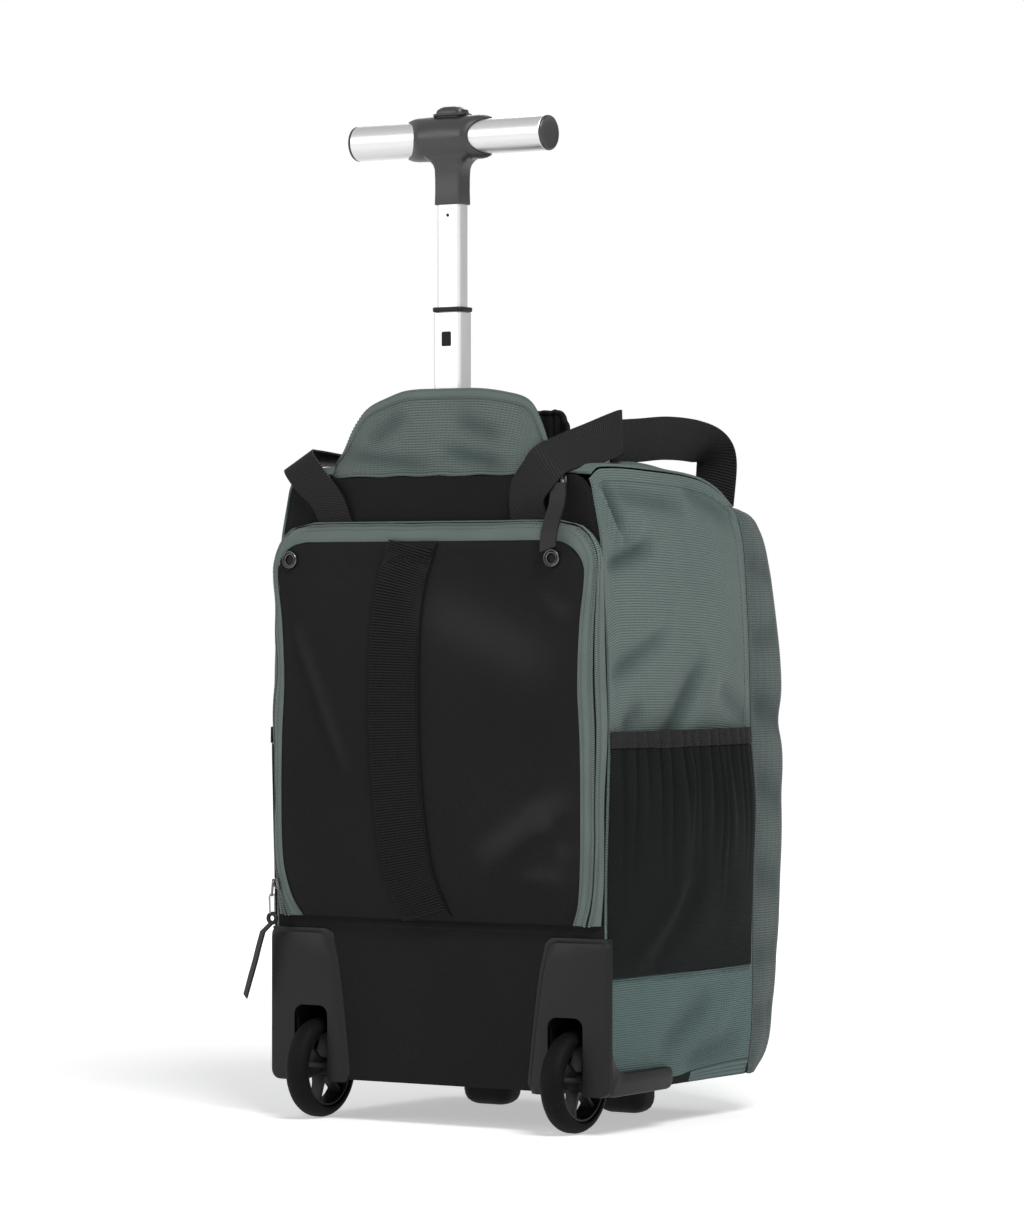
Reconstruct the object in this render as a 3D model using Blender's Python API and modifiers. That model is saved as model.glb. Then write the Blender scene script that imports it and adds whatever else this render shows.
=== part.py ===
"""Wheeled backpack with a telescopic T handle, standing on two wheels and two feet.

Units are metres, +Z is up. The back panel, the wheels and the handle are on the -Y side, the front
compartment on the +Y side. Every piece is first placed in the wheel frame, whose origin is on the floor
midway between the wheels, and the whole is then shifted so that the middle of its bounding box on the
floor is the world's origin.
"""

import math

import bmesh
import bpy
from mathutils import Matrix, Vector

# Clearances and cloth
SEAM_GAP = 0.0004
SLIDE_GAP = 0.0004
CURVED_GAP = 0.0012
CLOTH = 0.0018
THIN_CLOTH = 0.0014
MESH_CLOTH = 0.0012
PADDING = 0.0050

# Main form of the bag
BODY_BOTTOM = 0.0310
BODY_TOP = 0.4970
BODY_HALF_WIDTH = 0.1520
BACK_Y = -0.0100
FRONT_SEAM_Y = 0.1980
FRONT_Y = 0.2630
FRONT_CORNER = 0.0220
FRONT_CROWN = 0.0050
SIDE_BULGE = 0.0035
TOP_CROWN = 0.0105
PERIMETER_CORNER = 0.0120

# Height share of the body, half width share, front seam share, front face share
BODY_SECTIONS = (
    (0.000, 0.965, 1.018, 0.870),
    (0.030, 0.975, 1.022, 0.925),
    (0.070, 0.985, 1.026, 0.950),
    (0.150, 0.990, 1.030, 0.972),
    (0.330, 0.990, 1.035, 1.005),
    (0.450, 1.000, 1.040, 1.005),
    (0.570, 1.008, 0.995, 0.998),
    (0.710, 1.000, 0.990, 0.990),
    (0.800, 0.978, 1.000, 0.975),
    (0.890, 0.962, 0.990, 0.935),
    (0.945, 0.930, 0.970, 0.880),
    (1.000, 0.895, 0.950, 0.820),
)

# Depth share of the side from back to front seam, height share of its top edge
SIDE_TOP_EDGE = (
    (0.00, 0.985),
    (0.08, 1.000),
    (0.48, 0.998),
    (0.78, 0.988),
    (0.92, 0.968),
    (1.00, 0.940),
)

# Seams across the sides and the back
LOWER_SEAM_Z = 0.1160
BASE_SEAM_Z = 0.1560
PANEL_TOP_Z = 0.4930
PANEL_CORNER_X = 0.1180
PANEL_CORNER_RADIUS = 0.0240

# Padded back cover, its slanted gusset and the zip on it
COVER_HALF_WIDTH = 0.1350
COVER_TOP_Z = 0.4460
COVER_FACE_Y = -0.0300
COVER_EDGE_Y = -0.0265
COVER_FOOT_Y = -0.0150
COVER_CORNER = 0.0260
GUSSET_OUT = 0.0118
GUSSET_RISE = 0.0098
ZIP_WIDTH = 0.0050
ZIP_THICKNESS = 0.0012
COVER_WEB_WIDTH = 0.0400
WEB_THICKNESS = 0.0016
GROMMET_X = 0.1195
GROMMET_SHIFT = -0.0060
GROMMET_Z = 0.4300
GROMMET_RADIUS = 0.0070
GROMMET_HOLE = 0.0034
GROMMET_BARREL = 0.0040
GROMMET_FLANGE = 0.0009
BASE_SWELL = 0.0035
BASE_SWELL_SHARE = 0.53

# Height share of the cover, half width share, face share between the body and the full face
COVER_SECTIONS = (
    (0.00, 1.000, 0.05),
    (0.05, 1.010, 0.45),
    (0.14, 1.010, 0.88),
    (0.30, 1.005, 1.00),
    (0.48, 1.000, 1.02),
    (0.62, 0.985, 1.00),
    (0.78, 1.000, 1.04),
    (0.90, 1.030, 1.02),
    (1.00, 1.020, 0.94),
)

# Height share of the cover, middle of the ladder webbing as a share of the cover's half width
WEB_LINE = (
    (0.00, -0.015),
    (0.15, -0.096),
    (0.40, -0.159),
    (0.65, -0.166),
    (0.85, -0.122),
    (1.00, -0.056),
)

# Hood pocket over the grip
HOOD_HALF_WIDTH = 0.0970
HOOD_TOP_Z = 0.5595
HOOD_SEAM_Y = -0.0106
HOOD_BULGE = 0.0036
HOOD_END_Y = 0.0150
HOOD_LEAN = 0.0070
HOOD_CORNER = 0.0150
HOOD_BACK_Y = 0.0300
HOOD_BACK_TOP_Z = 0.5410
HOOD_FLOOR_Z = 0.4480
HOOD_GATHER = 0.0010
HOOD_GATHER_COUNT = 7
EDGING_HEIGHT = 0.0075
EDGING_THICKNESS = 0.0030

# Share of the half path from the middle to the hood's end, height share of its top edge
HOOD_EDGE = (
    (0.00, 1.000),
    (0.28, 0.985),
    (0.45, 0.900),
    (0.60, 0.790),
    (0.68, 0.640),
    (0.76, 0.430),
    (0.86, 0.200),
    (1.00, 0.120),
)

# Telescopic handle
POLE_Y = 0.0095
GRIP_Z = 0.7508
GRIP_TUBE_RADIUS = 0.0134
GRIP_HALF_LENGTH = 0.0860
GRIP_WALL = 0.0014
CAP_LENGTH = 0.0030
CAP_PLUG = 0.0120
HUB_RADIUS = 0.0176
HUB_HALF_LENGTH = 0.0375
HUB_FACE_HALF_LENGTH = 0.0235
HUB_BEVEL = 0.0030
NECK_BOTTOM_Z = 0.7000
NECK_WIDTH = 0.0250
NECK_DEPTH = 0.0170
SHOULDER_WIDTH = 0.0400
SHOULDER_DEPTH = 0.0240
BUTTON_WIDTH = 0.0250
BUTTON_DEPTH = 0.0150
BUTTON_PROUD = 0.0065
BUTTON_TRAVEL = 0.0020
UPPER_WIDTH = 0.0212
UPPER_DEPTH = 0.0132
UPPER_WALL = 0.0014
UPPER_LENGTH = 0.3800
LOWER_WIDTH = 0.0250
LOWER_DEPTH = 0.0170
LOWER_WALL = 0.0015
LOWER_LENGTH = 0.4000
LOWER_TOP_Z = 0.6180
COLLAR_HEIGHT = 0.0040
OUTER_WALL = 0.0016
TUBE_CORNER = 0.0028
LATCH_WIDTH = 0.0080
LATCH_HEIGHT = 0.0105
LATCH_DROP = 0.0150
LATCH_RECESS = 0.0002

# Wheels, housings and feet
WHEEL_RADIUS = 0.0385
WHEEL_WIDTH = 0.0190
WHEEL_X = 0.1160
TYRE_THICKNESS = 0.0090
HUB_WIDTH = 0.0150
BOSS_RADIUS = 0.0075
BOSS_WIDTH = 0.0240
AXLE_RADIUS = 0.0030
SPOKES = 6
WELL_CLEARANCE = 0.0060
HOUSING_WALL = 0.0030
HOUSING_OUT_X = 0.1545
HOUSING_IN_TOP_X = 0.0995
HOUSING_IN_BOTTOM_X = 0.0800
HOUSING_BACK_Y = -0.0134
HOUSING_TOP_Z = 0.1470
HOUSING_BOTTOM_Z = 0.0290
HOUSING_SIDE_Y = -0.0065
SKID_TOP_Z = 0.0460
SKID_FRONT_Y = 0.0800
SKID_CURVE = 0.0200
FOOT_X = 0.0620
FOOT_Y = 0.1600
FOOT_WIDTH = 0.0440
FOOT_DEPTH = 0.0300
FOOT_ROUND = 0.0110

# Mesh side pockets
POCKET_TOP_Z = 0.3010
HEM_HEIGHT = 0.0125
HEM_THICKNESS = 0.0024
POCKET_BACK_SHARE = 0.030
POCKET_FRONT_SHARE = 0.975
POCKET_BULGE = 0.0150
HEM_BULGE = 0.0090
POCKET_GATHERS = 3
GATHER_DEPTH = 0.0010

# Webbing carry handles and zip pullers
STRAP_WIDTH = 0.0300
STRAP_THICKNESS = 0.0016
PULLER_WIDTH = 0.0085
TAB_WIDTH = 0.0150
TAB_TAPER = 0.35
TAB_TIP = 0.80
PULLER_THICKNESS = 0.0016
SLIDER_WIDTH = 0.0065
SLIDER_LENGTH = 0.0095
SLIDER_HEIGHT = 0.0034
RING_WIRE = 0.0008
RING_WIDTH = 0.0058
RING_LENGTH = 0.0125
LINK_LENGTH = 0.0150
LEFT_SLIDER_Z = 0.1790
RIGHT_SLIDER_X = BODY_HALF_WIDTH * 0.7434
RIGHT_SLIDER_Z = 0.4880

# Share along the handle, then X, Y and Z of its upper edge and of its lower edge, as shares of the
# body's half width, of the side's depth and of the body's height
RIGHT_STRAP = (
    (0.00, 0.454, -0.0030, 0.9125, 0.651, -0.0030, 0.9125),
    (0.06, 0.455, -0.0150, 0.950, 0.645, -0.0200, 0.935),
    (0.11, 0.480, -0.0200, 0.979, 0.640, -0.0300, 0.953),
    (0.17, 0.548, -0.0280, 1.008, 0.705, -0.0340, 0.976),
    (0.22, 0.603, -0.0240, 1.030, 0.755, -0.0150, 0.996),
    (0.28, 0.668, 0.060, 1.050, 0.800, 0.060, 1.007),
    (0.36, 0.715, 0.183, 1.070, 0.805, 0.183, 1.012),
    (0.44, 0.752, 0.298, 1.089, 0.779, 0.298, 1.022),
    (0.50, 0.756, 0.375, 1.084, 0.765, 0.375, 1.024),
    (0.60, 0.757, 0.520, 1.083, 0.757, 0.520, 1.024),
    (0.74, 0.775, 0.710, 1.086, 0.750, 0.710, 1.028),
    (0.84, 0.805, 0.860, 1.070, 0.715, 0.875, 1.036),
    (0.93, 0.835, 0.950, 1.030, 0.660, 0.950, 1.024),
    (1.00, 0.825, 0.965, 0.975, 0.640, 0.965, 0.978),
)
LEFT_STRAP = (
    (0.00, -0.705, -0.0030, 0.9125, -0.510, -0.0030, 0.9125),
    (0.08, -0.750, -0.0180, 0.945, -0.560, -0.0180, 0.962),
    (0.16, -0.850, -0.0240, 0.972, -0.669, -0.0200, 1.006),
    (0.22, -0.920, -0.0150, 1.000, -0.753, -0.0100, 1.034),
    (0.28, -0.945, 0.040, 1.006, -0.770, 0.050, 1.036),
    (0.36, -0.925, 0.200, 1.013, -0.735, 0.200, 1.029),
    (0.55, -0.850, 0.450, 1.016, -0.655, 0.450, 1.030),
    (0.75, -0.820, 0.720, 1.018, -0.625, 0.720, 1.030),
    (0.90, -0.815, 0.900, 1.000, -0.620, 0.900, 1.004),
    (1.00, -0.815, 0.965, 0.975, -0.620, 0.965, 0.978),
)

# Share along the puller, then how far its middle line is from its start in X, Y and Z
PULLER_LEFT = (
    (0.0, 0.0, 0.0, 0.0),
    (0.3, -0.0052, -0.0006, -0.0176),
    (0.7, -0.0120, -0.0010, -0.0428),
    (1.0, -0.0176, -0.0015, -0.0624),
)
PULLER_RIGHT = (
    (0.0, 0.0, 0.0, 0.0),
    (0.4, 0.0008, -0.0092, -0.0133),
    (0.7, 0.0018, -0.0175, -0.0249),
    (1.0, 0.0023, -0.0187, -0.0398),
)
# From the lower end of the loop that carries a puller to the puller's start
PULLER_LEFT_SEAT = (-0.0023, 0.0003, -0.0014)
PULLER_RIGHT_SEAT = (-0.0001, 0.0004, -0.0014)

# Mesh resolution
TURNED_STEPS = 16
HUB_STEPS = 18


def read_table(table, position, column):
    """Value of a column at a position of a table's first column, by smooth interpolation."""
    if position <= table[0][0]:
        return table[0][column]
    if position >= table[-1][0]:
        return table[-1][column]
    index = 0
    while table[index + 1][0] < position:
        index += 1

    def slope(row):
        low = table[max(row - 1, 0)]
        high = table[min(row + 1, len(table) - 1)]
        return (high[column] - low[column]) / (high[0] - low[0])

    start, end = table[index], table[index + 1]
    span = end[0] - start[0]
    t = (position - start[0]) / span
    weights = (2 * t ** 3 - 3 * t ** 2 + 1, t ** 3 - 2 * t ** 2 + t, -2 * t ** 3 + 3 * t ** 2, t ** 3 - t ** 2)
    return (weights[0] * start[column] + weights[1] * span * slope(index)
            + weights[2] * end[column] + weights[3] * span * slope(index + 1))


def blend(start, end, share):
    """Linear mix of two numbers or vectors."""
    return start + (end - start) * share


# Materials


def material(name, colour, roughness, metallic=0.0):
    """A Principled material with one colour."""
    made = bpy.data.materials.new(name)
    made.use_nodes = True
    shader = made.node_tree.nodes["Principled BSDF"]
    shader.inputs["Base Color"].default_value = (*colour, 1.0)
    shader.inputs["Roughness"].default_value = roughness
    shader.inputs["Metallic"].default_value = metallic
    return made


for leftover in list(bpy.data.objects):
    bpy.data.objects.remove(leftover, do_unlink=True)

PARTS = bpy.data.collections.new("wheeled_backpack")
CUTTERS = bpy.data.collections.new("cutters")
bpy.context.scene.collection.children.link(PARTS)
bpy.context.scene.collection.children.link(CUTTERS)

RIPSTOP = material("green_ripstop", (0.10, 0.16, 0.14), 0.65)
TWILL = material("green_twill", (0.11, 0.17, 0.15), 0.75)
KNIT = material("black_knit", (0.015, 0.015, 0.016), 0.85)
WEBBING = material("black_webbing", (0.018, 0.018, 0.018), 0.7)
MESH = material("black_mesh", (0.02, 0.02, 0.022), 0.8)
PLASTIC = material("black_plastic", (0.022, 0.022, 0.024), 0.45)
RUBBER = material("black_rubber", (0.025, 0.025, 0.027), 0.6)
ALUMINIUM = material("satin_aluminium", (0.72, 0.73, 0.74), 0.3, 1.0)
STEEL = material("dark_steel", (0.25, 0.25, 0.26), 0.3, 1.0)


# Making objects


def add_object(name, mesh, finish, parent, collection=PARTS):
    """Link a mesh as a named object under a parent empty."""
    made = bpy.data.objects.new(name, mesh)
    collection.objects.link(made)
    if finish is not None:
        mesh.materials.clear()
        mesh.materials.append(finish)
    made.parent = parent
    return made


def add_empty(name, location, parent=None):
    """An empty that carries pieces or stands on a joint's axis."""
    made = bpy.data.objects.new(name, None)
    PARTS.objects.link(made)
    made.location = location
    made.parent = parent
    return made


def mesh_from(name, work):
    """A smooth shaded mesh from a bmesh, which is freed."""
    bmesh.ops.recalc_face_normals(work, faces=work.faces)
    if work.calc_volume(signed=True) < 0.0:
        bmesh.ops.reverse_faces(work, faces=work.faces)
    mesh = bpy.data.meshes.new(name)
    work.to_mesh(mesh)
    work.free()
    mesh.shade_smooth()
    mesh.set_sharp_from_angle(angle=math.radians(35))
    return mesh


def sheet_mesh(name, point, columns, rows):
    """An open grid whose points are a function of two shares from 0 to 1."""
    work = bmesh.new()
    bmesh.ops.create_grid(work, x_segments=columns, y_segments=rows, size=0.5)
    for vertex in work.verts:
        vertex.co = point(vertex.co.x + 0.5, vertex.co.y + 0.5)
    mesh = bpy.data.meshes.new(name)
    work.to_mesh(mesh)
    work.free()
    mesh.shade_smooth()
    return mesh


def sheet(name, point, columns, rows, thickness, finish, parent, offset=-1.0):
    """A cloth sheet: an open grid made solid, with offset -1 behind its normals and 1 in front."""
    made = add_object(name, sheet_mesh(name, point, columns, rows), finish, parent)
    solid = made.modifiers.new("thickness", "SOLIDIFY")
    solid.thickness = thickness
    solid.offset = offset
    return made


def box_mesh(name, low, high, bevel=0.0, segments=2):
    """A box between two corners with rounded edges."""
    low, high = Vector(low), Vector(high)
    work = bmesh.new()
    bmesh.ops.create_cube(work, size=1.0)
    bmesh.ops.scale(work, vec=high - low, verts=work.verts)
    bmesh.ops.translate(work, vec=(low + high) / 2, verts=work.verts)
    if bevel > 0.0:
        bmesh.ops.bevel(work, geom=work.edges, offset=bevel, segments=segments, profile=0.5, affect="EDGES")
    return mesh_from(name, work)


def outline_mesh(name, outlines, low, high, axis):
    """Flat outlines, the inner ones holes, extruded between two places along an axis, X, Y or Z."""
    flat = bpy.data.curves.new(name, "CURVE")
    flat.dimensions = "2D"
    flat.fill_mode = "BOTH"
    flat.extrude = (high - low) / 2
    for outline in outlines:
        spline = flat.splines.new("POLY")
        spline.points.add(len(outline) - 1)
        for point, (a, b) in zip(spline.points, outline):
            point.co = (a, b, 0.0, 1.0)
        spline.use_cyclic_u = True
    drawn = bpy.data.objects.new(name, flat)
    CUTTERS.objects.link(drawn)
    bpy.context.view_layer.update()
    mesh = bpy.data.meshes.new_from_object(drawn.evaluated_get(bpy.context.evaluated_depsgraph_get()))
    bpy.data.objects.remove(drawn)
    middle = (low + high) / 2
    turn = {"X": Matrix(((0, 0, 1), (1, 0, 0), (0, 1, 0))), "Y": Matrix(((1, 0, 0), (0, 0, -1), (0, 1, 0))),
            "Z": Matrix.Identity(3)}[axis]
    shift = {"X": Vector((middle, 0, 0)), "Y": Vector((0, middle, 0)), "Z": Vector((0, 0, middle))}[axis]
    work = bmesh.new()
    work.from_mesh(mesh)
    bmesh.ops.remove_doubles(work, verts=work.verts, dist=1e-5)
    for vertex in work.verts:
        vertex.co = turn @ vertex.co + shift
    return mesh_from(name, work)


def rounded_rectangle(width, depth, radius, steps=3):
    """Points of a rounded rectangle about the origin, anticlockwise."""
    points = []
    corners = ((1, 1, 0.0), (-1, 1, 0.5), (-1, -1, 1.0), (1, -1, 1.5))
    for across, along, start in corners:
        for step in range(steps + 1):
            angle = math.pi * (start + 0.5 * step / steps)
            points.append((across * (width / 2 - radius) + radius * math.cos(angle),
                           along * (depth / 2 - radius) + radius * math.sin(angle)))
    return points


def turned(name, profile, closed, finish, parent, steps=TURNED_STEPS):
    """A profile of (radius, place along X), outer side from the far end to the near one, turned about X."""
    mesh = bpy.data.meshes.new(name)
    points = [(radius, 0.0, along) for radius, along in profile]
    edges = [(k, k + 1) for k in range(len(points) - 1)]
    if closed:
        edges.append((len(points) - 1, 0))
    mesh.from_pydata(points, edges, [])
    made = add_object(name, mesh, finish, parent)
    screw = made.modifiers.new("turned", "SCREW")
    screw.axis = "Z"
    screw.steps = steps
    screw.render_steps = steps
    screw.use_merge_vertices = True
    screw.merge_threshold = 0.00001
    screw.use_smooth_shade = True
    made.rotation_euler = (0.0, math.pi / 2, 0.0)
    return made


def cylinder_mesh(name, radius, low, high, axis, steps=TURNED_STEPS, bevel=0.0):
    """A cylinder along an axis between two places on it."""
    work = bmesh.new()
    bmesh.ops.create_cone(work, cap_ends=True, segments=steps, radius1=radius, radius2=radius, depth=high - low)
    bmesh.ops.translate(work, vec=(0, 0, (low + high) / 2), verts=work.verts)
    if bevel > 0.0:
        rims = [edge for edge in work.edges if abs(edge.verts[0].co.z - edge.verts[1].co.z) < 1e-6]
        bmesh.ops.bevel(work, geom=rims, offset=bevel, segments=2, profile=0.5, affect="EDGES")
    turn = {"X": Matrix.Rotation(math.pi / 2, 3, "Y"), "Y": Matrix.Rotation(-math.pi / 2, 3, "X"),
            "Z": Matrix.Identity(3)}[axis]
    bmesh.ops.rotate(work, matrix=turn, verts=work.verts)
    return mesh_from(name, work)


def cutter(name, mesh, parent, location=(0, 0, 0)):
    """A hidden solid that cuts or joins another."""
    made = add_object(name, mesh, None, parent, CUTTERS)
    made.location = location
    made.hide_render = True
    made.display_type = "WIRE"
    return made


def combine(target, other, operation):
    """Join, cut or intersect one object with a hidden solid."""
    step = target.modifiers.new(other.name, "BOOLEAN")
    step.operation = operation
    step.solver = "EXACT"
    step.object = other


# The bag's form


def height_share(z):
    """Share of the body's height at a height above the floor."""
    return (z - BODY_BOTTOM) / (BODY_TOP - BODY_BOTTOM)


def side_top(depth):
    """Height of the side's top edge at a depth share."""
    return blend(BODY_BOTTOM, BODY_TOP, read_table(SIDE_TOP_EDGE, depth, 1))


def half_width(z):
    """Half width of the body at a height."""
    return BODY_HALF_WIDTH * read_table(BODY_SECTIONS, height_share(z), 1)


def seam_y(z):
    """Place of the seam between the side and the front compartment."""
    return FRONT_SEAM_Y * read_table(BODY_SECTIONS, height_share(z), 2)


def front_y(z):
    """Place of the front face at a height."""
    return FRONT_Y * read_table(BODY_SECTIONS, height_share(z), 3)


def side_point(side, depth, z, out=0.0):
    """Outer surface of a side, at a depth share from the back to the front seam."""
    swell = SIDE_BULGE * math.sin(math.pi * depth) * math.sin(math.pi * max(0.0, min(1.0, height_share(z))))
    return Vector((side * (half_width(z) + swell + out), blend(BACK_Y, seam_y(z), depth), z))


def signed(side, point):
    """A grid function that keeps its faces outward on either side of the bag."""
    if side > 0:
        return point
    return lambda u, v: point(1.0 - u, v)


def side_names():
    """Both sides of the bag with the sign of X on each."""
    return (("left", -1), ("right", 1))


def build_sides(parent):
    """Upper ripstop side panels and the lower side panels under the mesh pockets."""
    for word, side in side_names():
        def upper(u, v, side=side):
            return side_point(side, u, blend(LOWER_SEAM_Z + SEAM_GAP, side_top(u), v))

        def lower(u, v, side=side):
            return side_point(side, u, blend(BODY_BOTTOM, LOWER_SEAM_Z, v))

        sheet("side_panel_" + word, signed(side, upper), 6, 10, CLOTH, RIPSTOP, parent)
        low = sheet("lower_side_" + word, signed(side, lower), 6, 4, CLOTH, RIPSTOP, parent)
        combine(low, housing_room(word, side, parent), "DIFFERENCE")


def top_inset():
    """How far the pieces between the sides keep from the sides' outer faces."""
    return CLOTH * 1.15 + SEAM_GAP


def build_top(parent):
    """Crowned top panel between the sides, cut away for the hood pocket."""
    first = (CLOTH + SEAM_GAP * 2) / (FRONT_SEAM_Y - BACK_Y)

    def crown(u, v):
        depth = blend(first, 1.0, v)
        z = side_top(depth)
        across = 1.0 - 2.0 * u
        edge = half_width(z) - top_inset()
        rise = TOP_CROWN * (1.0 - abs(across) ** 2.4) * math.sin(math.pi * blend(0.12, 0.88, v))
        return Vector((across * edge, blend(BACK_Y, seam_y(z), depth), z + rise - CLOTH * 0.2))

    top = sheet("top_panel", crown, 10, 6, CLOTH, RIPSTOP, parent, offset=1.0)
    room = HOOD_HALF_WIDTH + THIN_CLOTH + SEAM_GAP * 2
    combine(top, cutter("hood_room", box_mesh("hood_room", (-room, -0.1, HOOD_FLOOR_Z - 0.1),
            (room, HOOD_BACK_Y + CLOTH + HOOD_GATHER + SEAM_GAP, HOOD_TOP_Z + 0.1)), parent), "DIFFERENCE")


def perimeter():
    """Outline of the front compartment: points with their outward directions, right foot to left foot."""
    seam_top = side_top(1.0)
    side_rows, top_columns, corner_steps = 9, 6, 2
    low_z, high_z = BODY_BOTTOM, seam_top - PERIMETER_CORNER
    right = []
    for row in range(side_rows + 1):
        z = blend(low_z, high_z, row / side_rows)
        right.append(((half_width(z), z), (1.0, 0.0)))
    centre = (half_width(high_z) - PERIMETER_CORNER, high_z)
    for step in range(1, corner_steps + 1):
        angle = math.pi / 2 * step / corner_steps
        out = (math.cos(angle), math.sin(angle))
        right.append(((centre[0] + PERIMETER_CORNER * out[0], centre[1] + PERIMETER_CORNER * out[1]), out))
    top = []
    for column in range(1, top_columns):
        across = 1.0 - 2.0 * column / top_columns
        rise = TOP_CROWN * 0.38 * (1.0 - abs(across) ** 2.4)
        top.append(((centre[0] * across, seam_top + rise), (0.0, 1.0)))
    left = [((-point[0], point[1]), (-out[0], out[1])) for point, out in reversed(right)]
    return right + top + left


def build_front(parent):
    """Gusset that runs up, over and down, and the plain front panel it frames."""
    path = perimeter()
    last = len(path) - 1
    steps = 4
    turn_from = 1

    def gusset(u, v):
        (x, z), out = path[last - round(u * last)]
        row = round(v * steps)
        seam = seam_y(z) + CURVED_GAP
        face = front_y(z) - FRONT_CORNER
        if row <= turn_from:
            share = row / turn_from
            inset = -0.0015 * math.sin(math.pi * share)
            y = blend(seam, face, share)
        else:
            angle = math.pi / 2 * (row - turn_from) / (steps - turn_from)
            inset = FRONT_CORNER * (1.0 - math.cos(angle))
            y = face + FRONT_CORNER * math.sin(angle)
        return Vector((x - inset * out[0], y, z - inset * out[1]))

    strip = sheet("front_gusset", gusset, last, steps, CLOTH, RIPSTOP, parent)
    strip.modifiers["thickness"].use_even_offset = True
    edge_top = side_top(1.0) - FRONT_CORNER - SEAM_GAP * 2

    def panel(u, v):
        across = 1.0 - 2.0 * u
        z = blend(BODY_BOTTOM, edge_top, v)
        edge = half_width(z) - FRONT_CORNER - SEAM_GAP * 2
        crown = FRONT_CROWN * (1.0 - across ** 4) * math.sin(math.pi * v) ** 0.6
        reach = front_y(z + FRONT_CORNER * v)
        return Vector((across * edge, reach + crown, z))

    sheet("front_panel", panel, 7, 8, CLOTH, RIPSTOP, parent)


def build_bottom(parent):
    """Flat underside between the sides, cut away for the wheel housings."""
    edge = half_width(BODY_BOTTOM) - top_inset() - 0.0006
    back = BACK_Y + CLOTH + SEAM_GAP * 2
    front = front_y(BODY_BOTTOM) - CLOTH - SEAM_GAP * 3
    corner = FRONT_CORNER + CLOTH
    middle = seam_y(BODY_BOTTOM)
    outline = [(-edge, back), (edge, back), (edge, middle)]
    for step in range(5):
        angle = math.pi / 2 * step / 4
        outline.append((edge - corner + corner * math.cos(angle), front - corner + corner * math.sin(angle)))
    for step in range(4, -1, -1):
        angle = math.pi / 2 * step / 4
        outline.append((-edge + corner - corner * math.cos(angle), front - corner + corner * math.sin(angle)))
    outline.append((-edge, middle))
    mesh = outline_mesh("bottom_panel", [outline], BODY_BOTTOM, BODY_BOTTOM + CLOTH, "Z")
    bottom = add_object("bottom_panel", mesh, KNIT, parent)
    for word, side in side_names():
        combine(bottom, bpy.data.objects["housing_room_" + word], "DIFFERENCE")


# Back of the bag


def panel_outline():
    """Outline of the back panel: straight sides and a top edge with rounded shoulders."""
    points = []
    rows = 8
    shoulder_z = PANEL_TOP_Z - PANEL_CORNER_RADIUS
    low_z = BASE_SEAM_Z + SEAM_GAP
    for row in range(rows + 1):
        z = blend(low_z, shoulder_z, row / rows)
        points.append((half_width(z) - top_inset(), z))
    start = points[-1][0]
    for step in range(1, 5):
        angle = math.pi / 2 * step / 4
        points.append((blend(start, PANEL_CORNER_X, 1.0 - math.cos(angle)),
                       shoulder_z + PANEL_CORNER_RADIUS * math.sin(angle)))
    return points + [(-x, z) for x, z in reversed(points)]


def build_back(parent):
    """Back panel behind the cover, and the base panel between the wheel housings."""
    outline = panel_outline()
    add_object("back_panel", outline_mesh("back_panel", [outline], BACK_Y, BACK_Y + CLOTH, "Y"), KNIT, parent)

    def base(u, v):
        across = 2.0 * u - 1.0
        z = blend(BODY_BOTTOM, BASE_SEAM_Z, v)
        edge = half_width(z) - top_inset()
        swell = BASE_SWELL * max(0.0, 1.0 - (abs(across) / BASE_SWELL_SHARE) ** 3) * math.sin(math.pi * v) ** 0.5
        return Vector((across * edge, BACK_Y - swell, z))

    low = sheet("base_panel", base, 14, 4, CLOTH, KNIT, parent)
    for word, side in side_names():
        combine(low, bpy.data.objects["housing_room_" + word], "DIFFERENCE")


def cover_half_width(z):
    """Half width of the cover at a height, with its rounded top corners."""
    share = (z - BASE_SEAM_Z) / (COVER_TOP_Z - BASE_SEAM_Z)
    width = COVER_HALF_WIDTH * read_table(COVER_SECTIONS, share, 1)
    below_top = COVER_TOP_Z - z
    if below_top < COVER_CORNER:
        rise = 1.0 - below_top / COVER_CORNER
        width -= COVER_CORNER * (1.0 - math.sqrt(max(0.0, 1.0 - rise * rise)))
    return width


def cover_edge_y(z):
    """Depth of the cover's edge at a height."""
    share = (z - BASE_SEAM_Z) / (COVER_TOP_Z - BASE_SEAM_Z)
    return blend(COVER_FOOT_Y, COVER_EDGE_Y, min(1.0, read_table(COVER_SECTIONS, share, 2)))


def cover_point(across, v):
    """Outer face of the padded cover: across from -1 to 1, v from the foot to the top."""
    z = blend(BASE_SEAM_Z + SEAM_GAP, COVER_TOP_Z, v)
    edge = cover_edge_y(z)
    crown = (COVER_FACE_Y - COVER_EDGE_Y) * (1.0 - abs(across) ** 3.2) * math.sin(math.pi * min(1.0, v * 0.97)) ** 0.45
    crease_z = blend(0.250, 0.330, (across + 1.0) / 0.7)
    crease = 0.0022 * math.exp(-((z - crease_z) / 0.014) ** 2) * max(0.0, 1.0 - ((across + 0.72) / 0.32) ** 2)
    return Vector((across * cover_half_width(z), edge + crown + crease, z))


def cover_rows():
    """Height shares of the cover's rows, closer together in the rounded top corners."""
    corner = COVER_CORNER / (COVER_TOP_Z - BASE_SEAM_Z)
    straight, bends = 8, 3
    rows = [(1.0 - corner) * k / straight for k in range(straight + 1)]
    return rows + [1.0 - corner * math.cos(math.pi / 2 * k / bends) for k in range(1, bends + 1)]


def cover_normal(across, v):
    """Outward direction of the cover's face."""
    step = 0.01
    along = cover_point(across + step, v) - cover_point(across - step, v)
    up = cover_point(across, v + step) - cover_point(across, v - step)
    return along.cross(up).normalized()


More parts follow.
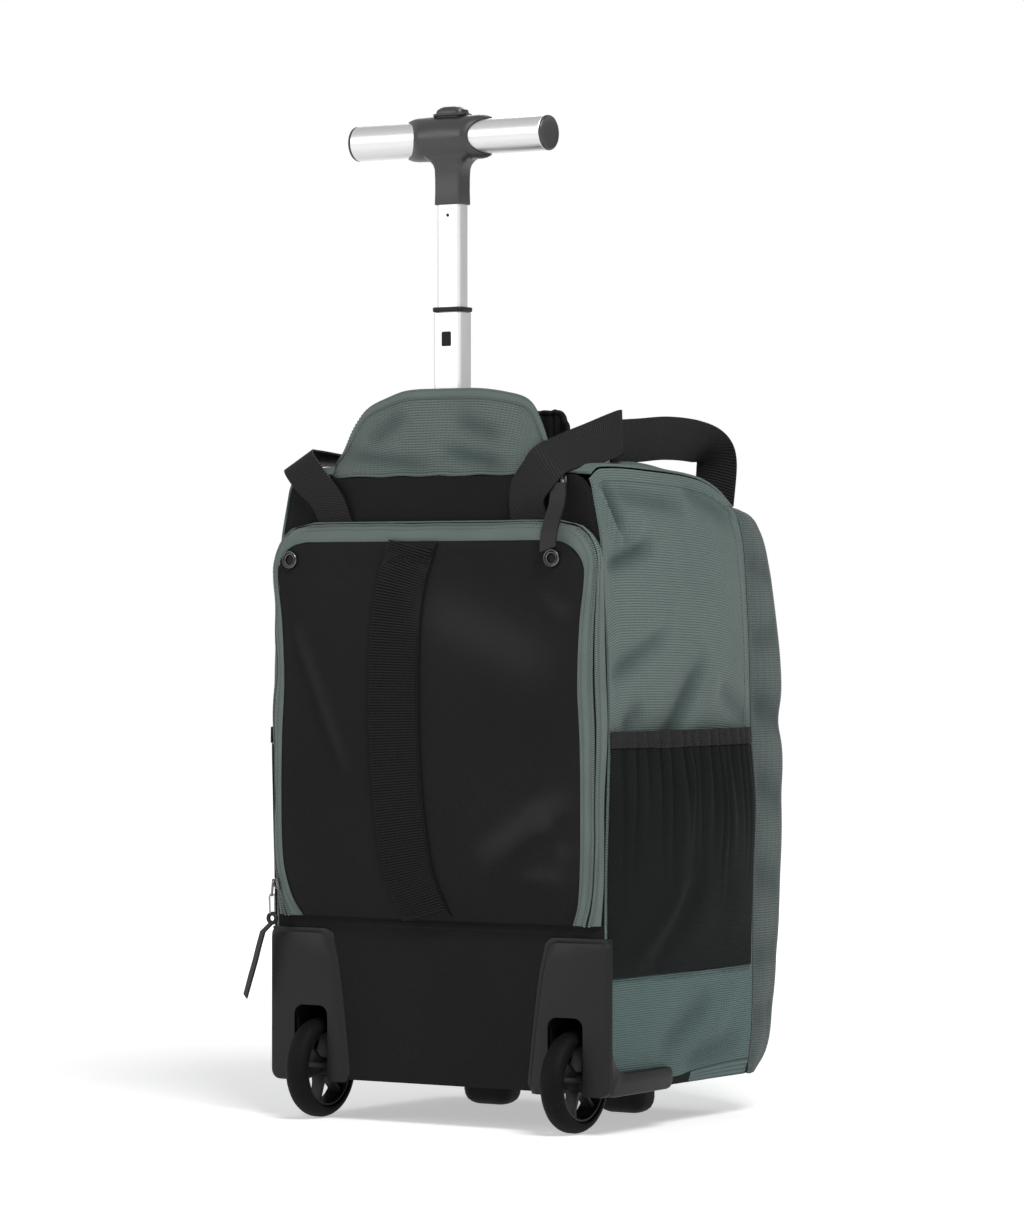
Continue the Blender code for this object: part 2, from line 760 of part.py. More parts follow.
def cover_rim():
    """The cover's edge from the left foot over the top to the right foot, with outward directions."""
    rim = []
    for v in cover_rows():
        point = cover_point(1.0, v)
        rise = max(0.0, 1.0 - (COVER_TOP_Z - point.z) / COVER_CORNER)
        out = Vector((math.sqrt(max(0.0, 1.0 - rise * rise)), 0.0, rise))
        rim.append((point, out))
    columns = 6
    reach = cover_half_width(COVER_TOP_Z)
    right = list(rim)
    top = []
    for k in range(1, columns):
        across = 1.0 - 2.0 * k / columns
        point = cover_point(across, 1.0)
        point.x = across * reach
        top.append((point, Vector((0.0, 0.0, 1.0))))
    left = [(Vector((-point.x, point.y, point.z)), Vector((-out.x, 0.0, out.z))) for point, out in reversed(right)]
    return right + top + left


def gusset_point(rim_item, share, lift=0.0):
    """A point on the slanted gusset: share 0 at the cover's edge, 1 at the body."""
    point, out = rim_item
    start = point + out * (SEAM_GAP + THIN_CLOTH)
    reach = blend(GUSSET_OUT, GUSSET_RISE, abs(out.z))
    end = Vector((point.x + out.x * reach, BACK_Y - SEAM_GAP - THIN_CLOTH * 0.8, point.z + out.z * reach))
    foot = blend(0.35, 1.0, min(1.0, max(0.0, (point.z - BASE_SEAM_Z) / 0.03)))
    end = Vector((point.x + (end.x - point.x) * foot, end.y, end.z))
    swell = 0.0022 * math.sin(math.pi * share)
    slope = (end - start).normalized()
    normal = slope.cross(Vector((-out.z, 0.0, out.x))).normalized()
    if normal.dot(out) < 0.0:
        normal.negate()
    return blend(start, end, share) + normal * (swell + lift)


def build_cover(parent):
    """Padded cover, its gusset with the zip, the ladder webbing and the two eyelets."""
    rows = cover_rows()

    def face(u, v):
        return cover_point(2.0 * u - 1.0, rows[round(v * (len(rows) - 1))])

    cover = sheet("back_cover", face, 8, len(rows) - 1, PADDING, KNIT, parent)
    cover.modifiers["thickness"].use_even_offset = True
    rim = cover_rim()
    last = len(rim) - 1

    def gusset(u, v):
        return gusset_point(rim[last - round(u * last)], v)

    sheet("cover_gusset", gusset, last, 2, THIN_CLOTH, TWILL, parent, offset=-1.0)

    def coil(u, v):
        width = ZIP_WIDTH / (GUSSET_OUT - SEAM_GAP + 0.010)
        return gusset_point(rim[last - round(u * last)], 0.5 + (v - 0.5) * width, SEAM_GAP)

    sheet("zip_coil", coil, last, 1, ZIP_THICKNESS, WEBBING, parent, offset=1.0)
    half = COVER_WEB_WIDTH / 2

    def webbing(u, v):
        z_share = blend(0.012, 0.985, v)
        z = blend(BASE_SEAM_Z, COVER_TOP_Z, z_share)
        x = read_table(WEB_LINE, z_share, 1) * COVER_HALF_WIDTH + (2.0 * u - 1.0) * half
        across = x / cover_half_width(z)
        point = cover_point(across, z_share)
        return point + cover_normal(across, z_share) * (SEAM_GAP + 0.0004)

    sheet("cover_webbing", webbing, 2, 12, WEB_THICKNESS, WEBBING, parent, offset=1.0)
    for word, side in side_names():
        v = (GROMMET_Z - BASE_SEAM_Z) / (COVER_TOP_Z - BASE_SEAM_Z)
        across = (side * GROMMET_X + GROMMET_SHIFT) / cover_half_width(GROMMET_Z)
        seat = cover_point(across, v)
        facing = cover_normal(across, v)
        turn = Vector((-1, 0, 0)).rotation_difference(facing).to_matrix().to_4x4()
        hole = cutter("grommet_room_" + word,
                      cylinder_mesh("grommet_room_" + word, GROMMET_BARREL + SEAM_GAP, -0.012, 0.020, "X", 20),
                      parent, seat)
        hole.rotation_euler = turn.to_euler()
        combine(cover, hole, "DIFFERENCE")
        lift = SEAM_GAP + 0.0006
        profile = ((GROMMET_BARREL, PADDING), (GROMMET_BARREL, -lift), (GROMMET_RADIUS, -lift),
                   (GROMMET_RADIUS, -lift - GROMMET_FLANGE * 0.3), (GROMMET_RADIUS * 0.8, -lift - GROMMET_FLANGE),
                   (GROMMET_BARREL, -lift - GROMMET_FLANGE), (GROMMET_HOLE, -lift - GROMMET_FLANGE * 0.6),
                   (GROMMET_HOLE, PADDING))
        ring = turned("grommet_" + word, profile, True, STEEL, parent, 10)
        ring.location = seat
        ring.rotation_euler = Vector((0, 0, -1)).rotation_difference(facing).to_euler()


# Hood pocket


def hood_path(u, grow=0.0):
    """Plan of the hood's front from the left end to the right end: a flat face with rounded corners."""
    half = HOOD_HALF_WIDTH + grow
    seam = HOOD_SEAM_Y - grow
    corner = HOOD_CORNER
    runs = (HOOD_END_Y - seam - corner, math.pi / 2 * corner, half - corner)
    total = sum(runs)
    along = abs(2.0 * u - 1.0) * total
    side = 1.0 if u >= 0.5 else -1.0
    if along <= runs[2]:
        return side * along, seam
    along -= runs[2]
    if along <= runs[1]:
        angle = along / corner
        return side * (half - corner + corner * math.sin(angle)), seam + corner * (1.0 - math.cos(angle))
    along -= runs[1]
    return side * half, seam + corner + along


def hood_top(u):
    """Height of the hood's top edge at a share along its path."""
    share = read_table(HOOD_EDGE, abs(2.0 * u - 1.0), 1)
    return blend(PANEL_TOP_Z, HOOD_TOP_Z, share)


def hood_point(u, z, out=0.0):
    """Outer face of the hood's front at a share along its path and a height."""
    x, y = hood_path(u, out)
    rise = (z - PANEL_TOP_Z) / (HOOD_TOP_Z - PANEL_TOP_Z)
    middle = max(0.0, 1.0 - (abs(x) / HOOD_HALF_WIDTH) ** 3)
    y -= HOOD_BULGE * math.sin(math.pi * min(1.0, 0.15 + rise * 0.7)) ** 0.8 * middle * min(1.0, rise * 4.0)
    return Vector((x + HOOD_LEAN * max(0.0, rise) ** 1.5, y, z))


def hood_back_point(u, v):
    """Inner face of the black gathered wall behind the grip."""
    half = HOOD_HALF_WIDTH
    corner = HOOD_CORNER
    runs = (HOOD_BACK_Y - HOOD_END_Y - corner - SEAM_GAP, math.pi / 2 * corner, half - corner)
    total = sum(runs)
    along = abs(2.0 * u - 1.0) * total
    side = 1.0 if u >= 0.5 else -1.0
    if along <= runs[2]:
        x, y = along, HOOD_BACK_Y
    elif along <= runs[2] + runs[1]:
        angle = (along - runs[2]) / corner
        x, y = half - corner + corner * math.sin(angle), HOOD_BACK_Y - corner * (1.0 - math.cos(angle))
    else:
        x, y = half, HOOD_BACK_Y - corner - (along - runs[2] - runs[1])
    low = HOOD_FLOOR_Z + THIN_CLOTH + SEAM_GAP
    across = abs(2.0 * u - 1.0)
    top = blend(HOOD_BACK_TOP_Z, PANEL_TOP_Z + 0.012, max(0.0, (across - 0.78) / 0.22) ** 1.5)
    z = blend(low, top, v)
    y += HOOD_GATHER * (0.5 - 0.5 * math.cos(2 * math.pi * HOOD_GATHER_COUNT * u)) * v
    return Vector((side * x, y, z))


def build_hood(parent):
    """Green front with a twill edge, black gathered back and the floor that the tube stands through."""
    low = PANEL_TOP_Z + SEAM_GAP

    def front(u, v):
        return hood_point(u, blend(low, hood_top(u) - EDGING_HEIGHT * edging_share(u) - CURVED_GAP, v))

    def edging(u, v):
        top = hood_top(u)
        spread = (EDGING_THICKNESS - CLOTH) / 2
        return hood_point(u, blend(top - EDGING_HEIGHT * edging_share(u), top, v), spread)

    sheet("hood_front", front, 24, 2, CLOTH, RIPSTOP, parent)
    sheet("hood_edging", edging, 24, 1, EDGING_THICKNESS, TWILL, parent)
    sheet("hood_back", lambda u, v: hood_back_point(1.0 - u, v), 28, 2, THIN_CLOTH, KNIT, parent, offset=1.0)
    inner_x = HOOD_HALF_WIDTH - CLOTH - SEAM_GAP
    floor = rounded_rectangle(2 * inner_x, HOOD_BACK_Y - BACK_Y - CLOTH - 3 * SEAM_GAP, 0.006)
    middle = (HOOD_BACK_Y + BACK_Y + CLOTH) / 2
    hole_width, hole_depth = outer_size()
    hole = rounded_rectangle(hole_width + 2 * SEAM_GAP, hole_depth + 2 * SEAM_GAP, TUBE_CORNER)
    outlines = [[(x, y + middle) for x, y in floor], [(x, y + POLE_Y) for x, y in hole]]
    mesh = outline_mesh("hood_floor", outlines, HOOD_FLOOR_Z, HOOD_FLOOR_Z + THIN_CLOTH, "Z")
    add_object("hood_floor", mesh, KNIT, parent)


def edging_share(u):
    """How tall the twill edge is along the hood: lower where the hood runs out at its ends."""
    room = (hood_top(u) - PANEL_TOP_Z) / (HOOD_TOP_Z - PANEL_TOP_Z)
    return min(1.0, 0.35 + 1.6 * room)


# Telescopic handle


def outer_size():
    """Width and depth of the fixed outer tube."""
    room = 2 * (SLIDE_GAP + OUTER_WALL)
    return LOWER_WIDTH + room, LOWER_DEPTH + room


def tube_mesh(name, width, depth, wall, low, high):
    """A hollow tube with a rounded oblong section, about the handle's axis."""
    corner = min(TUBE_CORNER, depth / 3)
    outer = rounded_rectangle(width, depth, corner)
    inner = rounded_rectangle(width - 2 * wall, depth - 2 * wall, max(corner - wall, 0.0008))
    return outline_mesh(name, [outer, inner], low, high, "Z")


def build_handle(parent):
    """Fixed tube, two sliding stages, and the T grip with its hub, caps and button."""
    outer_width, outer_depth = outer_size()
    outer_low = BODY_BOTTOM + CLOTH + SEAM_GAP
    outer_top = HOOD_FLOOR_Z + THIN_CLOTH + SEAM_GAP
    pole = add_empty("pole_axis", (0.0, POLE_Y, 0.0), parent)
    add_object("outer_tube", tube_mesh("outer_tube", outer_width, outer_depth, OUTER_WALL, outer_low, outer_top),
               ALUMINIUM, pole)

    lower = add_empty("lower_stage", (0.0, 0.0, LOWER_TOP_Z), pole)
    lower_tube = add_object("lower_tube", tube_mesh("lower_tube", LOWER_WIDTH, LOWER_DEPTH, LOWER_WALL,
                            -LOWER_LENGTH, 0.0), ALUMINIUM, lower)
    latch_low = -LATCH_DROP - LATCH_HEIGHT
    window = box_mesh("latch_window", (-LATCH_WIDTH / 2 - SEAM_GAP, -LOWER_DEPTH, latch_low - SEAM_GAP),
                      (LATCH_WIDTH / 2 + SEAM_GAP, 0.0, -LATCH_DROP + SEAM_GAP))
    combine(lower_tube, cutter("latch_window", window, lower), "DIFFERENCE")
    latch_back = -LOWER_DEPTH / 2 + LOWER_WALL
    latch = box_mesh("latch_button", (-LATCH_WIDTH / 2, -LOWER_DEPTH / 2 + LATCH_RECESS, latch_low),
                     (LATCH_WIDTH / 2, latch_back, -LATCH_DROP), 0.0004, 1)
    add_object("latch_button", latch, PLASTIC, lower)
    collar = [rounded_rectangle(LOWER_WIDTH + 0.0008, LOWER_DEPTH + 0.0008, TUBE_CORNER),
              rounded_rectangle(UPPER_WIDTH + 2 * SLIDE_GAP, UPPER_DEPTH + 2 * SLIDE_GAP, TUBE_CORNER)]
    add_object("stage_collar", outline_mesh("stage_collar", collar, SEAM_GAP, COLLAR_HEIGHT, "Z"), PLASTIC, lower)

    upper = add_empty("upper_stage", (0.0, 0.0, GRIP_Z - LOWER_TOP_Z), lower)
    neck_low = NECK_BOTTOM_Z - GRIP_Z
    upper_top = -GRIP_TUBE_RADIUS - SLIDE_GAP * 2
    add_object("upper_tube", tube_mesh("upper_tube", UPPER_WIDTH, UPPER_DEPTH, UPPER_WALL,
               upper_top - UPPER_LENGTH, upper_top), ALUMINIUM, upper)
    hub = add_object("grip_hub", cylinder_mesh("grip_hub", HUB_RADIUS, -HUB_HALF_LENGTH, HUB_HALF_LENGTH, "X",
                     HUB_STEPS, HUB_BEVEL), PLASTIC, upper)

    def neck_side(u, v):
        rows = ((0.0, NECK_WIDTH, NECK_DEPTH), (0.45, NECK_WIDTH * 1.06, NECK_DEPTH * 1.04),
                (0.72, SHOULDER_WIDTH * 0.86, SHOULDER_DEPTH * 0.9), (1.0, SHOULDER_WIDTH, SHOULDER_DEPTH))
        width, depth = read_table(rows, v, 1), read_table(rows, v, 2)
        outline = rounded_rectangle(width, depth, 0.0045, 2)
        x, y = outline[round(u * len(outline)) % len(outline)]
        return Vector((x, y, blend(neck_low, -HUB_RADIUS * 0.55, v)))

    neck_mesh = sheet_mesh("hub_neck", neck_side, 12, 8)
    work = bmesh.new()
    work.from_mesh(neck_mesh)
    bmesh.ops.remove_doubles(work, verts=work.verts, dist=1e-6)
    bmesh.ops.holes_fill(work, edges=[edge for edge in work.edges if edge.is_boundary], sides=0)
    combine(hub, cutter("hub_neck", mesh_from("hub_neck", work), upper), "UNION")
    bore = cylinder_mesh("hub_bore", GRIP_TUBE_RADIUS + SLIDE_GAP, -HUB_HALF_LENGTH * 2, HUB_HALF_LENGTH * 2, "X", HUB_STEPS)
    combine(hub, cutter("hub_bore", bore, upper), "DIFFERENCE")
    step_in = HUB_HALF_LENGTH - HUB_FACE_HALF_LENGTH
    scallop = (step_in ** 2 + HUB_RADIUS ** 2) / (2 * step_in)
    for word, side in side_names():
        name = "hub_scallop_" + word
        combine(hub, cutter(name, cylinder_mesh(name, scallop, -2 * HUB_RADIUS, 2 * HUB_RADIUS, "Y"), upper,
                            (side * (HUB_FACE_HALF_LENGTH + scallop), 0.0, 0.0)), "DIFFERENCE")
    socket = outline_mesh("hub_socket", [rounded_rectangle(UPPER_WIDTH + 2 * SLIDE_GAP, UPPER_DEPTH + 2 * SLIDE_GAP,
                          TUBE_CORNER)], neck_low - 0.01, -GRIP_TUBE_RADIUS * 0.5, "Z")
    combine(hub, cutter("hub_socket", socket, upper), "DIFFERENCE")
    slot = outline_mesh("button_slot", [rounded_rectangle(BUTTON_WIDTH + 2 * SLIDE_GAP, BUTTON_DEPTH + 2 * SLIDE_GAP,
                        0.006)], GRIP_TUBE_RADIUS * 0.5, HUB_RADIUS * 2, "Z")
    combine(hub, cutter("button_slot", slot, upper), "DIFFERENCE")

    button_low = GRIP_TUBE_RADIUS + BUTTON_TRAVEL + SLIDE_GAP
    button = outline_mesh("grip_button", [rounded_rectangle(BUTTON_WIDTH, BUTTON_DEPTH, 0.0055)], button_low,
                          HUB_RADIUS + BUTTON_PROUD, "Z")
    push = add_empty("button_axis", (0.0, 0.0, 0.0), upper)
    made = add_object("grip_button", button, PLASTIC, push)
    round_off = made.modifiers.new("rounding", "BEVEL")
    round_off.width = 0.0014
    round_off.segments = 1
    round_off.limit_method = "ANGLE"

    inner = GRIP_TUBE_RADIUS - GRIP_WALL
    tube = ((GRIP_TUBE_RADIUS, GRIP_HALF_LENGTH), (GRIP_TUBE_RADIUS, -GRIP_HALF_LENGTH), (inner, -GRIP_HALF_LENGTH),
            (inner, GRIP_HALF_LENGTH))
    turned("grip_tube", tube, True, ALUMINIUM, upper, HUB_STEPS)
    for word, side in side_names():
        plug = inner - SLIDE_GAP
        profile = ((0.0, CAP_LENGTH), (GRIP_TUBE_RADIUS * 0.6, CAP_LENGTH * 0.92),
                   (GRIP_TUBE_RADIUS * 0.9, CAP_LENGTH * 0.6), (GRIP_TUBE_RADIUS, CAP_LENGTH * 0.2),
                   (GRIP_TUBE_RADIUS, SEAM_GAP), (plug, SEAM_GAP), (plug, -CAP_PLUG), (0.0, -CAP_PLUG))
        cap = turned("grip_cap_" + word, profile, False, PLASTIC, upper, 14)
        cap.location = (side * GRIP_HALF_LENGTH, 0.0, 0.0)
        cap.rotation_euler = (0.0, side * math.pi / 2, 0.0)


# Wheels, housings and feet


def well_half_width():
    """Half width of the space that a wheel runs in."""
    return WHEEL_WIDTH / 2 + WELL_CLEARANCE


def well_top():
    """Height of the roof over a wheel."""
    return 2 * WHEEL_RADIUS + WELL_CLEARANCE * 1.8


def well_front():
    """Front end of the space that a wheel runs in."""
    return WHEEL_RADIUS + WELL_CLEARANCE


def housing_room(word, side, parent):
    """The space that a housing and its skid take out of the cloth around them."""
    name = "housing_room_" + word
    wall = HOUSING_WALL + SEAM_GAP
    inner_x = WHEEL_X - well_half_width() - wall
    low, high = sorted((side * inner_x, side * (HOUSING_OUT_X + 0.01)))
    middle_low, middle_high = sorted((side * inner_x, side * (WHEEL_X + well_half_width() + wall)))
    room = cutter(name, box_mesh(name, (low, -0.05, -0.01), (high, SKID_FRONT_Y + SEAM_GAP, SKID_TOP_Z + SEAM_GAP)),
                  parent)
    well = box_mesh(name + "_well", (middle_low, -0.05, -0.02),
                    (middle_high, well_front() + wall, well_top() + wall))
    combine(room, cutter(name + "_well", well, parent), "UNION")
    return room


def build_housings(parent):
    """Moulded housings: a back plate, a side guard that runs into a skid, and the well around the wheel."""
    chamfer = 0.0070
    plate_outline = [(HOUSING_OUT_X, HOUSING_BOTTOM_Z), (HOUSING_OUT_X, HOUSING_TOP_Z - 0.003),
                     (HOUSING_OUT_X - 0.003, HOUSING_TOP_Z), (HOUSING_IN_TOP_X + chamfer, HOUSING_TOP_Z),
                     (HOUSING_IN_TOP_X, HOUSING_TOP_Z - chamfer * 2), (HOUSING_IN_BOTTOM_X, HOUSING_BOTTOM_Z)]
    guard_outline = [(HOUSING_BACK_Y, HOUSING_BOTTOM_Z), (SKID_FRONT_Y - 0.006, HOUSING_BOTTOM_Z),
                     (SKID_FRONT_Y, HOUSING_BOTTOM_Z + 0.006), (SKID_FRONT_Y, SKID_TOP_Z)]
    for step in range(6):
        angle = math.pi / 2 * step / 5
        guard_outline.append((HOUSING_SIDE_Y + SKID_CURVE * (1.0 - math.sin(angle)),
                              SKID_TOP_Z + SKID_CURVE * (1.0 - math.cos(angle))))
    guard_outline += [(HOUSING_SIDE_Y, HOUSING_TOP_Z), (HOUSING_BACK_Y, HOUSING_TOP_Z)]
    half = well_half_width()
    for word, side in side_names():
        def ordered(a, b, side=side):
            return sorted((side * a, side * b))

        name = "wheel_housing_" + word
        outline = [(side * x, z) for x, z in plate_outline]
        plate = outline_mesh(name, [outline], HOUSING_BACK_Y, HOUSING_BACK_Y + HOUSING_WALL, "Y")
        housing = add_object(name, plate, PLASTIC, parent)
        low, high = ordered(HOUSING_OUT_X - HOUSING_WALL, HOUSING_OUT_X)
        combine(housing, cutter(name + "_guard", outline_mesh(name + "_guard", [guard_outline], low, high, "X"),
                                parent), "UNION")
        low, high = ordered(WHEEL_X + half, HOUSING_OUT_X - HOUSING_WALL / 2)
        skid = box_mesh(name + "_skid", (low, HOUSING_BACK_Y + 0.001, HOUSING_BOTTOM_Z + 0.0005),
                        (high, SKID_FRONT_Y - 0.002, SKID_TOP_Z))
        combine(housing, cutter(name + "_skid", skid, parent), "UNION")
        low, high = ordered(WHEEL_X - half - HOUSING_WALL, WHEEL_X + half + HOUSING_WALL)
        shell = box_mesh(name + "_shell", (low, HOUSING_BACK_Y + 0.0015, HOUSING_BOTTOM_Z + 0.0003),
                         (high, well_front() + HOUSING_WALL, well_top() + HOUSING_WALL))
        combine(housing, cutter(name + "_shell", shell, parent), "UNION")
        low, high = ordered(WHEEL_X - half, WHEEL_X + half)
        well = box_mesh(name + "_well", (low, -0.05, -0.02), (high, well_front(), well_top()), 0.004, 1)
        combine(housing, cutter(name + "_well", well, parent), "DIFFERENCE")
        low, high = ordered(WHEEL_X - half - HOUSING_WALL * 0.6, WHEEL_X + half + HOUSING_WALL * 0.6)
        hole = cylinder_mesh(name + "_hole", AXLE_RADIUS + SEAM_GAP, low, high, "X", 20)
        combine(housing, cutter(name + "_hole", hole, parent, (0, 0, WHEEL_RADIUS)), "DIFFERENCE")


def build_wheels(parent):
    """Rubber tyres on spoked hubs that turn on steel axles."""
    tyre_half = WHEEL_WIDTH / 2
    inner = WHEEL_RADIUS - TYRE_THICKNESS
    tyre = [(WHEEL_RADIUS, tyre_half * 0.45), (WHEEL_RADIUS, -tyre_half * 0.45)]
    shoulder = ((WHEEL_RADIUS - 0.0012, -tyre_half * 0.80), (WHEEL_RADIUS - 0.0038, -tyre_half),
                (inner, -tyre_half * 0.95))
    tyre += list(shoulder) + [(radius, -along) for radius, along in reversed(shoulder)]
    rim = inner - SEAM_GAP
    web = HUB_WIDTH * 0.22
    flange = HUB_WIDTH / 2
    boss = BOSS_WIDTH / 2
    bore = AXLE_RADIUS + SEAM_GAP
    half_hub = [(bore, boss), (BOSS_RADIUS, boss), (BOSS_RADIUS + 0.0006, web), (rim - 0.0030, web),
                (rim - 0.0022, flange), (rim, flange)]
    hub_profile = half_hub + [(radius, -along) for radius, along in reversed(half_hub)]
    for word, side in side_names():
        axis = add_empty("wheel_axis_" + word, (side * WHEEL_X, 0.0, WHEEL_RADIUS), parent)
        turned("wheel_tyre_" + word, tyre, True, RUBBER, axis, 20)
        hub = turned("wheel_hub_" + word, hub_profile, True, PLASTIC, axis)
        for spoke in range(SPOKES):
            name = f"spoke_gap_{word}_{spoke}"
            middle = 2 * math.pi * spoke / SPOKES
            outline = []
            for radius, spread, order in ((BOSS_RADIUS + 0.0030, 0.24, 1), (rim - 0.0055, 0.42, -1)):
                for step in (-1, 0, 1):
                    angle = middle + order * spread * step
                    outline.append((radius * math.cos(angle), radius * math.sin(angle)))
            gap = outline_mesh(name, [outline], -HUB_WIDTH, HUB_WIDTH, "X")
            opening = cutter(name, gap, hub)
            opening.rotation_euler = (0.0, -math.pi / 2, 0.0)
            combine(hub, opening, "DIFFERENCE")
        reach = well_half_width() + HOUSING_WALL * 0.6 - SEAM_GAP
        axle = cylinder_mesh("axle_" + word, AXLE_RADIUS, -reach, reach, "X", 14)
        made = add_object("axle_" + word, axle, STEEL, parent)
        made.location = (side * WHEEL_X, 0.0, WHEEL_RADIUS)


def build_feet(parent):
    """Two rounded front feet under the bag."""
    for word, side in side_names():
        low = (side * FOOT_X - FOOT_WIDTH / 2, FOOT_Y - FOOT_DEPTH / 2, 0.0)
        high = (side * FOOT_X + FOOT_WIDTH / 2, FOOT_Y + FOOT_DEPTH / 2, BODY_BOTTOM - SEAM_GAP)
        add_object("front_foot_" + word, box_mesh("front_foot_" + word, low, high, FOOT_ROUND, 2), PLASTIC, parent)


# Mesh side pockets


def pocket_swell(u, v):
    """How far the side pocket stands off the side: closed below and at both ends, open at the hem."""
    ends = math.sin(math.pi * u) ** 0.55
    height = read_table(((0.0, 0.0), (0.25, 0.86), (0.5, 1.0), (0.8, 0.82), (1.0, HEM_BULGE / POCKET_BULGE)), v, 1)
    return POCKET_BULGE * ends * height


def pocket_point(side, u, v, extra=0.0):
    """Inner face of the pocket, a share along the side and a share from the seam to the hem's top."""
    depth = blend(POCKET_BACK_SHARE, POCKET_FRONT_SHARE, u)
    z = blend(LOWER_SEAM_Z + SEAM_GAP * 3, POCKET_TOP_Z, v)
    wave = GATHER_DEPTH * math.sin(2 * math.pi * POCKET_GATHERS * u) * math.sin(math.pi * u) * v
    return side_point(side, depth, z, SEAM_GAP + 0.0003 + pocket_swell(u, v) + wave + extra)


def build_pockets(parent):
    """Gathered mesh pockets, each with an elastic hem and open at the top."""
    hem_share = 1.0 - HEM_HEIGHT / (POCKET_TOP_Z - LOWER_SEAM_Z)
    for word, side in side_names():
        def mesh_face(u, v, side=side):
            return pocket_point(side, u, v * hem_share * 0.998)

        def hem_face(u, v, side=side):
            return pocket_point(side, u, blend(hem_share, 1.0, v), -(HEM_THICKNESS - MESH_CLOTH) / 4)

        sheet("mesh_pocket_" + word, signed(side, mesh_face), 10, 5, MESH_CLOTH, MESH, parent, offset=1.0)
        sheet("pocket_hem_" + word, signed(side, hem_face), 10, 1, HEM_THICKNESS, WEBBING, parent, offset=1.0)


# Webbing handles, zip sliders and pullers

def body_place(x_share, y_share, z_share):
    """A place given as shares of the body's half width, side depth and height."""
    return Vector((BODY_HALF_WIDTH * x_share, BACK_Y + (FRONT_SEAM_Y - BACK_Y) * y_share,
                   BODY_BOTTOM + (BODY_TOP - BODY_BOTTOM) * z_share))


def ribbon(table):
    """A grid function of a strap whose two edges are rows of a table."""
    def point(u, v):
        upper = body_place(*(read_table(table, v, column) for column in (1, 2, 3)))
        lower = body_place(*(read_table(table, v, column) for column in (4, 5, 6)))
        middle = (upper + lower) / 2
        reach = (lower - upper).normalized() * STRAP_WIDTH
        return middle + reach * (u - 0.5)
    return point


def tongue(table, width, start):
    """A grid function of a zip puller that hangs from its start along a line, its width across the bag."""
    def point(u, v):
        middle = start + Vector([read_table(table, v, column) for column in (1, 2, 3)])
        taper = 1.0 - TAB_TAPER * max(0.0, v - TAB_TIP) / (1.0 - TAB_TIP)
        return middle + Vector((width * (u - 0.5) * taper, 0.0, 0.0))
    return point


def build_straps(parent):
    """The two carry handles of ribbed webbing."""
    sheet("carry_strap_right", ribbon(RIGHT_STRAP), 1, 26, STRAP_THICKNESS, WEBBING, parent, offset=1.0)
    sheet("carry_strap_left", ribbon(LEFT_STRAP), 1, 22, STRAP_THICKNESS, WEBBING, parent, offset=1.0)


def wire_loop(name, width, length, place, facing, hang, parent):
    """A closed wire loop with round ends that hangs from its top at a place."""
    across = hang.cross(facing).normalized()
    radius = width / 2
    wire = bpy.data.curves.new(name, "CURVE")
    wire.dimensions = "3D"
    wire.bevel_depth = RING_WIRE
    wire.bevel_resolution = 1
    spline = wire.splines.new("POLY")
    count = 10
    spline.points.add(count - 1)
    for step, point in enumerate(spline.points):
        angle = 2 * math.pi * step / count
        shift = radius if math.cos(angle) < 0 else length - radius
        spot = place + hang * (shift + radius * math.cos(angle)) + across * radius * math.sin(angle)
        point.co = (*spot, 1.0)
    spline.use_cyclic_u = True
    drawn = bpy.data.objects.new(name, wire)
    CUTTERS.objects.link(drawn)
    bpy.context.view_layer.update()
    mesh = bpy.data.meshes.new_from_object(drawn.evaluated_get(bpy.context.evaluated_depsgraph_get()))
    bpy.data.objects.remove(drawn)
    work = bmesh.new()
    work.from_mesh(mesh)
    bmesh.ops.remove_doubles(work, verts=work.verts, dist=1e-6)
    return add_object(name, mesh_from(name, work), STEEL, parent)


def slider(name, place, facing, up, parent):
    """A zip slider: a small body on the coil with a raised bridge."""
    across = up.cross(facing).normalized()
    turn = Matrix((across, up, facing)).transposed().to_4x4()
    body = box_mesh(name, (-SLIDER_WIDTH / 2, -SLIDER_LENGTH / 2, 0.0),
                    (SLIDER_WIDTH / 2, SLIDER_LENGTH / 2, SLIDER_HEIGHT * 0.5), 0.0006, 1)
    made = add_object(name, body, STEEL, parent)
    bridge = box_mesh(name + "_bridge", (-SLIDER_WIDTH * 0.2, -SLIDER_LENGTH * 0.35, SLIDER_HEIGHT * 0.2),
                      (SLIDER_WIDTH * 0.2, SLIDER_LENGTH * 0.42, SLIDER_HEIGHT), 0.0004, 1)
    combine(made, cutter(name + "_bridge", bridge, made), "UNION")
    made.location = place
    made.rotation_euler = turn.to_euler()
    return made


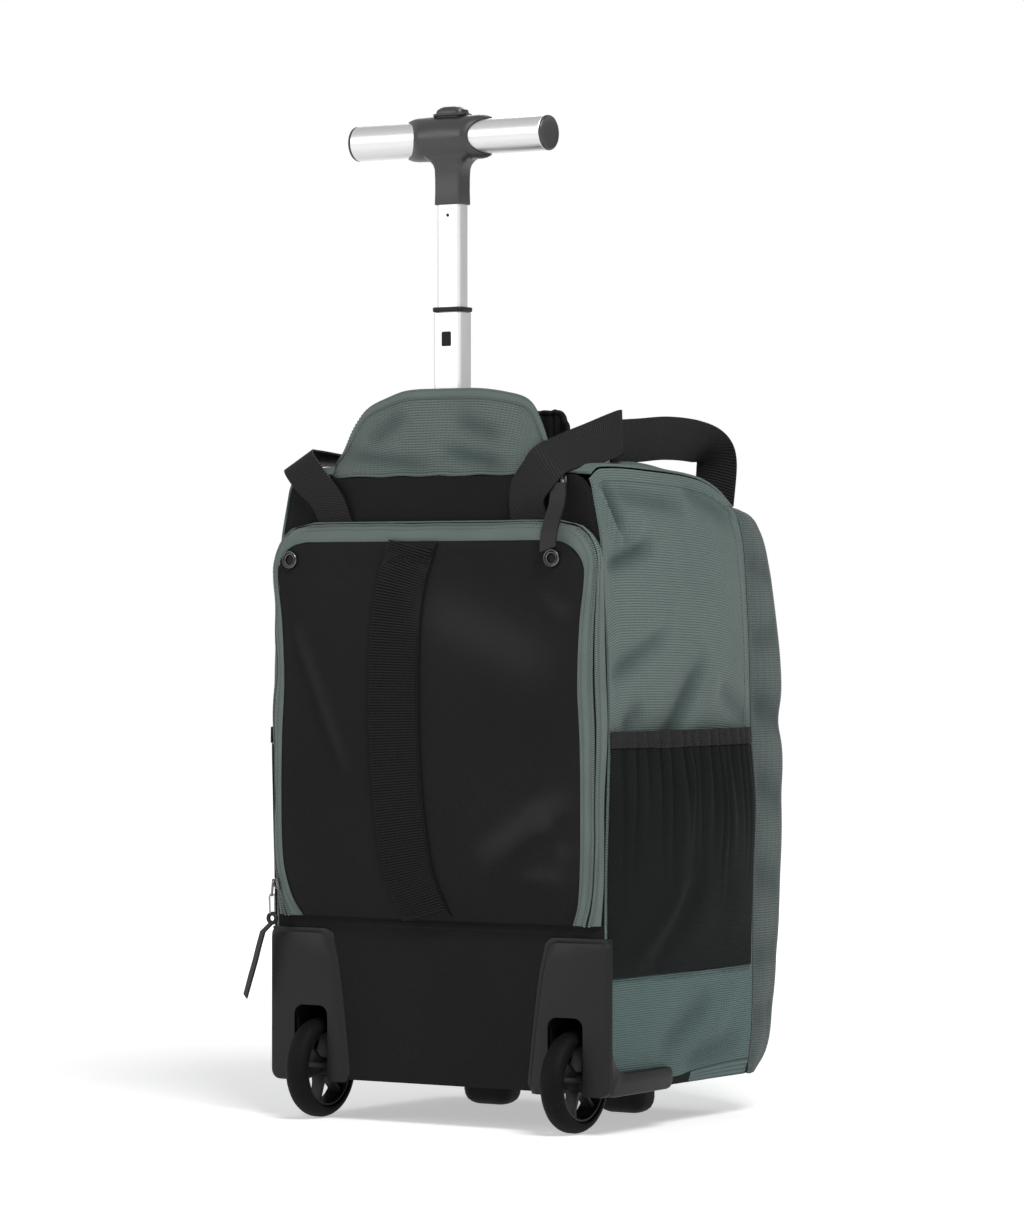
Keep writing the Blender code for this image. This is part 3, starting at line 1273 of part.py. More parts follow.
def build_pullers(parent):
    """Zip sliders with their wire loops and the two flexible pullers."""
    v = (LEFT_SLIDER_Z - BASE_SEAM_Z) / (COVER_TOP_Z - BASE_SEAM_Z)
    edge = cover_point(-1.0, v)
    rim = (edge, Vector((-1.0, 0.0, 0.0)))
    step = gusset_point(rim, 0.6) - gusset_point(rim, 0.4)
    facing = step.cross(Vector((0.0, 0.0, -1.0))).normalized()
    if facing.x > 0.0:
        facing.negate()
    seat = gusset_point(rim, 0.5, ZIP_THICKNESS + CURVED_GAP)
    up = Vector((0.0, 0.0, 1.0))
    slider("zip_slider_left", seat, facing, up, parent)
    hang = Vector((-0.02, -0.10, -1.0)).normalized()
    proud = SLIDER_HEIGHT + RING_WIRE + SEAM_GAP
    top = seat + facing * proud + up * RING_LENGTH * 0.35
    wire_loop("zip_ring_left", RING_WIDTH, RING_LENGTH, top, facing, hang, parent)
    lower = top + hang * (RING_LENGTH + 2 * RING_WIRE + SEAM_GAP)
    swing = Vector((0.06, -0.06, -1.0)).normalized()
    wire_loop("zip_link_left", RING_WIDTH * 0.6, LINK_LENGTH, lower, facing, swing, parent)
    right_seat = Vector((RIGHT_SLIDER_X, BACK_Y - SEAM_GAP, RIGHT_SLIDER_Z))
    outward = Vector((0.0, -1.0, 0.0))
    slider("zip_slider_right", right_seat, outward, up, parent)
    fall = Vector((0.0, -0.20, -1.0)).normalized()
    start = right_seat + outward * proud + up * SLIDER_LENGTH * 0.1
    wire_loop("zip_ring_right", RING_WIDTH, RING_LENGTH, start, outward, fall, parent)
    left_start = lower + swing * LINK_LENGTH + Vector(PULLER_LEFT_SEAT)
    right_start = start + fall * RING_LENGTH + Vector(PULLER_RIGHT_SEAT)
    for word, table, width, begin in (("left", PULLER_LEFT, PULLER_WIDTH, left_start),
                                      ("right", PULLER_RIGHT, TAB_WIDTH, right_start)):
        sheet("puller_" + word, tongue(table, width, begin), 1, 8, PULLER_THICKNESS, RUBBER, parent, offset=0.0)


def centre_on_floor(root):
    """Shift the whole bag so that the middle of its bounding box on the floor is the origin."""
    bpy.context.view_layer.update()
    graph = bpy.context.evaluated_depsgraph_get()
    corners = []
    for made in PARTS.objects:
        if made.type != "MESH":
            continue
        shown = made.evaluated_get(graph)
        corners += [shown.matrix_world @ vertex.co for vertex in shown.data.vertices]
    low = [min(corner[k] for corner in corners) for k in range(3)]
    high = [max(corner[k] for corner in corners) for k in range(3)]
    root.location = (-(low[0] + high[0]) / 2, -(low[1] + high[1]) / 2, -low[2])
    bpy.context.view_layer.update()


def main():
    """Build the whole backpack."""
    root = add_empty("backpack", (0.0, 0.0, 0.0))
    build_sides(root)
    build_top(root)
    build_front(root)
    build_bottom(root)
    build_back(root)
    build_cover(root)
    build_hood(root)
    build_handle(root)
    build_housings(root)
    build_wheels(root)
    build_feet(root)
    build_pockets(root)
    build_straps(root)
    build_pullers(root)
    centre_on_floor(root)


main()
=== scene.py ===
"""Looks of a wheeled backpack with a telescopic T handle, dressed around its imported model.

Lengths are in metres. Shapes are worked out in the wheel frame, whose origin is on the floor midway
between the wheels, with the back of the bag towards -Y, and are then shifted into the row frame.
"""

import logging
import math
from dataclasses import dataclass, field
from enum import Enum
from typing import Callable, Iterable, Optional, Sequence, TypeVar, Union

import bmesh
import bpy
from mathutils import Matrix, Vector, noise


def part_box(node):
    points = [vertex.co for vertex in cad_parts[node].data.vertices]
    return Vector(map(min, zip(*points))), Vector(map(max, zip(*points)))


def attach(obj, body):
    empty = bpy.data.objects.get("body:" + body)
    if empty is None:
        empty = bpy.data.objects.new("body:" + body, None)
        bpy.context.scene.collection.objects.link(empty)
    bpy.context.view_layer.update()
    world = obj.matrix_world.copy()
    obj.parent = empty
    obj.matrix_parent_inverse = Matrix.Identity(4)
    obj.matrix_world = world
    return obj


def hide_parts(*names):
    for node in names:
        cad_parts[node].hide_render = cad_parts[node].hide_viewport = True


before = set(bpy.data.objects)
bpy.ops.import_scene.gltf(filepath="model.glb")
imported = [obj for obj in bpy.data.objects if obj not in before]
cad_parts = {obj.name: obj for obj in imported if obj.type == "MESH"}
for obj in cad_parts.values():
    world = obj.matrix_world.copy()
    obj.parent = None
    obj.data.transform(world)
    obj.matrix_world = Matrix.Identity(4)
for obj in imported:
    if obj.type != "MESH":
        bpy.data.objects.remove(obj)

LOG = logging.getLogger("backpack")
Mixed = TypeVar("Mixed", float, Vector)
Operand = Union["Num", float]
Colour = Union[bpy.types.NodeSocket, Sequence[float]]
PointOf = Callable[[float, float], Vector]
Table = Sequence[Sequence[float]]
KeepFace = Callable[[Vector], bool]
FoldAt = Callable[[Vector], float]
CutSize = tuple[float, float]
CLOTH_MAP = "cloth"
# Fold depth attribute: the mask for painted shade in creases and painted highlight on ridges.
FOLD = "fold"
FACING = "facing"
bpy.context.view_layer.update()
X_AXIS = Vector((1, 0, 0))
THREAD_WIDTH, THREAD_HEIGHT = 0.0006, 0.0005
SEAM_LIFT = 0.0002


class Body(Enum):
    """Bodies that pieces ride on."""

    BAG = "bag"
    LOWER = "lower_stage"
    UPPER = "upper_stage"
    BUTTON = "push_button"
    WHEEL_LEFT = "wheel_left"
    WHEEL_RIGHT = "wheel_right"


class Grain(Enum):
    """Shapes that rows of small things are made of."""

    THREAD = "thread"
    BAR = "bar"


SIDES = (("left", -1), ("right", 1))


def read_table(table: Table, position: float, column: int) -> float:
    """Value of a column at a position of a table's first column, by smooth interpolation.

    Args:
        table: Rows in rising order of their first number.
        position: Where to read.
        column: Which number of a row to read.

    Returns:
        The interpolated value.
    """
    if position <= table[0][0]:
        return table[0][column]
    if position >= table[-1][0]:
        return table[-1][column]
    index = 0
    while table[index + 1][0] < position:
        index += 1

    def slope(row: int) -> float:
        """Slope of the column at a row.

        Args:
            row: Index of the row.

        Returns:
            The slope.
        """
        low = table[max(row - 1, 0)]
        high = table[min(row + 1, len(table) - 1)]
        return (high[column] - low[column]) / (high[0] - low[0])

    start, end = table[index], table[index + 1]
    span = end[0] - start[0]
    t = (position - start[0]) / span
    w = (2 * t ** 3 - 3 * t ** 2 + 1, t ** 3 - 2 * t ** 2 + t, -2 * t ** 3 + 3 * t ** 2, t ** 3 - t ** 2)
    return (w[0] * start[column] + w[1] * span * slope(index)
            + w[2] * end[column] + w[3] * span * slope(index + 1))


def mix(start: Mixed, end: Mixed, share: float) -> Mixed:
    """Linear mix of two numbers or vectors."""
    return start + (end - start) * share


def clamp(value: float, low: float = 0.0, high: float = 1.0) -> float:
    """A value held between two limits."""
    return max(low, min(high, value))


def smooth(value: float, low: float, high: float) -> float:
    """Smooth step from 0 at the low value to 1 at the high one."""
    t = clamp((value - low) / (high - low))
    return t * t * (3 - 2 * t)


def ripple(place: Vector, scale: float, seed: float = 0.0) -> float:
    """Soft noise between about -1 and 1 at a place, with waves of a given length."""
    return noise.noise(place / scale + Vector((seed, seed * 1.7, -seed)))


@dataclass(frozen=True)
class Crease:
    """A soft valley or ridge across a panel, in the panel's own two coordinates."""

    start: tuple[float, float]
    end: tuple[float, float]
    width: float
    depth: float

    def at(self, a: float, b: float) -> float:
        """Height that the crease adds at a place of the panel.

        Args:
            a: First coordinate on the panel.
            b: Second coordinate on the panel.

        Returns:
            The height, below zero in a valley.
        """
        ax, ay = self.start
        run = Vector((self.end[0] - ax, self.end[1] - ay))
        reach = Vector((a - ax, b - ay))
        share = reach.dot(run) / run.length_squared
        off = (reach - run * clamp(share)).length
        fade = smooth(share, -0.25, 0.25) * (1 - smooth(share, 0.70, 1.25))
        return self.depth * math.exp(-(off / self.width) ** 2) * fade


def dents_at(creases: Iterable[Crease], a: float, b: float) -> float:
    """Height that several creases add together at a place of a panel."""
    return sum(crease.at(a, b) for crease in creases)


# Shader nodes


class Num:
    """A number socket of a shader tree, with Python's own operators."""

    def __init__(self, nodes: "Nodes", socket: bpy.types.NodeSocket) -> None:
        """Wrap a socket of a node tree."""
        self.nodes = nodes
        self.socket = socket

    def _do(self, operation: str, *values: Operand) -> "Num":
        """A Math node on this socket and other values."""
        sent = {k: v for k, v in enumerate((self, *values))}
        return Num(self.nodes, self.nodes.add("ShaderNodeMath", {"operation": operation}, sent).outputs[0])

    def __add__(self, other: Operand) -> "Num":
        """Sum."""
        return self._do("ADD", other)

    __radd__ = __add__

    def __sub__(self, other: Operand) -> "Num":
        """Difference."""
        return self._do("SUBTRACT", other)

    def __rsub__(self, other: float) -> "Num":
        """A number less this one."""
        return (self * -1.0) + other

    def __mul__(self, other: Operand) -> "Num":
        """Product."""
        return self._do("MULTIPLY", other)

    __rmul__ = __mul__

    def __truediv__(self, other: Operand) -> "Num":
        """Quotient."""
        return self._do("DIVIDE", other)

    def __pow__(self, other: Operand) -> "Num":
        """Power."""
        return self._do("POWER", other)

    def sine(self) -> "Num":
        """Sine."""
        return self._do("SINE")

    def wave(self, pitch: float, phase: float = 0.0) -> "Num":
        """A wave between 0 and 1 with a given pitch along this number."""
        return (self * (2 * math.pi / pitch) + phase).sine() * 0.5 + 0.5


class Nodes:
    """Builds the node tree of a material, of the world or of a node group."""

    def __init__(self, owner: bpy.types.ID) -> None:
        """Empty the owner's tree and take it over.

        Args:
            owner: Material, world or node group.
        """
        if isinstance(owner, bpy.types.NodeTree):
            self.tree = owner
        else:
            owner.use_nodes = True
            self.tree = owner.node_tree
        self.tree.nodes.clear()

    def add(self, kind: str, settings: Optional[dict] = None,
            values: Optional[dict] = None) -> bpy.types.Node:
        """Add one node.

        Args:
            kind: The node's type.
            settings: Properties set first; a list under "stops" fills a colour ramp.
            values: Values, sockets or numbers for its inputs, by name or index.

        Returns:
            The new node.
        """
        node = self.tree.nodes.new(kind)
        for name, value in (settings or {}).items():
            if name == "stops":
                ramp = node.color_ramp
                while len(ramp.elements) < len(value):
                    ramp.elements.new(1.0)
                for element, (place, colour) in zip(ramp.elements, value):
                    element.position = place
                    element.color = colour
            else:
                setattr(node, name, value)
        for name, value in (values or {}).items():
            target = node.inputs[name]
            if isinstance(value, Num):
                self.tree.links.new(value.socket, target)
            elif isinstance(value, bpy.types.NodeSocket):
                self.tree.links.new(value, target)
            else:
                target.default_value = value
        return node

    def noise(self, scale: float, detail: float = 2.0, stretch: tuple = (1.0, 1.0, 1.0)) -> Num:
        """Noise on Object coordinates, from 0 to 1.

        Args:
            scale: Scale of the noise.
            detail: Finer layers in it.
            stretch: Scale of the coordinates along X, Y and Z.

        Returns:
            The noise.
        """
        place = self.add("ShaderNodeTexCoord").outputs["Object"]
        mapped = self.add("ShaderNodeMapping", None, {"Vector": place, "Scale": stretch}).outputs[0]
        made = self.add("ShaderNodeTexNoise", None, {"Vector": mapped, "Scale": scale, "Detail": detail})
        return Num(self, made.outputs["Fac"])

    def cloth_place(self) -> tuple[Num, Num]:
        """Place on the cloth in metres: across and along.

        Returns:
            Both numbers.
        """
        split = self.add("ShaderNodeSeparateXYZ", None,
                         {0: self.add("ShaderNodeUVMap", {"uv_map": CLOTH_MAP}).outputs[0]})
        return Num(self, split.outputs[0]), Num(self, split.outputs[1])

    def fold_depth(self) -> Num:
        """How deep in a fold, or how high on a ridge, the cloth lies, from 0 to 1; the mask of painted shade
        and painted highlight.
        """
        return Num(self, self.add("ShaderNodeAttribute", {"attribute_name": FOLD}).outputs["Fac"])

    def blend(self, share: Operand, low: Colour, high: Colour) -> bpy.types.NodeSocket:
        """Mix of two colours, or of a colour socket and a colour.

        Args:
            share: Share of the second colour.
            low: First colour.
            high: Second colour.

        Returns:
            The mixed colour.
        """
        node = self.add("ShaderNodeMix", {"data_type": "RGBA"}, {0: share})
        for index, colour in ((6, low), (7, high)):
            if isinstance(colour, bpy.types.NodeSocket):
                self.tree.links.new(colour, node.inputs[index])
            else:
                node.inputs[index].default_value = (*colour, 1.0)
        return node.outputs[2]

    def close(self, colour: Colour, roughness: Operand, height: Optional[Num], distance: float,
              settings: dict) -> None:
        """Finish the tree with a Principled shader.

        Args:
            colour: Colour socket or plain colour.
            roughness: Number or socket.
            height: Relief from 0 to 1, or None.
            distance: Depth of the relief in metres.
            settings: Plain values of other sockets.
        """
        values = {"Base Color": colour if isinstance(colour, bpy.types.NodeSocket) else (*colour, 1.0),
                  "Roughness": roughness, **settings}
        if height is not None:
            bump = self.add("ShaderNodeBump", None, {"Height": height, "Distance": distance, "Strength": 1.0})
            values["Normal"] = bump.outputs[0]
        shader = self.add("ShaderNodeBsdfPrincipled", None, values)
        self.add("ShaderNodeOutputMaterial", None, {"Surface": shader.outputs[0]})


# Finishes


@dataclass(frozen=True)
class Finish:
    """One finish with its name and main colour."""

    name: str
    slot: str
    colour: tuple[float, float, float]
    roughness: float = 0.7

    def shade(self, factor: float) -> tuple[float, float, float]:
        """The main colour made darker or lighter."""
        return tuple(c * factor for c in self.colour)

    def tint(self, factors: Sequence[float]) -> tuple[float, ...]:
        """The main colour with its red, green and blue each made darker or lighter."""
        return tuple(c * f for c, f in zip(self.colour, factors))

    def build(self) -> bpy.types.Material:
        """Make the material.

        Returns:
            The material.
        """
        material = bpy.data.materials.new(self.name)
        self.fill(Nodes(material))
        return material

    def fill(self, nodes: Nodes) -> None:
        """Fill the node tree with a plain finish that varies a little.

        Args:
            nodes: Builder of the material's tree.
        """
        cloud = nodes.noise(60.0)
        nodes.close(nodes.blend(cloud, self.shade(0.85), self.shade(1.15)), self.roughness, None, 0.0,
                    {"Specular IOR Level": 0.2})


@dataclass(frozen=True)
class Ripstop(Finish):
    """Ribbed ripstop cloth: fine ribs one way and fainter ones across them."""

    rib: float = 0.0020
    cross: float = 0.0033
    upright: bool = False

    def fill(self, nodes: Nodes) -> None:
        """Ribs, crossing threads, thread noise, soft random tone differences and painted shade in the
        creases.

        Args:
            nodes: Builder of the material's tree.
        """
        across, along = nodes.cloth_place()
        if self.upright:
            across, along = along, across
        ribs = along.wave(self.rib) ** 2.2
        threads = across.wave(self.cross) ** 3.0
        grain = nodes.noise(1500.0, 1.0)
        cloud = nodes.noise(9.0, 3.0)
        cool = nodes.noise(5.0, 2.0)
        tone = ribs * 0.50 + threads * 0.14 + grain * 0.42
        base = nodes.blend(tone, self.shade(1.62), self.shade(0.24))
        toned = nodes.blend((cloud - 0.35) * 0.9, base, self.shade(0.72))
        tinted = nodes.blend((cool - 0.52) * 1.2, toned, self.tint((0.62, 0.83, 0.84)))
        # Painted shade: the colour darkens towards a deep blue-green where the fold attribute marks a crease.
        fold_painted_shade = nodes.blend(nodes.fold_depth() * 0.84, tinted, self.tint((0.22, 0.33, 0.36)))
        relief = (1.0 - ribs) * 0.8 + grain * 0.3 + threads * 0.15
        nodes.close(fold_painted_shade, self.roughness, relief, 0.00030,
                    {"Specular IOR Level": 0.3, "Sheen Weight": 0.08})


@dataclass(frozen=True)
class Twill(Finish):
    """Twill tape with fine slanting lines."""

    pitch: float = 0.0015

    def fill(self, nodes: Nodes) -> None:
        """Slanting lines, thread noise and soft shade differences.

        Args:
            nodes: Builder of the material's tree.
        """
        across, along = nodes.cloth_place()
        lines = (across + along).wave(self.pitch)
        grain = nodes.noise(1400.0, 1.0)
        cloud = nodes.noise(22.0, 3.0)
        base = nodes.blend(lines * 0.35 + grain * 0.55, self.shade(1.28), self.shade(0.60))
        toned = nodes.blend((cloud - 0.38) * 1.1, base, self.shade(0.62))
        nodes.close(toned, self.roughness, lines * 0.5 + grain * 0.6, 0.00022,
                    {"Specular IOR Level": 0.25, "Sheen Weight": 0.15})


@dataclass(frozen=True)
class Knit(Finish):
    """Close black knit with a dull, slightly mottled face."""

    def fill(self, nodes: Nodes) -> None:
        """Fine loops, slow random changes of tone and a painted highlight on the ridges.

        Args:
            nodes: Builder of the material's tree.
        """
        across, along = nodes.cloth_place()
        loops = (across.wave(0.0013) + along.wave(0.0011)) * 0.5
        grain = nodes.noise(900.0, 2.0)
        cloud = nodes.noise(7.0, 3.0)
        base = nodes.blend(loops * 0.3 + grain * 0.7, self.shade(0.34), self.shade(1.70))
        toned = nodes.blend((cloud - 0.30) * 1.2, base, self.shade(0.55))
        # Painted highlight: the knit is lightened where the fold attribute marks a ridge.
        ridge_painted_highlight = nodes.blend(nodes.fold_depth() * 0.7, toned, self.shade(2.3))
        nodes.close(ridge_painted_highlight, self.roughness, loops * 0.4 + grain * 0.8, 0.00022,
                    {"Specular IOR Level": 0.14})


@dataclass(frozen=True)
class Webbing(Finish):
    """Woven webbing with ribs across its length."""

    rib: float = 0.0022
    contrast: float = 1.0

    def fill(self, nodes: Nodes) -> None:
        """Cross ribs with a small slant and lengthwise threads.

        Args:
            nodes: Builder of the material's tree.
        """
        across, along = nodes.cloth_place()
        ribs = (along + across * 0.35).wave(self.rib)
        threads = across.wave(0.0011)
        grain = nodes.noise(1300.0, 1.0)
        tone = ribs ** 1.6 * 0.75 + threads * 0.10 + grain * 0.15
        colour = nodes.blend(tone, self.shade(max(0.10, 1 - 0.62 * self.contrast)),
                             self.shade(1 + self.contrast))
        nodes.close(colour, self.roughness, ribs * 0.9 + grain * 0.15, 0.00040, {"Specular IOR Level": 0.22})


@dataclass(frozen=True)
class OpenMesh(Finish):
    """Stretch mesh: rows of small dark holes."""

    pitch: float = 0.0021

    def fill(self, nodes: Nodes) -> None:
        """Rows of holes, slow random changes of tone, and painted shade in the valleys where the cloth
        bunches.

        Args:
            nodes: Builder of the material's tree.
        """
        across, along = nodes.cloth_place()
        rows = along.wave(self.pitch)
        holes = rows * across.wave(self.pitch * 0.9)
        cloud = nodes.noise(14.0, 2.0)
        tone = holes ** 1.3
        base = nodes.blend(tone, self.shade(1.55), self.shade(0.40))
        toned = nodes.blend((cloud - 0.35) * 1.1, base, (0.003, 0.005, 0.005))
        # Painted shade: the mesh darkens in the valleys of its gathers, as the fold attribute marks them.
        fold_painted_shade = nodes.blend(nodes.fold_depth() * 0.75, toned, (0.0014, 0.0018, 0.0018))
        nodes.close(fold_painted_shade, self.roughness, 1.0 - tone, 0.0003, {"Specular IOR Level": 0.12})


@dataclass(frozen=True)
class Moulded(Finish):
    """Moulded plastic or rubber with a fine grain."""

    grain: float = 1700.0
    depth: float = 0.00005
    dust: float = 0.0
    gloss: float = 0.5

    def fill(self, nodes: Nodes) -> None:
        """Fine grain, slight rub marks, and dust where there is any.

        Args:
            nodes: Builder of the material's tree.
        """
        cloud = nodes.noise(25.0, 3.0)
        grain = nodes.noise(self.grain, 2.0)
        specks = nodes.noise(420.0, 3.0)
        base = nodes.blend(cloud, self.shade(0.84), self.shade(1.18))
        dusty = nodes.blend((specks - 0.60) * self.dust, base, (0.30, 0.30, 0.29))
        rough = cloud * 0.14 + grain * 0.10 + (self.roughness - 0.12)
        nodes.close(dusty, rough, grain, self.depth, {"Specular IOR Level": self.gloss})


@dataclass(frozen=True)
class Brushed(Finish):
    """Anodised metal with a faint lengthwise brushing."""

    stretch: tuple[float, float, float] = (60.0, 60.0, 1.0)
    lines: float = 22.0

    def fill(self, nodes: Nodes) -> None:
        """Lengthwise lines that change the gloss a little.

        Args:
            nodes: Builder of the material's tree.
        """
        lines = nodes.noise(self.lines, 3.0, self.stretch)
        cloud = nodes.noise(14.0, 2.0)
        colour = nodes.blend(lines * 0.6 + cloud * 0.4, self.shade(0.94), self.shade(1.05))
        nodes.close(colour, lines * 0.12 + (self.roughness - 0.06), lines, 0.00001, {"Metallic": 1.0})


@dataclass(frozen=True)
class Palette:
    """All finishes of the backpack."""

    ripstop: Finish = Ripstop("ripstop_side", "green_ripstop", (0.090, 0.121, 0.112), 0.72)
    ripstop_front: Finish = Ripstop("ripstop_front", "green_ripstop", (0.067, 0.088, 0.083), 0.74,
                                    upright=True)
    ripstop_hood: Finish = Ripstop("ripstop_hood", "green_ripstop", (0.084, 0.109, 0.100), 0.72)
    ripstop_low: Finish = Ripstop("ripstop_low", "green_ripstop", (0.062, 0.104, 0.099), 0.72, rib=0.0018)
    twill: Finish = Twill("twill_tape", "green_twill", (0.104, 0.134, 0.124), 0.76)
    knit: Finish = Knit("knit_cloth", "black_knit", (0.0108, 0.0108, 0.0110), 0.92)
    webbing: Finish = Webbing("ribbed_webbing", "black_webbing", (0.0058, 0.0057, 0.0057), 0.66, contrast=1.3)
    ladder: Finish = Webbing("ladder_webbing", "black_webbing", (0.0024, 0.0024, 0.0024), 0.85, contrast=0.9)
    tape: Finish = Webbing("hem_tape", "black_webbing", (0.014, 0.014, 0.014), 0.8, rib=0.0016, contrast=0.5)
    mesh: Finish = OpenMesh("stretch_mesh", "black_mesh", (0.0056, 0.0062, 0.0064), 0.85)
    plastic: Finish = Moulded("grained_plastic", "black_plastic", (0.0075, 0.0075, 0.0077), 0.44, gloss=0.24)
    grip: Finish = Moulded("grip_plastic", "black_plastic", (0.0205, 0.0205, 0.0212), 0.38, gloss=0.56)
    rubber: Finish = Moulded("tyre_rubber", "black_rubber", (0.0022, 0.0022, 0.0022), 0.66, dust=0.22,
                             gloss=0.12)
    tab: Finish = Moulded("tab_rubber", "black_rubber", (0.0085, 0.0085, 0.0088), 0.50, gloss=0.26)
    dark: Finish = Moulded("dark_plastic", "black_plastic", (0.006, 0.006, 0.006), 0.6, gloss=0.2)
    pole: Finish = Brushed("pole_metal", "satin_aluminium", (0.81, 0.81, 0.805), 0.36)
    bar: Finish = Brushed("bar_metal", "satin_aluminium", (0.66, 0.66, 0.66), 0.36, stretch=(1.0, 60.0, 60.0))
    steel: Finish = Brushed("bright_steel", "dark_steel", (0.42, 0.42, 0.43), 0.20, stretch=(1.0, 1.0, 1.0))
    dim_steel: Finish = Brushed("dim_steel", "dark_steel", (0.16, 0.16, 0.165), 0.34, stretch=(1.0, 1.0, 1.0))
    eyelet: Finish = Brushed("eyelet_metal", "dark_steel", (0.12, 0.12, 0.125), 0.14, stretch=(1.0, 1.0, 1.0))
    web_rib: Finish = Finish("web_rib", "black_webbing", (0.0082, 0.0082, 0.0082), 0.75)
    zip_tooth: Finish = Finish("zip_tooth", "green_twill", (0.150, 0.190, 0.178), 0.6)
    green_thread: Finish = Finish("green_thread", "green_twill", (0.070, 0.092, 0.086), 0.8)
    black_thread: Finish = Finish("black_thread", "black_webbing", (0.020, 0.020, 0.020), 0.8)


PALETTE = Palette()


# Meshes


class RowTree:
    """Geometry Nodes tree that sets small shapes in a row along a line."""

    def __init__(self, grain: Grain) -> None:
        """Build the tree for one shape of grain.

        Args:
            grain: Shape of each small thing.
        """
        self.tree = bpy.data.node_groups.new(f"row_of_{grain.value}", "GeometryNodeTree")
        face = self.tree.interface
        face.new_socket("Geometry", in_out="INPUT", socket_type="NodeSocketGeometry")
        self.inputs = {}
        for name in ("Spacing", "Length", "Width", "Height"):
            self.inputs[name] = face.new_socket(name, in_out="INPUT",
                                                socket_type="NodeSocketFloat").identifier
        self.inputs["Material"] = face.new_socket("Material", in_out="INPUT",
                                                  socket_type="NodeSocketMaterial").identifier
        face.new_socket("Geometry", in_out="OUTPUT", socket_type="NodeSocketGeometry")
        self.fill(Nodes(self.tree), grain)

    def fill(self, nodes: Nodes, grain: Grain) -> None:
        """Set a shape on even points of the line, turned to the surface's facing.

        Args:
            nodes: Builder of the tree.
            grain: Shape of each small thing.
        """
        given = nodes.add("NodeGroupInput").outputs
        line = nodes.add("GeometryNodeMeshToCurve", None, {0: given["Geometry"]})
        even = nodes.add("GeometryNodeResampleCurve", {"mode": "LENGTH"},
                         {"Curve": line.outputs[0], "Length": given["Spacing"]})
        tangent = nodes.add("GeometryNodeInputTangent")
        facing = nodes.add("GeometryNodeInputNamedAttribute", {"data_type": "FLOAT_VECTOR"}, {"Name": FACING})
        turn = nodes.add("FunctionNodeAxesToRotation", {"primary_axis": "X", "secondary_axis": "Z"},
                         {0: tangent.outputs[0], 1: facing.outputs[0]})
        size = nodes.add("ShaderNodeCombineXYZ", None,
                         {0: given["Length"], 1: given["Width"], 2: given["Height"]})
        if grain is Grain.THREAD:
            shape = nodes.add("GeometryNodeMeshUVSphere", None, {"Segments": 6, "Rings": 4, "Radius": 0.5})
        else:
            shape = nodes.add("GeometryNodeMeshCube")
        rows = nodes.add("GeometryNodeInstanceOnPoints", None,
                         {"Points": even.outputs[0], "Instance": shape.outputs[0],
                          "Rotation": turn.outputs[0],
                          "Scale": size.outputs[0]})
        real = nodes.add("GeometryNodeRealizeInstances", None, {0: rows.outputs[0]})
        soft = nodes.add("GeometryNodeSetShadeSmooth", None,
                         {0: real.outputs[0], "Shade Smooth": grain is Grain.THREAD})
        dressed = nodes.add("GeometryNodeSetMaterial", None,
                            {0: soft.outputs[0], "Material": given["Material"]})
        nodes.add("NodeGroupOutput", None, {0: dressed.outputs[0]})


@dataclass
class Line:
    """A line on a surface, with the direction that the surface faces at each point."""

    points: list[Vector]
    facings: list[Vector]


def line_on(point: PointOf, places: Iterable[tuple[float, float]], lift: float) -> Line:
    """Run a line over a surface.

    Args:
        point: The surface.
        places: Shares (u, v) that the line goes through.
        lift: How far the line stands off the surface.

    Returns:
        The line with its facings.
    """
    points, facings = [], []
    for u, v in places:
        step = 0.004
        across = point(min(u + step, 1.0), v) - point(max(u - step, 0.0), v)
        up = point(u, min(v + step, 1.0)) - point(u, max(v - step, 0.0))
        facing = across.cross(up)
        facing = facing.normalized() if facing.length > 1e-12 else Vector((0, -1, 0))
        points.append(point(u, v) + facing * lift)
        facings.append(facing)
    return Line(points, facings)


def span(low: float, high: float, count: int) -> list[float]:
    """Evenly spaced numbers from low to high."""
    return [mix(low, high, k / (count - 1)) for k in range(count)]


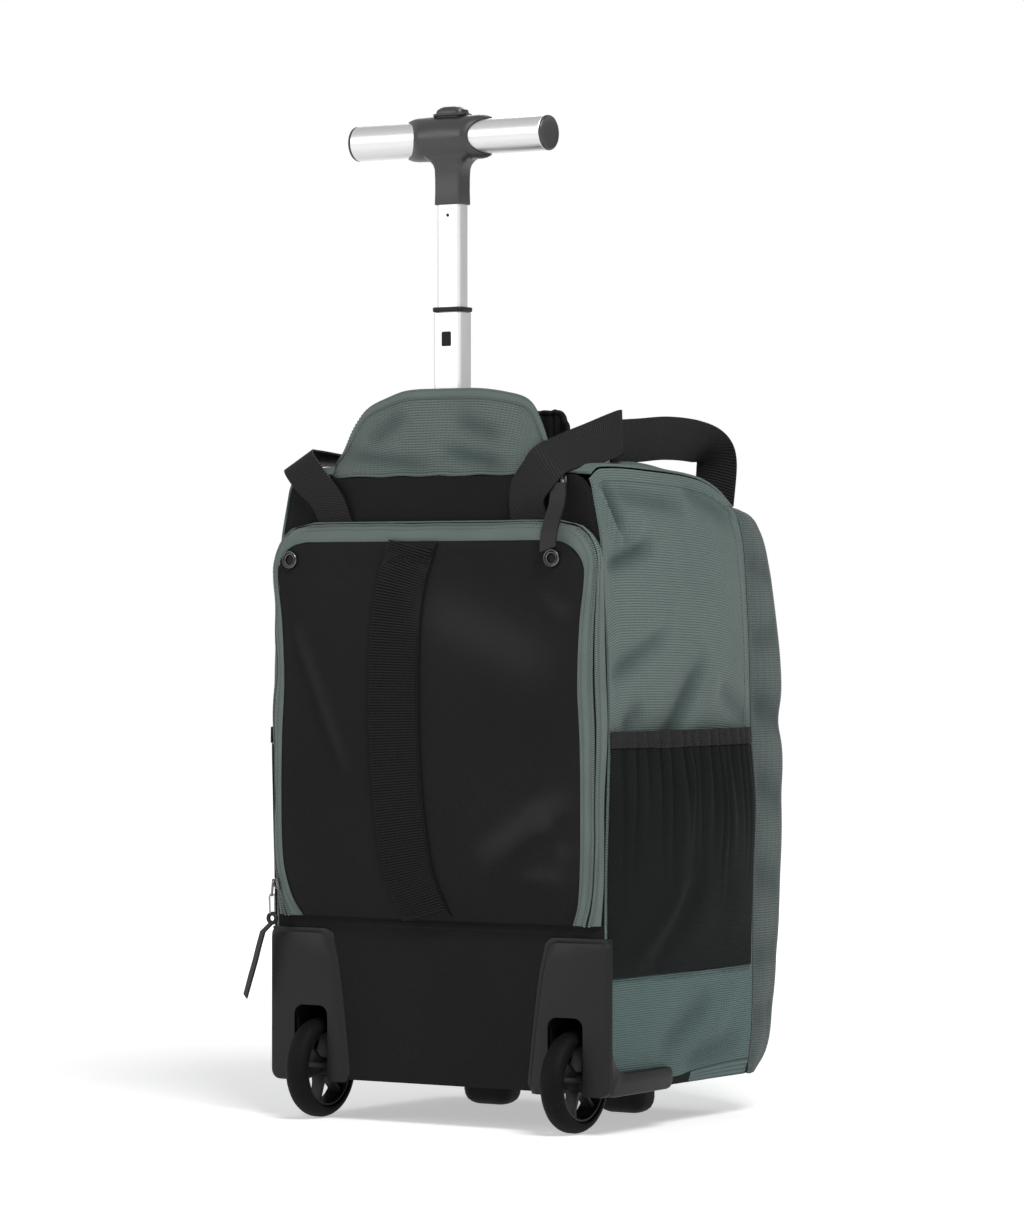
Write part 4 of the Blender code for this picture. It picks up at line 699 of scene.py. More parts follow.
class Workshop:
    """Makes pieces in the wheel frame and sets them into the row frame."""

    def __init__(self) -> None:
        """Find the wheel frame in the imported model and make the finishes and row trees."""
        left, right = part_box("wheel_tyre_left"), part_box("wheel_tyre_right")
        middle = [(a + b) / 4 for a, b in zip((left[0][k] + left[1][k] for k in range(3)),
                                              (right[0][k] + right[1][k] for k in range(3)))]
        self.shift = Vector((middle[0], middle[1], 0.0))
        self.materials: dict[str, bpy.types.Material] = {}
        self.trees = {grain: RowTree(grain) for grain in Grain}

    def material(self, finish: Finish) -> bpy.types.Material:
        """The material of a finish, made once.

        Args:
            finish: The finish.

        Returns:
            The material.
        """
        if finish.name not in self.materials:
            self.materials[finish.name] = finish.build()
        return self.materials[finish.name]

    def place(self, name: str, mesh: bpy.types.Mesh, finish: Finish, body: Body,
              replaces: Sequence[str] = (), sharp: float = 40.0) -> bpy.types.Object:
        """Turn a mesh into a piece that rides on a body.

        Args:
            name: The piece's name.
            mesh: Its mesh in the wheel frame.
            finish: Its finish.
            body: The body that carries it.
            replaces: CAD nodes that it stands for.
            sharp: Angle in degrees above which an edge stays sharp.

        Returns:
            The piece.
        """
        mesh.transform(Matrix.Translation(self.shift))
        mesh.name = name
        mesh.materials.clear()
        mesh.materials.append(self.material(finish))
        mesh.shade_smooth()
        mesh.set_sharp_from_angle(angle=math.radians(sharp))
        made = bpy.data.objects.new(name, mesh)
        bpy.context.scene.collection.objects.link(made)
        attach(made, body.value)
        if replaces:
            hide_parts(*replaces)
        LOG.info("%s on %s, %d faces", name, body.value, len(mesh.polygons))
        return made

    def grid(self, point: PointOf, columns: int, rows: int, keep: Optional[KeepFace] = None,
             fold: Optional[FoldAt] = None) -> tuple[bpy.types.Mesh, CutSize, float]:
        """An open grid over a surface with a map in metres of cloth.

        Args:
            point: Surface over shares u and v.
            columns: Cells along u.
            rows: Cells along v.
            keep: Test of a face's middle; faces that fail are left out.
            fold: Depth of the folds at a place, from 0 to 1, stored as the mask of painted shade and
                highlight.

        Returns:
            The mesh, its flat size and its area.
        """
        spots = [[point(i / columns, j / rows) for i in range(columns + 1)] for j in range(rows + 1)]
        wide, tall = [0.0], [0.0]
        middle_row, middle_column = spots[rows // 2], [row[columns // 2] for row in spots]
        for a, b in zip(middle_row, middle_row[1:]):
            wide.append(wide[-1] + (b - a).length)
        for a, b in zip(middle_column, middle_column[1:]):
            tall.append(tall[-1] + (b - a).length)
        work = bmesh.new()
        layer = work.loops.layers.uv.new(CLOTH_MAP)
        depth = work.verts.layers.float.new(FOLD)
        verts = [[work.verts.new(spot) for spot in row] for row in spots]
        for vertex in work.verts:
            vertex[depth] = clamp(fold(vertex.co)) if fold else 0.0
        for j in range(rows):
            for i in range(columns):
                corners = ((i, j), (i + 1, j), (i + 1, j + 1), (i, j + 1))
                if keep and not keep(sum((spots[b][a] for a, b in corners), Vector()) / 4):
                    continue
                face = work.faces.new([verts[b][a] for a, b in corners])
                for loop, (a, b) in zip(face.loops, corners):
                    loop[layer].uv = (wide[a], tall[b])
        loose = [vertex for vertex in work.verts if not vertex.link_faces]
        bmesh.ops.delete(work, geom=loose, context="VERTS")
        area = sum(face.calc_area() for face in work.faces)
        mesh = bpy.data.meshes.new("grid")
        work.to_mesh(mesh)
        work.free()
        longest = max(sum((b - a).length for a, b in zip(row, row[1:])) for row in spots)
        highest = max(sum((b - a).length for a, b in zip(column, column[1:])) for column in zip(*spots))
        return mesh, (longest, highest), area

    def thicken(self, mesh: bpy.types.Mesh, thickness: float, offset: float) -> bpy.types.Mesh:
        """Give an open mesh a wall with the Solidify modifier, applied.

        Args:
            mesh: The open mesh.
            thickness: The wall.
            offset: -1 for a wall behind the surface, 1 for one in front of it.

        Returns:
            The closed mesh.
        """
        carrier = bpy.data.objects.new("carrier", mesh)
        bpy.context.scene.collection.objects.link(carrier)
        solid = carrier.modifiers.new("wall", "SOLIDIFY")
        solid.thickness = thickness
        solid.offset = offset
        return self.applied(carrier)

    def applied(self, carrier: bpy.types.Object) -> bpy.types.Mesh:
        """The mesh of an object with its modifiers applied; the object is removed.

        Args:
            carrier: Object with its modifiers.

        Returns:
            The plain mesh.
        """
        graph = bpy.context.evaluated_depsgraph_get()
        graph.update()
        mesh = bpy.data.meshes.new_from_object(carrier.evaluated_get(graph))
        bpy.data.objects.remove(carrier)
        return mesh

    def cloth(self, name: str, point: PointOf, columns: int, rows: int, thickness: float, finish: Finish,
              replaces: Sequence[str] = (), offset: float = -1.0, keep: Optional[KeepFace] = None,
              held: str = "stretched", rests_on: Sequence[str] = (), sheet: bool = True,
              fold: Optional[FoldAt] = None) -> bpy.types.Object:
        """A cloth piece of the bag.

        Args:
            name: The piece's name.
            point: Its surface over shares u and v.
            columns: Cells along u.
            rows: Cells along v.
            thickness: The wall.
            finish: Its finish.
            replaces: CAD nodes that it stands for.
            offset: -1 for a wall behind the surface, 1 for one in front of it.
            keep: Test of a face's middle; faces that fail are left out.
            held: How the sheet is held; not used.
            rests_on: Pieces that it lies against.
            sheet: False for tapes and strips that are too narrow to count as sheets.
            fold: Depth of the folds at a place, from 0 to 1, stored as the mask of painted shade and
                highlight.

        Returns:
            The piece.
        """
        mesh, flat, area = self.grid(point, columns, rows, keep, fold)
        made = self.place(name, self.thicken(mesh, thickness, offset), finish, Body.BAG, replaces, 50.0)
        if sheet:
            list(rests_on)
            min(area, flat[0] * flat[1])
        return made

    def stitches(self, name: str, lines: Sequence[Line], finish: Finish, spacing: float,
                 length: float = 0.0022) -> bpy.types.Object:
        """Rows of thread along lines of the bag."""
        return self.row(name, lines, Grain.THREAD, spacing, (length, THREAD_WIDTH, THREAD_HEIGHT), finish)

    def row(self, name: str, lines: Sequence[Line], grain: Grain, spacing: float, size: Sequence[float],
            finish: Finish) -> bpy.types.Object:
        """Rows of stitches or bars along lines, made with Geometry Nodes.

        Args:
            name: The piece's name.
            lines: Lines in the wheel frame.
            grain: Shape of each small thing.
            spacing: Distance between two of them.
            size: Length, width and height of each.
            finish: Their finish.

        Returns:
            The piece.
        """
        mesh = bpy.data.meshes.new(name)
        points, edges, facings = [], [], []
        for line in lines:
            start = len(points)
            points += [tuple(p) for p in line.points]
            facings += line.facings
            edges += [(start + k, start + k + 1) for k in range(len(line.points) - 1)]
        mesh.from_pydata(points, edges, [])
        attribute = mesh.attributes.new(FACING, "FLOAT_VECTOR", "POINT")
        for item, facing in zip(attribute.data, facings):
            item.vector = facing
        carrier = bpy.data.objects.new("carrier", mesh)
        bpy.context.scene.collection.objects.link(carrier)
        modifier = carrier.modifiers.new("row", "NODES")
        tree = self.trees[grain]
        modifier.node_group = tree.tree
        for key, value in zip(("Spacing", "Length", "Width", "Height"), (spacing, *size)):
            modifier[tree.inputs[key]] = value
        modifier[tree.inputs["Material"]] = self.material(finish)
        made = self.applied(carrier)
        if FACING in made.attributes:
            made.attributes.remove(made.attributes[FACING])
        return self.place(name, made, finish, Body.BAG, (), 60.0 if grain is Grain.THREAD else 20.0)


def mesh_of(work: bmesh.types.BMesh) -> bpy.types.Mesh:
    """A plain mesh from a bmesh, with its faces outward.

    Args:
        work: The bmesh, which is freed.

    Returns:
        The mesh.
    """
    bmesh.ops.remove_doubles(work, verts=work.verts, dist=1e-7)
    bmesh.ops.recalc_face_normals(work, faces=work.faces)
    if work.calc_volume(signed=True) < 0.0:
        bmesh.ops.reverse_faces(work, faces=work.faces)
    mesh = bpy.data.meshes.new("mesh")
    work.to_mesh(mesh)
    work.free()
    return mesh


def skin(rings: Sequence[Sequence[Vector]], closed: bool = False, caps: bool = True) -> bpy.types.Mesh:
    """Skin over rings of equally many points.

    Args:
        rings: Rings in order along the form.
        closed: True if the last ring joins the first.
        caps: True to close the two ends.

    Returns:
        The mesh.
    """
    work = bmesh.new()
    verts = [[work.verts.new(spot) for spot in ring] for ring in rings]
    count = len(rings[0])
    pairs = list(zip(verts, verts[1:])) + ([(verts[-1], verts[0])] if closed else [])
    for low, high in pairs:
        for k in range(count):
            work.faces.new((low[k], low[(k + 1) % count], high[(k + 1) % count], high[k]))
    if caps and not closed:
        work.faces.new(verts[0])
        work.faces.new(verts[-1])
    return mesh_of(work)


def turned(profile: Sequence[tuple[float, float]], centre: Vector, axis: Vector, steps: int,
           closed: bool = True) -> bpy.types.Mesh:
    """A profile of (radius, place along the axis) turned about an axis.

    Args:
        profile: The profile's points.
        centre: A point of the axis, from which places are counted.
        axis: The axis.
        steps: Faces round the axis.
        closed: True for a closed profile that doesn't touch the axis.

    Returns:
        The mesh.
    """
    side = axis.orthogonal().normalized()
    other = axis.cross(side).normalized()
    rings = []
    for radius, along in profile:
        ring = []
        for k in range(steps):
            angle = 2 * math.pi * k / steps
            ring.append(centre + axis * along + (side * math.cos(angle) + other * math.sin(angle)) * radius)
        rings.append(ring)
    return skin(rings, closed=closed, caps=not closed)


def tube(path: Sequence[Vector], radius: float, steps: int = 10, closed: bool = False) -> bpy.types.Mesh:
    """A round tube along a path.

    Args:
        path: Points of the middle line.
        radius: Radius of the tube.
        steps: Faces round it.
        closed: True for a loop.

    Returns:
        The mesh.
    """
    count = len(path)
    side = None
    rings = []
    for k, spot in enumerate(path):
        before = path[(k - 1) % count] if closed or k > 0 else spot
        after = path[(k + 1) % count] if closed or k < count - 1 else spot
        tangent = (after - before).normalized()
        side = (tangent.orthogonal() if side is None else side - tangent * side.dot(tangent)).normalized()
        other = tangent.cross(side)
        rings.append([spot + (side * math.cos(a) + other * math.sin(a)) * radius
                      for a in (2 * math.pi * n / steps for n in range(steps))])
    return skin(rings, closed=closed)


def rounded(width: float, depth: float, corner: float, steps: int = 6) -> list[tuple[float, float]]:
    """Points of a rounded rectangle about the origin, anticlockwise.

    Args:
        width: Width.
        depth: Depth.
        corner: Radius of the corners.
        steps: Steps of each rounded corner.

    Returns:
        Places (X, Y) round the rectangle.
    """
    points = []
    for across, along, start in ((1, 1, 0.0), (-1, 1, 0.5), (-1, -1, 1.0), (1, -1, 1.5)):
        for step in range(steps + 1):
            angle = math.pi * (start + 0.5 * step / steps)
            points.append((across * (width / 2 - corner) + corner * math.cos(angle),
                           along * (depth / 2 - corner) + corner * math.sin(angle)))
    return points


def quarter(steps: int, first: int = 0) -> list[float]:
    """Angles of a quarter turn in even steps, from a first step on."""
    return [math.pi / 2 * k / steps for k in range(first, steps + 1)]


def level_ring(outline: Iterable[tuple[float, float]], x: float, y: float, z: float) -> list[Vector]:
    """An outline laid level about a place."""
    return [Vector((x + a, y + b, z)) for a, b in outline]


def layered(rings: Sequence[Sequence[Vector]]) -> bpy.types.Mesh:
    """Skin over rings whose ends have hollows in their outline.

    Args:
        rings: Rings in order along the form, the first and the last flat.

    Returns:
        The mesh.
    """
    work = bmesh.new()
    verts = [[work.verts.new(spot) for spot in ring] for ring in rings]
    count = len(rings[0])
    for low, high in zip(verts, verts[1:]):
        for k in range(count):
            work.faces.new((low[k], low[(k + 1) % count], high[(k + 1) % count], high[k]))
    for ring in (verts[0], verts[-1]):
        edges = [work.edges.get((ring[k], ring[(k + 1) % count])) for k in range(count)]
        bmesh.ops.triangle_fill(work, use_beauty=True, use_dissolve=False, edges=edges)
    return mesh_of(work)


def joined(meshes: Sequence[bpy.types.Mesh]) -> bpy.types.Mesh:
    """Several meshes as one.

    Args:
        meshes: The meshes, which are removed.

    Returns:
        The one mesh.
    """
    work = bmesh.new()
    for mesh in meshes:
        work.from_mesh(mesh)
        bpy.data.meshes.remove(mesh)
    made = bpy.data.meshes.new("joined")
    work.to_mesh(made)
    work.free()
    return made


# The bag's form, as in the solids


@dataclass
class BagForm:
    """Sizes and outlines of the bag's main form."""

    bottom: float = 0.0310
    top: float = 0.4970
    half: float = 0.1520
    back_y: float = -0.0100
    seam_y0: float = 0.1980
    front_y0: float = 0.2630
    corner: float = 0.0220
    bulge: float = 0.0035
    crown: float = 0.0105
    cloth: float = 0.0018
    thin: float = 0.0014
    gap: float = 0.0004
    lower_seam: float = 0.1160
    base_seam: float = 0.1560
    panel_top: float = 0.4930
    sections: Table = ((0.000, 0.965, 1.018, 0.870), (0.030, 0.975, 1.022, 0.925),
                       (0.070, 0.985, 1.026, 0.950), (0.150, 0.990, 1.030, 0.972),
                       (0.330, 0.990, 1.035, 1.005), (0.450, 1.000, 1.040, 1.005),
                       (0.570, 1.008, 0.995, 0.998), (0.710, 1.000, 0.990, 0.990),
                       (0.800, 0.978, 1.000, 0.975), (0.890, 0.962, 0.990, 0.935),
                       (0.945, 0.930, 0.970, 0.880), (1.000, 0.895, 0.950, 0.820))
    top_edge: Table = ((0.00, 0.985), (0.08, 1.000), (0.48, 0.998), (0.78, 0.988), (0.92, 0.968),
                       (1.00, 0.940))

    def share(self, z: float) -> float:
        """Share of the body's height."""
        return (z - self.bottom) / (self.top - self.bottom)

    def side_top(self, depth: float) -> float:
        """Height of the side's top edge at a depth share."""
        return mix(self.bottom, self.top, read_table(self.top_edge, depth, 1))

    def half_width(self, z: float) -> float:
        """Half width at a height."""
        return self.half * read_table(self.sections, self.share(z), 1)

    def seam_y(self, z: float) -> float:
        """Place of the seam between side and front compartment."""
        return self.seam_y0 * read_table(self.sections, self.share(z), 2)

    def front_y(self, z: float) -> float:
        """Place of the front face."""
        return self.front_y0 * read_table(self.sections, self.share(z), 3)

    def side_point(self, side: int, depth: float, z: float, out: float = 0.0) -> Vector:
        """Outer surface of a side at a depth share and a height."""
        swell = self.bulge * math.sin(math.pi * depth) * math.sin(math.pi * clamp(self.share(z)))
        return Vector((side * (self.half_width(z) + swell + out), mix(self.back_y, self.seam_y(z), depth), z))


FORM = BagForm()


def faced(side: int, point: PointOf) -> PointOf:
    """A surface that keeps its faces outward on either side of the bag.

    Args:
        side: -1 for the left, 1 for the right.
        point: The surface.

    Returns:
        The surface, mirrored along u on the left.
    """
    if side > 0:
        return point
    return lambda u, v: point(1.0 - u, v)


@dataclass
class WheelSizes:
    """Sizes that the wheels share with their housings and the cloth around them."""

    radius: float = 0.0385
    width: float = 0.0190
    x: float = 0.1160
    clearance: float = 0.0060
    wall: float = 0.0030
    out_x: float = 0.1545
    back_y: float = -0.0134
    skid_top: float = 0.0460
    skid_front: float = 0.0800

    @property
    def well_half(self) -> float:
        """Half width of the well."""
        return self.width / 2 + self.clearance

    @property
    def well_top(self) -> float:
        """Roof of the well."""
        return 2 * self.radius + self.clearance * 1.8

    def takes(self, spot: Vector) -> bool:
        """True where a housing or its skid takes the room of the cloth.

        Args:
            spot: A place in the wheel frame.

        Returns:
            True or False.
        """
        x = abs(spot.x)
        inner = self.x - self.well_half - self.wall
        outer = self.x + self.well_half + self.wall
        in_skid = x > inner and spot.y < self.skid_front and spot.z < self.skid_top
        in_well = (inner < x < outer and spot.y < self.radius + self.clearance + self.wall
                   and spot.z < self.well_top + self.wall)
        return in_skid or in_well


WHEELS = WheelSizes()


@dataclass
class SidePanels:
    """Ribbed side panels, the lower panels and their dark binding."""

    columns: int = 84
    rows: int = 120
    turn_y: float = 0.118
    left_shift: float = 0.018
    deepest: float = 0.0042
    deepest_low: float = 0.0035
    creases: tuple[Crease, ...] = (
        Crease((-0.004, 0.342), (0.071, 0.376), 0.0085, -0.0034),
        Crease((0.060, 0.282), (0.122, 0.350), 0.0110, -0.0040),
        Crease((0.095, 0.292), (0.140, 0.342), 0.0100, 0.0022),
        Crease((0.000, 0.424), (0.058, 0.440), 0.0070, -0.0042),
        Crease((-0.006, 0.486), (0.012, 0.440), 0.0030, 0.0038),
        Crease((0.006, 0.482), (0.026, 0.444), 0.0068, -0.0052),
        Crease((0.010, 0.446), (0.052, 0.458), 0.0055, 0.0024),
        Crease((0.010, 0.300), (0.034, 0.318), 0.0090, -0.0028),
        Crease((0.020, 0.478), (0.110, 0.470), 0.0075, -0.0026),
        Crease((0.120, 0.484), (0.182, 0.462), 0.0080, -0.0024),
        Crease((0.030, 0.372), (0.105, 0.404), 0.0150, 0.0016),
        Crease((0.150, 0.330), (0.196, 0.300), 0.0100, -0.0020),
    )
    low_creases: tuple[Crease, ...] = (
        Crease((0.070, 0.060), (0.140, 0.096), 0.0120, -0.0022),
        Crease((0.110, 0.048), (0.180, 0.060), 0.0100, -0.0020),
        Crease((0.150, 0.070), (0.185, 0.110), 0.0090, 0.0014),
    )

    def dent(self, side: int, y: float, z: float) -> float:
        """Height that the creases add; those of the left side lie further back."""
        return dents_at(self.creases, y + (0.0 if side > 0 else self.left_shift), z)

    def upper_point(self, side: int) -> PointOf:
        """Outer face of an upper side panel.

        Args:
            side: -1 for the left, 1 for the right.

        Returns:
            The surface.
        """
        def point(u: float, v: float) -> Vector:
            """A place on the panel.

            Args:
                u: Share across the surface, from 0 to 1.
                v: Share up the surface, from 0 to 1.

            Returns:
                The place.
            """
            z = mix(FORM.lower_seam + FORM.gap, FORM.side_top(u), v)
            spot = FORM.side_point(side, u, z)
            fade = smooth(u, 0.0, 0.04) * (1 - smooth(u, 0.965, 1.0)) * (1 - smooth(v, 0.965, 1.0))
            dent = 1.35 * self.dent(side, spot.y, z)
            dent += 0.0016 * ripple(spot, 0.060, 3.0) + 0.0005 * ripple(spot, 0.018, 5.0)
            seam = (-0.0009 * (1 - smooth(abs(u - 0.985), 0.0, 0.012))
                    - 0.0011 * (1 - smooth(1 - v, 0.0, 0.016)))
            spot.x += side * (dent * fade + seam)
            return spot
        return faced(side, point)

    def lower_edge(self, y: float) -> float:
        """Height at which the green lower panel ends."""
        return mix(0.0385, 0.0430, smooth(y, 0.080, 0.200)) - 0.0020 * math.exp(-((y - 0.095) / 0.02) ** 2)

    def lower_point(self, side: int, green: bool) -> PointOf:
        """Outer face of a lower side panel, or of the binding under it.

        Args:
            side: -1 for the left, 1 for the right.
            green: True for the panel, False for its binding.

        Returns:
            The surface.
        """
        def point(u: float, v: float) -> Vector:
            """A place on the panel.

            Args:
                u: Share across the surface, from 0 to 1.
                v: Share up the surface, from 0 to 1.

            Returns:
                The place.
            """
            y = mix(FORM.back_y, FORM.seam_y(FORM.lower_seam), u)
            edge = self.lower_edge(y)
            z = mix(edge + 0.0004, FORM.lower_seam, v) if green else mix(FORM.bottom, edge, v)
            spot = FORM.side_point(side, u, z)
            fade = smooth(u, 0.0, 0.05) * (1 - smooth(u, 0.96, 1.0))
            dent = dents_at(self.low_creases, spot.y, z) + 0.0011 * ripple(spot, 0.05, 9.0)
            tuck = -0.0016 * (1 - smooth(z, FORM.bottom, edge)) if not green else 0.0
            spot.x += side * (dent * fade + tuck)
            return spot
        return faced(side, point)

    def build(self, shop: Workshop) -> None:
        """Make the panels of both sides with their seams.

        Args:
            shop: Workshop that makes the pieces.
        """
        for word, side in SIDES:
            upper = self.upper_point(side)
            # The fold masks of the upper and lower panels give the depth of their creases, which the ripstop
            # paints as shade.
            shop.cloth(f"side_{word}", upper, self.columns, self.rows, FORM.cloth, PALETTE.ripstop,
                       [f"side_panel_{word}"],
                       fold=lambda p, s=side: -self.dent(s, p.y, p.z) / self.deepest)
            low = self.lower_point(side, True)
            shop.cloth(f"side_low_{word}", low, 60, 34, FORM.cloth, PALETTE.ripstop_low,
                       [f"lower_side_{word}"],
                       keep=lambda spot: not WHEELS.takes(spot),
                       fold=lambda p: -dents_at(self.low_creases, p.y, p.z) / self.deepest_low)
            binding = self.lower_point(side, False)
            shop.cloth(f"side_binding_{word}", binding, 60, 6, FORM.cloth, PALETTE.knit,
                       keep=lambda spot: not WHEELS.takes(spot) and spot.y < self.turn_y, sheet=False)
            shop.cloth(f"side_tuck_{word}", binding, 60, 6, FORM.cloth, PALETTE.ripstop_low,
                       keep=lambda spot: spot.y >= self.turn_y, sheet=False)
            ends = (0.955, 0.045) if side > 0 else (0.045, 0.955)
            lines = [line_on(upper, [(ends[0], v) for v in span(0.02, 0.985, 60)], SEAM_LIFT),
                     line_on(upper, [(u, 0.975) for u in span(0.03, 0.97, 40)], SEAM_LIFT),
                     line_on(low, [(u, 0.955) for u in span(0.30, 0.97, 40)], SEAM_LIFT)]
            shop.stitches(f"side_stitches_{word}", lines, PALETTE.green_thread, 0.0031)


@dataclass
class TopPanel:
    """Crowned top of the bag, open where the hood pocket sinks in."""

    hood_half: float = 0.0992
    hood_back: float = 0.0332

    def point(self, u: float, v: float) -> Vector:
        """Outer face of the top.

        Args:
            u: Share across the surface, from 0 to 1.
            v: Share up the surface, from 0 to 1.

        Returns:
            The place.
        """
        inset = FORM.cloth * 1.15 + FORM.gap
        first = (FORM.cloth + FORM.gap * 2) / (FORM.seam_y0 - FORM.back_y)
        depth = mix(first, 1.0, v)
        z = FORM.side_top(depth)
        across = 1.0 - 2.0 * u
        rise = FORM.crown * (1.0 - abs(across) ** 2.4) * math.sin(math.pi * mix(0.12, 0.88, v))
        spot = Vector((across * (FORM.half_width(z) - inset), mix(FORM.back_y, FORM.seam_y(z), depth),
                       z + rise + FORM.cloth * 0.8))
        fade = smooth(1 - abs(across), 0.0, 0.10) * smooth(v, 0.15, 0.3) * (1 - smooth(v, 0.93, 1.0))
        folds = (0.0016 * ripple(spot, 0.050, 2.0)
                 + 0.0022 * math.sin(spot.y * 70.0 + 3.0 * ripple(spot, 0.09, 4.0)))
        spot.z += folds * fade * 0.7
        return self.snapped(spot)

    def snapped(self, spot: Vector) -> Vector:
        """Move points near the hood's room onto its edge.

        Args:
            spot: A place on the top.

        Returns:
            The same place, moved where it is close.
        """
        reach = 0.0016
        if spot.y < self.hood_back + reach and abs(abs(spot.x) - self.hood_half) < reach:
            spot.x = math.copysign(self.hood_half, spot.x)
        if abs(spot.x) < self.hood_half + reach and abs(spot.y - self.hood_back) < reach:
            spot.y = self.hood_back
        return spot

    def build(self, shop: Workshop) -> None:
        """Make the top and its seam stitches.

        Args:
            shop: Workshop that makes the pieces.
        """
        shop.cloth("top_crown", self.point, 96, 70, FORM.cloth, PALETTE.ripstop, ["top_panel"],
                   keep=lambda s: not (abs(s.x) < self.hood_half - 1e-4 and s.y < self.hood_back - 1e-4))
        lines = [line_on(self.point, [(u, v) for v in span(0.04, 0.97, 50)], SEAM_LIFT)
                 for u in (0.022, 0.978)]
        lines.append(line_on(self.point, [(u, 0.965) for u in span(0.03, 0.97, 60)], SEAM_LIFT))
        shop.stitches("top_stitches", lines, PALETTE.green_thread, 0.0031)


@dataclass
class FrontCompartment:
    """Gusset round the front and the panel that it frames."""

    side_rows: int = 84
    corner_steps: int = 8
    top_columns: int = 56
    corner: float = 0.0120
    steps: int = 26
    tuck: float = 0.0026
    dents: tuple[Crease, ...] = (
        Crease((0.196, 0.322), (0.262, 0.300), 0.0140, -0.0040),
        Crease((0.200, 0.366), (0.240, 0.376), 0.0100, -0.0026),
        Crease((0.200, 0.428), (0.236, 0.420), 0.0110, -0.0024),
        Crease((0.198, 0.262), (0.250, 0.240), 0.0150, -0.0032),
        Crease((0.198, 0.190), (0.246, 0.176), 0.0150, -0.0030),
        Crease((0.198, 0.120), (0.244, 0.128), 0.0120, -0.0026),
        Crease((0.198, 0.072), (0.240, 0.084), 0.0100, -0.0022),
    )
    path: list = field(default_factory=list)

    def trace(self) -> None:
        """Outline from the right foot over the top to the left foot, with outward directions."""
        seam_top = FORM.side_top(1.0)
        high = seam_top - self.corner
        right = [((FORM.half_width(z), z), (1.0, 0.0)) for z in span(FORM.bottom, high, self.side_rows)]
        centre = (FORM.half_width(high) - self.corner, high)
        for angle in quarter(self.corner_steps, 1):
            out = (math.cos(angle), math.sin(angle))
            right.append(((centre[0] + self.corner * out[0], centre[1] + self.corner * out[1]), out))
        top = []
        for column in range(1, self.top_columns):
            across = 1.0 - 2.0 * column / self.top_columns
            rise = FORM.crown * 0.38 * (1.0 - abs(across) ** 2.4)
            top.append(((centre[0] * across, seam_top + rise), (0.0, 1.0)))
        left = [((-p[0], p[1]), (-o[0], o[1])) for p, o in reversed(right)]
        self.path = right + top + left

    def gusset(self, u: float, v: float) -> Vector:
        """Outer face of the gusset.

        Args:
            u: Share across the surface, from 0 to 1.
            v: Share up the surface, from 0 to 1.

        Returns:
            The place.
        """
        last = len(self.path) - 1
        (x, z), out = self.path[last - round(u * last)]
        seam = FORM.seam_y(z) + 0.0012
        face = FORM.front_y(z) - FORM.corner
        turn = 0.42
        if v <= turn:
            share = v / turn
            inset = -0.0018 * math.sin(math.pi * share)
            y = mix(seam, face, share)
        else:
            angle = math.pi / 2 * (v - turn) / (1 - turn)
            inset = FORM.corner * (1.0 - math.cos(angle))
            y = face + FORM.corner * math.sin(angle)
        spot = Vector((x - inset * out[0], y, z - inset * out[1]))
        fade = smooth(v, 0.0, 0.10) * (1 - smooth(v, 0.80, 1.0))
        dent = dents_at(self.dents, y, z) * abs(out[0])
        dent += 0.0010 * ripple(spot, 0.055, 6.0) + 0.0010 * math.sin(x * 60.0) * out[1]
        spot.x += out[0] * dent * fade
        spot.z += out[1] * dent * fade
        return spot

    def panel(self, u: float, v: float) -> Vector:
        """Outer face of the front panel.

        Args:
            u: Share across the surface, from 0 to 1.
            v: Share up the surface, from 0 to 1.

        Returns:
            The place.
        """
        across = 1.0 - 2.0 * u
        rise = FORM.crown * 0.38 * (1.0 - abs(across) ** 2.4)
        edge_top = FORM.side_top(1.0) - FORM.corner + rise + self.tuck
        z = mix(FORM.bottom, edge_top, v)
        edge = FORM.half_width(z) - FORM.corner + self.tuck
        crown = 0.0050 * (1.0 - across ** 4) * math.sin(math.pi * v) ** 0.6
        beside = smooth(abs(across), 0.85, 1.0) * (1 - smooth(v, 0.955, 1.0))
        reach = FORM.corner * smooth(v, 0.86, 1.0) * (1 - beside)
        spot = Vector((across * edge, FORM.front_y(z + reach) + crown, z))
        rim = min((1 - abs(across)) * edge, (1 - v) * (edge_top - FORM.bottom))
        spot.y -= 0.0012 * (1 - smooth(rim, self.tuck * 0.5, self.tuck * 2.5))
        fade = smooth(1 - abs(across), 0.0, 0.12) * math.sin(math.pi * v) ** 0.5
        spot.y += (0.0020 * ripple(spot, 0.070, 8.0) + 0.0006 * ripple(spot, 0.02, 8.5)) * fade
        return spot

    def build(self, shop: Workshop) -> None:
        """Make gusset, panel, piping and stitches.

        Args:
            shop: Workshop that makes the pieces.
        """
        self.trace()
        last = len(self.path) - 1
        # The fold mask gives the depth of the dents in the gusset's sides, which the ripstop paints as shade.
        shop.cloth("gusset_front", self.gusset, last, self.steps, FORM.cloth, PALETTE.ripstop_front,
                   ["front_gusset"],
                   fold=lambda p: -dents_at(self.dents, p.y, p.z) / 0.0042 if abs(p.x) > 0.12 else 0.0)
        shop.cloth("panel_front", self.panel, 72, 96, FORM.cloth, PALETTE.ripstop, ["front_panel"])
        piping = [self.gusset(k / last, 1.0) + Vector((0, 0.0002, 0)) for k in range(2, last - 1)]
        shop.place("front_piping", tube(piping, 0.0019, 8), PALETTE.twill, Body.BAG)
        lines = [line_on(self.gusset, [(k / last, v) for k in range(2, last - 1, 2)], SEAM_LIFT)
                 for v in (0.06, 0.93)]
        shop.stitches("front_stitches", lines, PALETTE.green_thread, 0.0033)


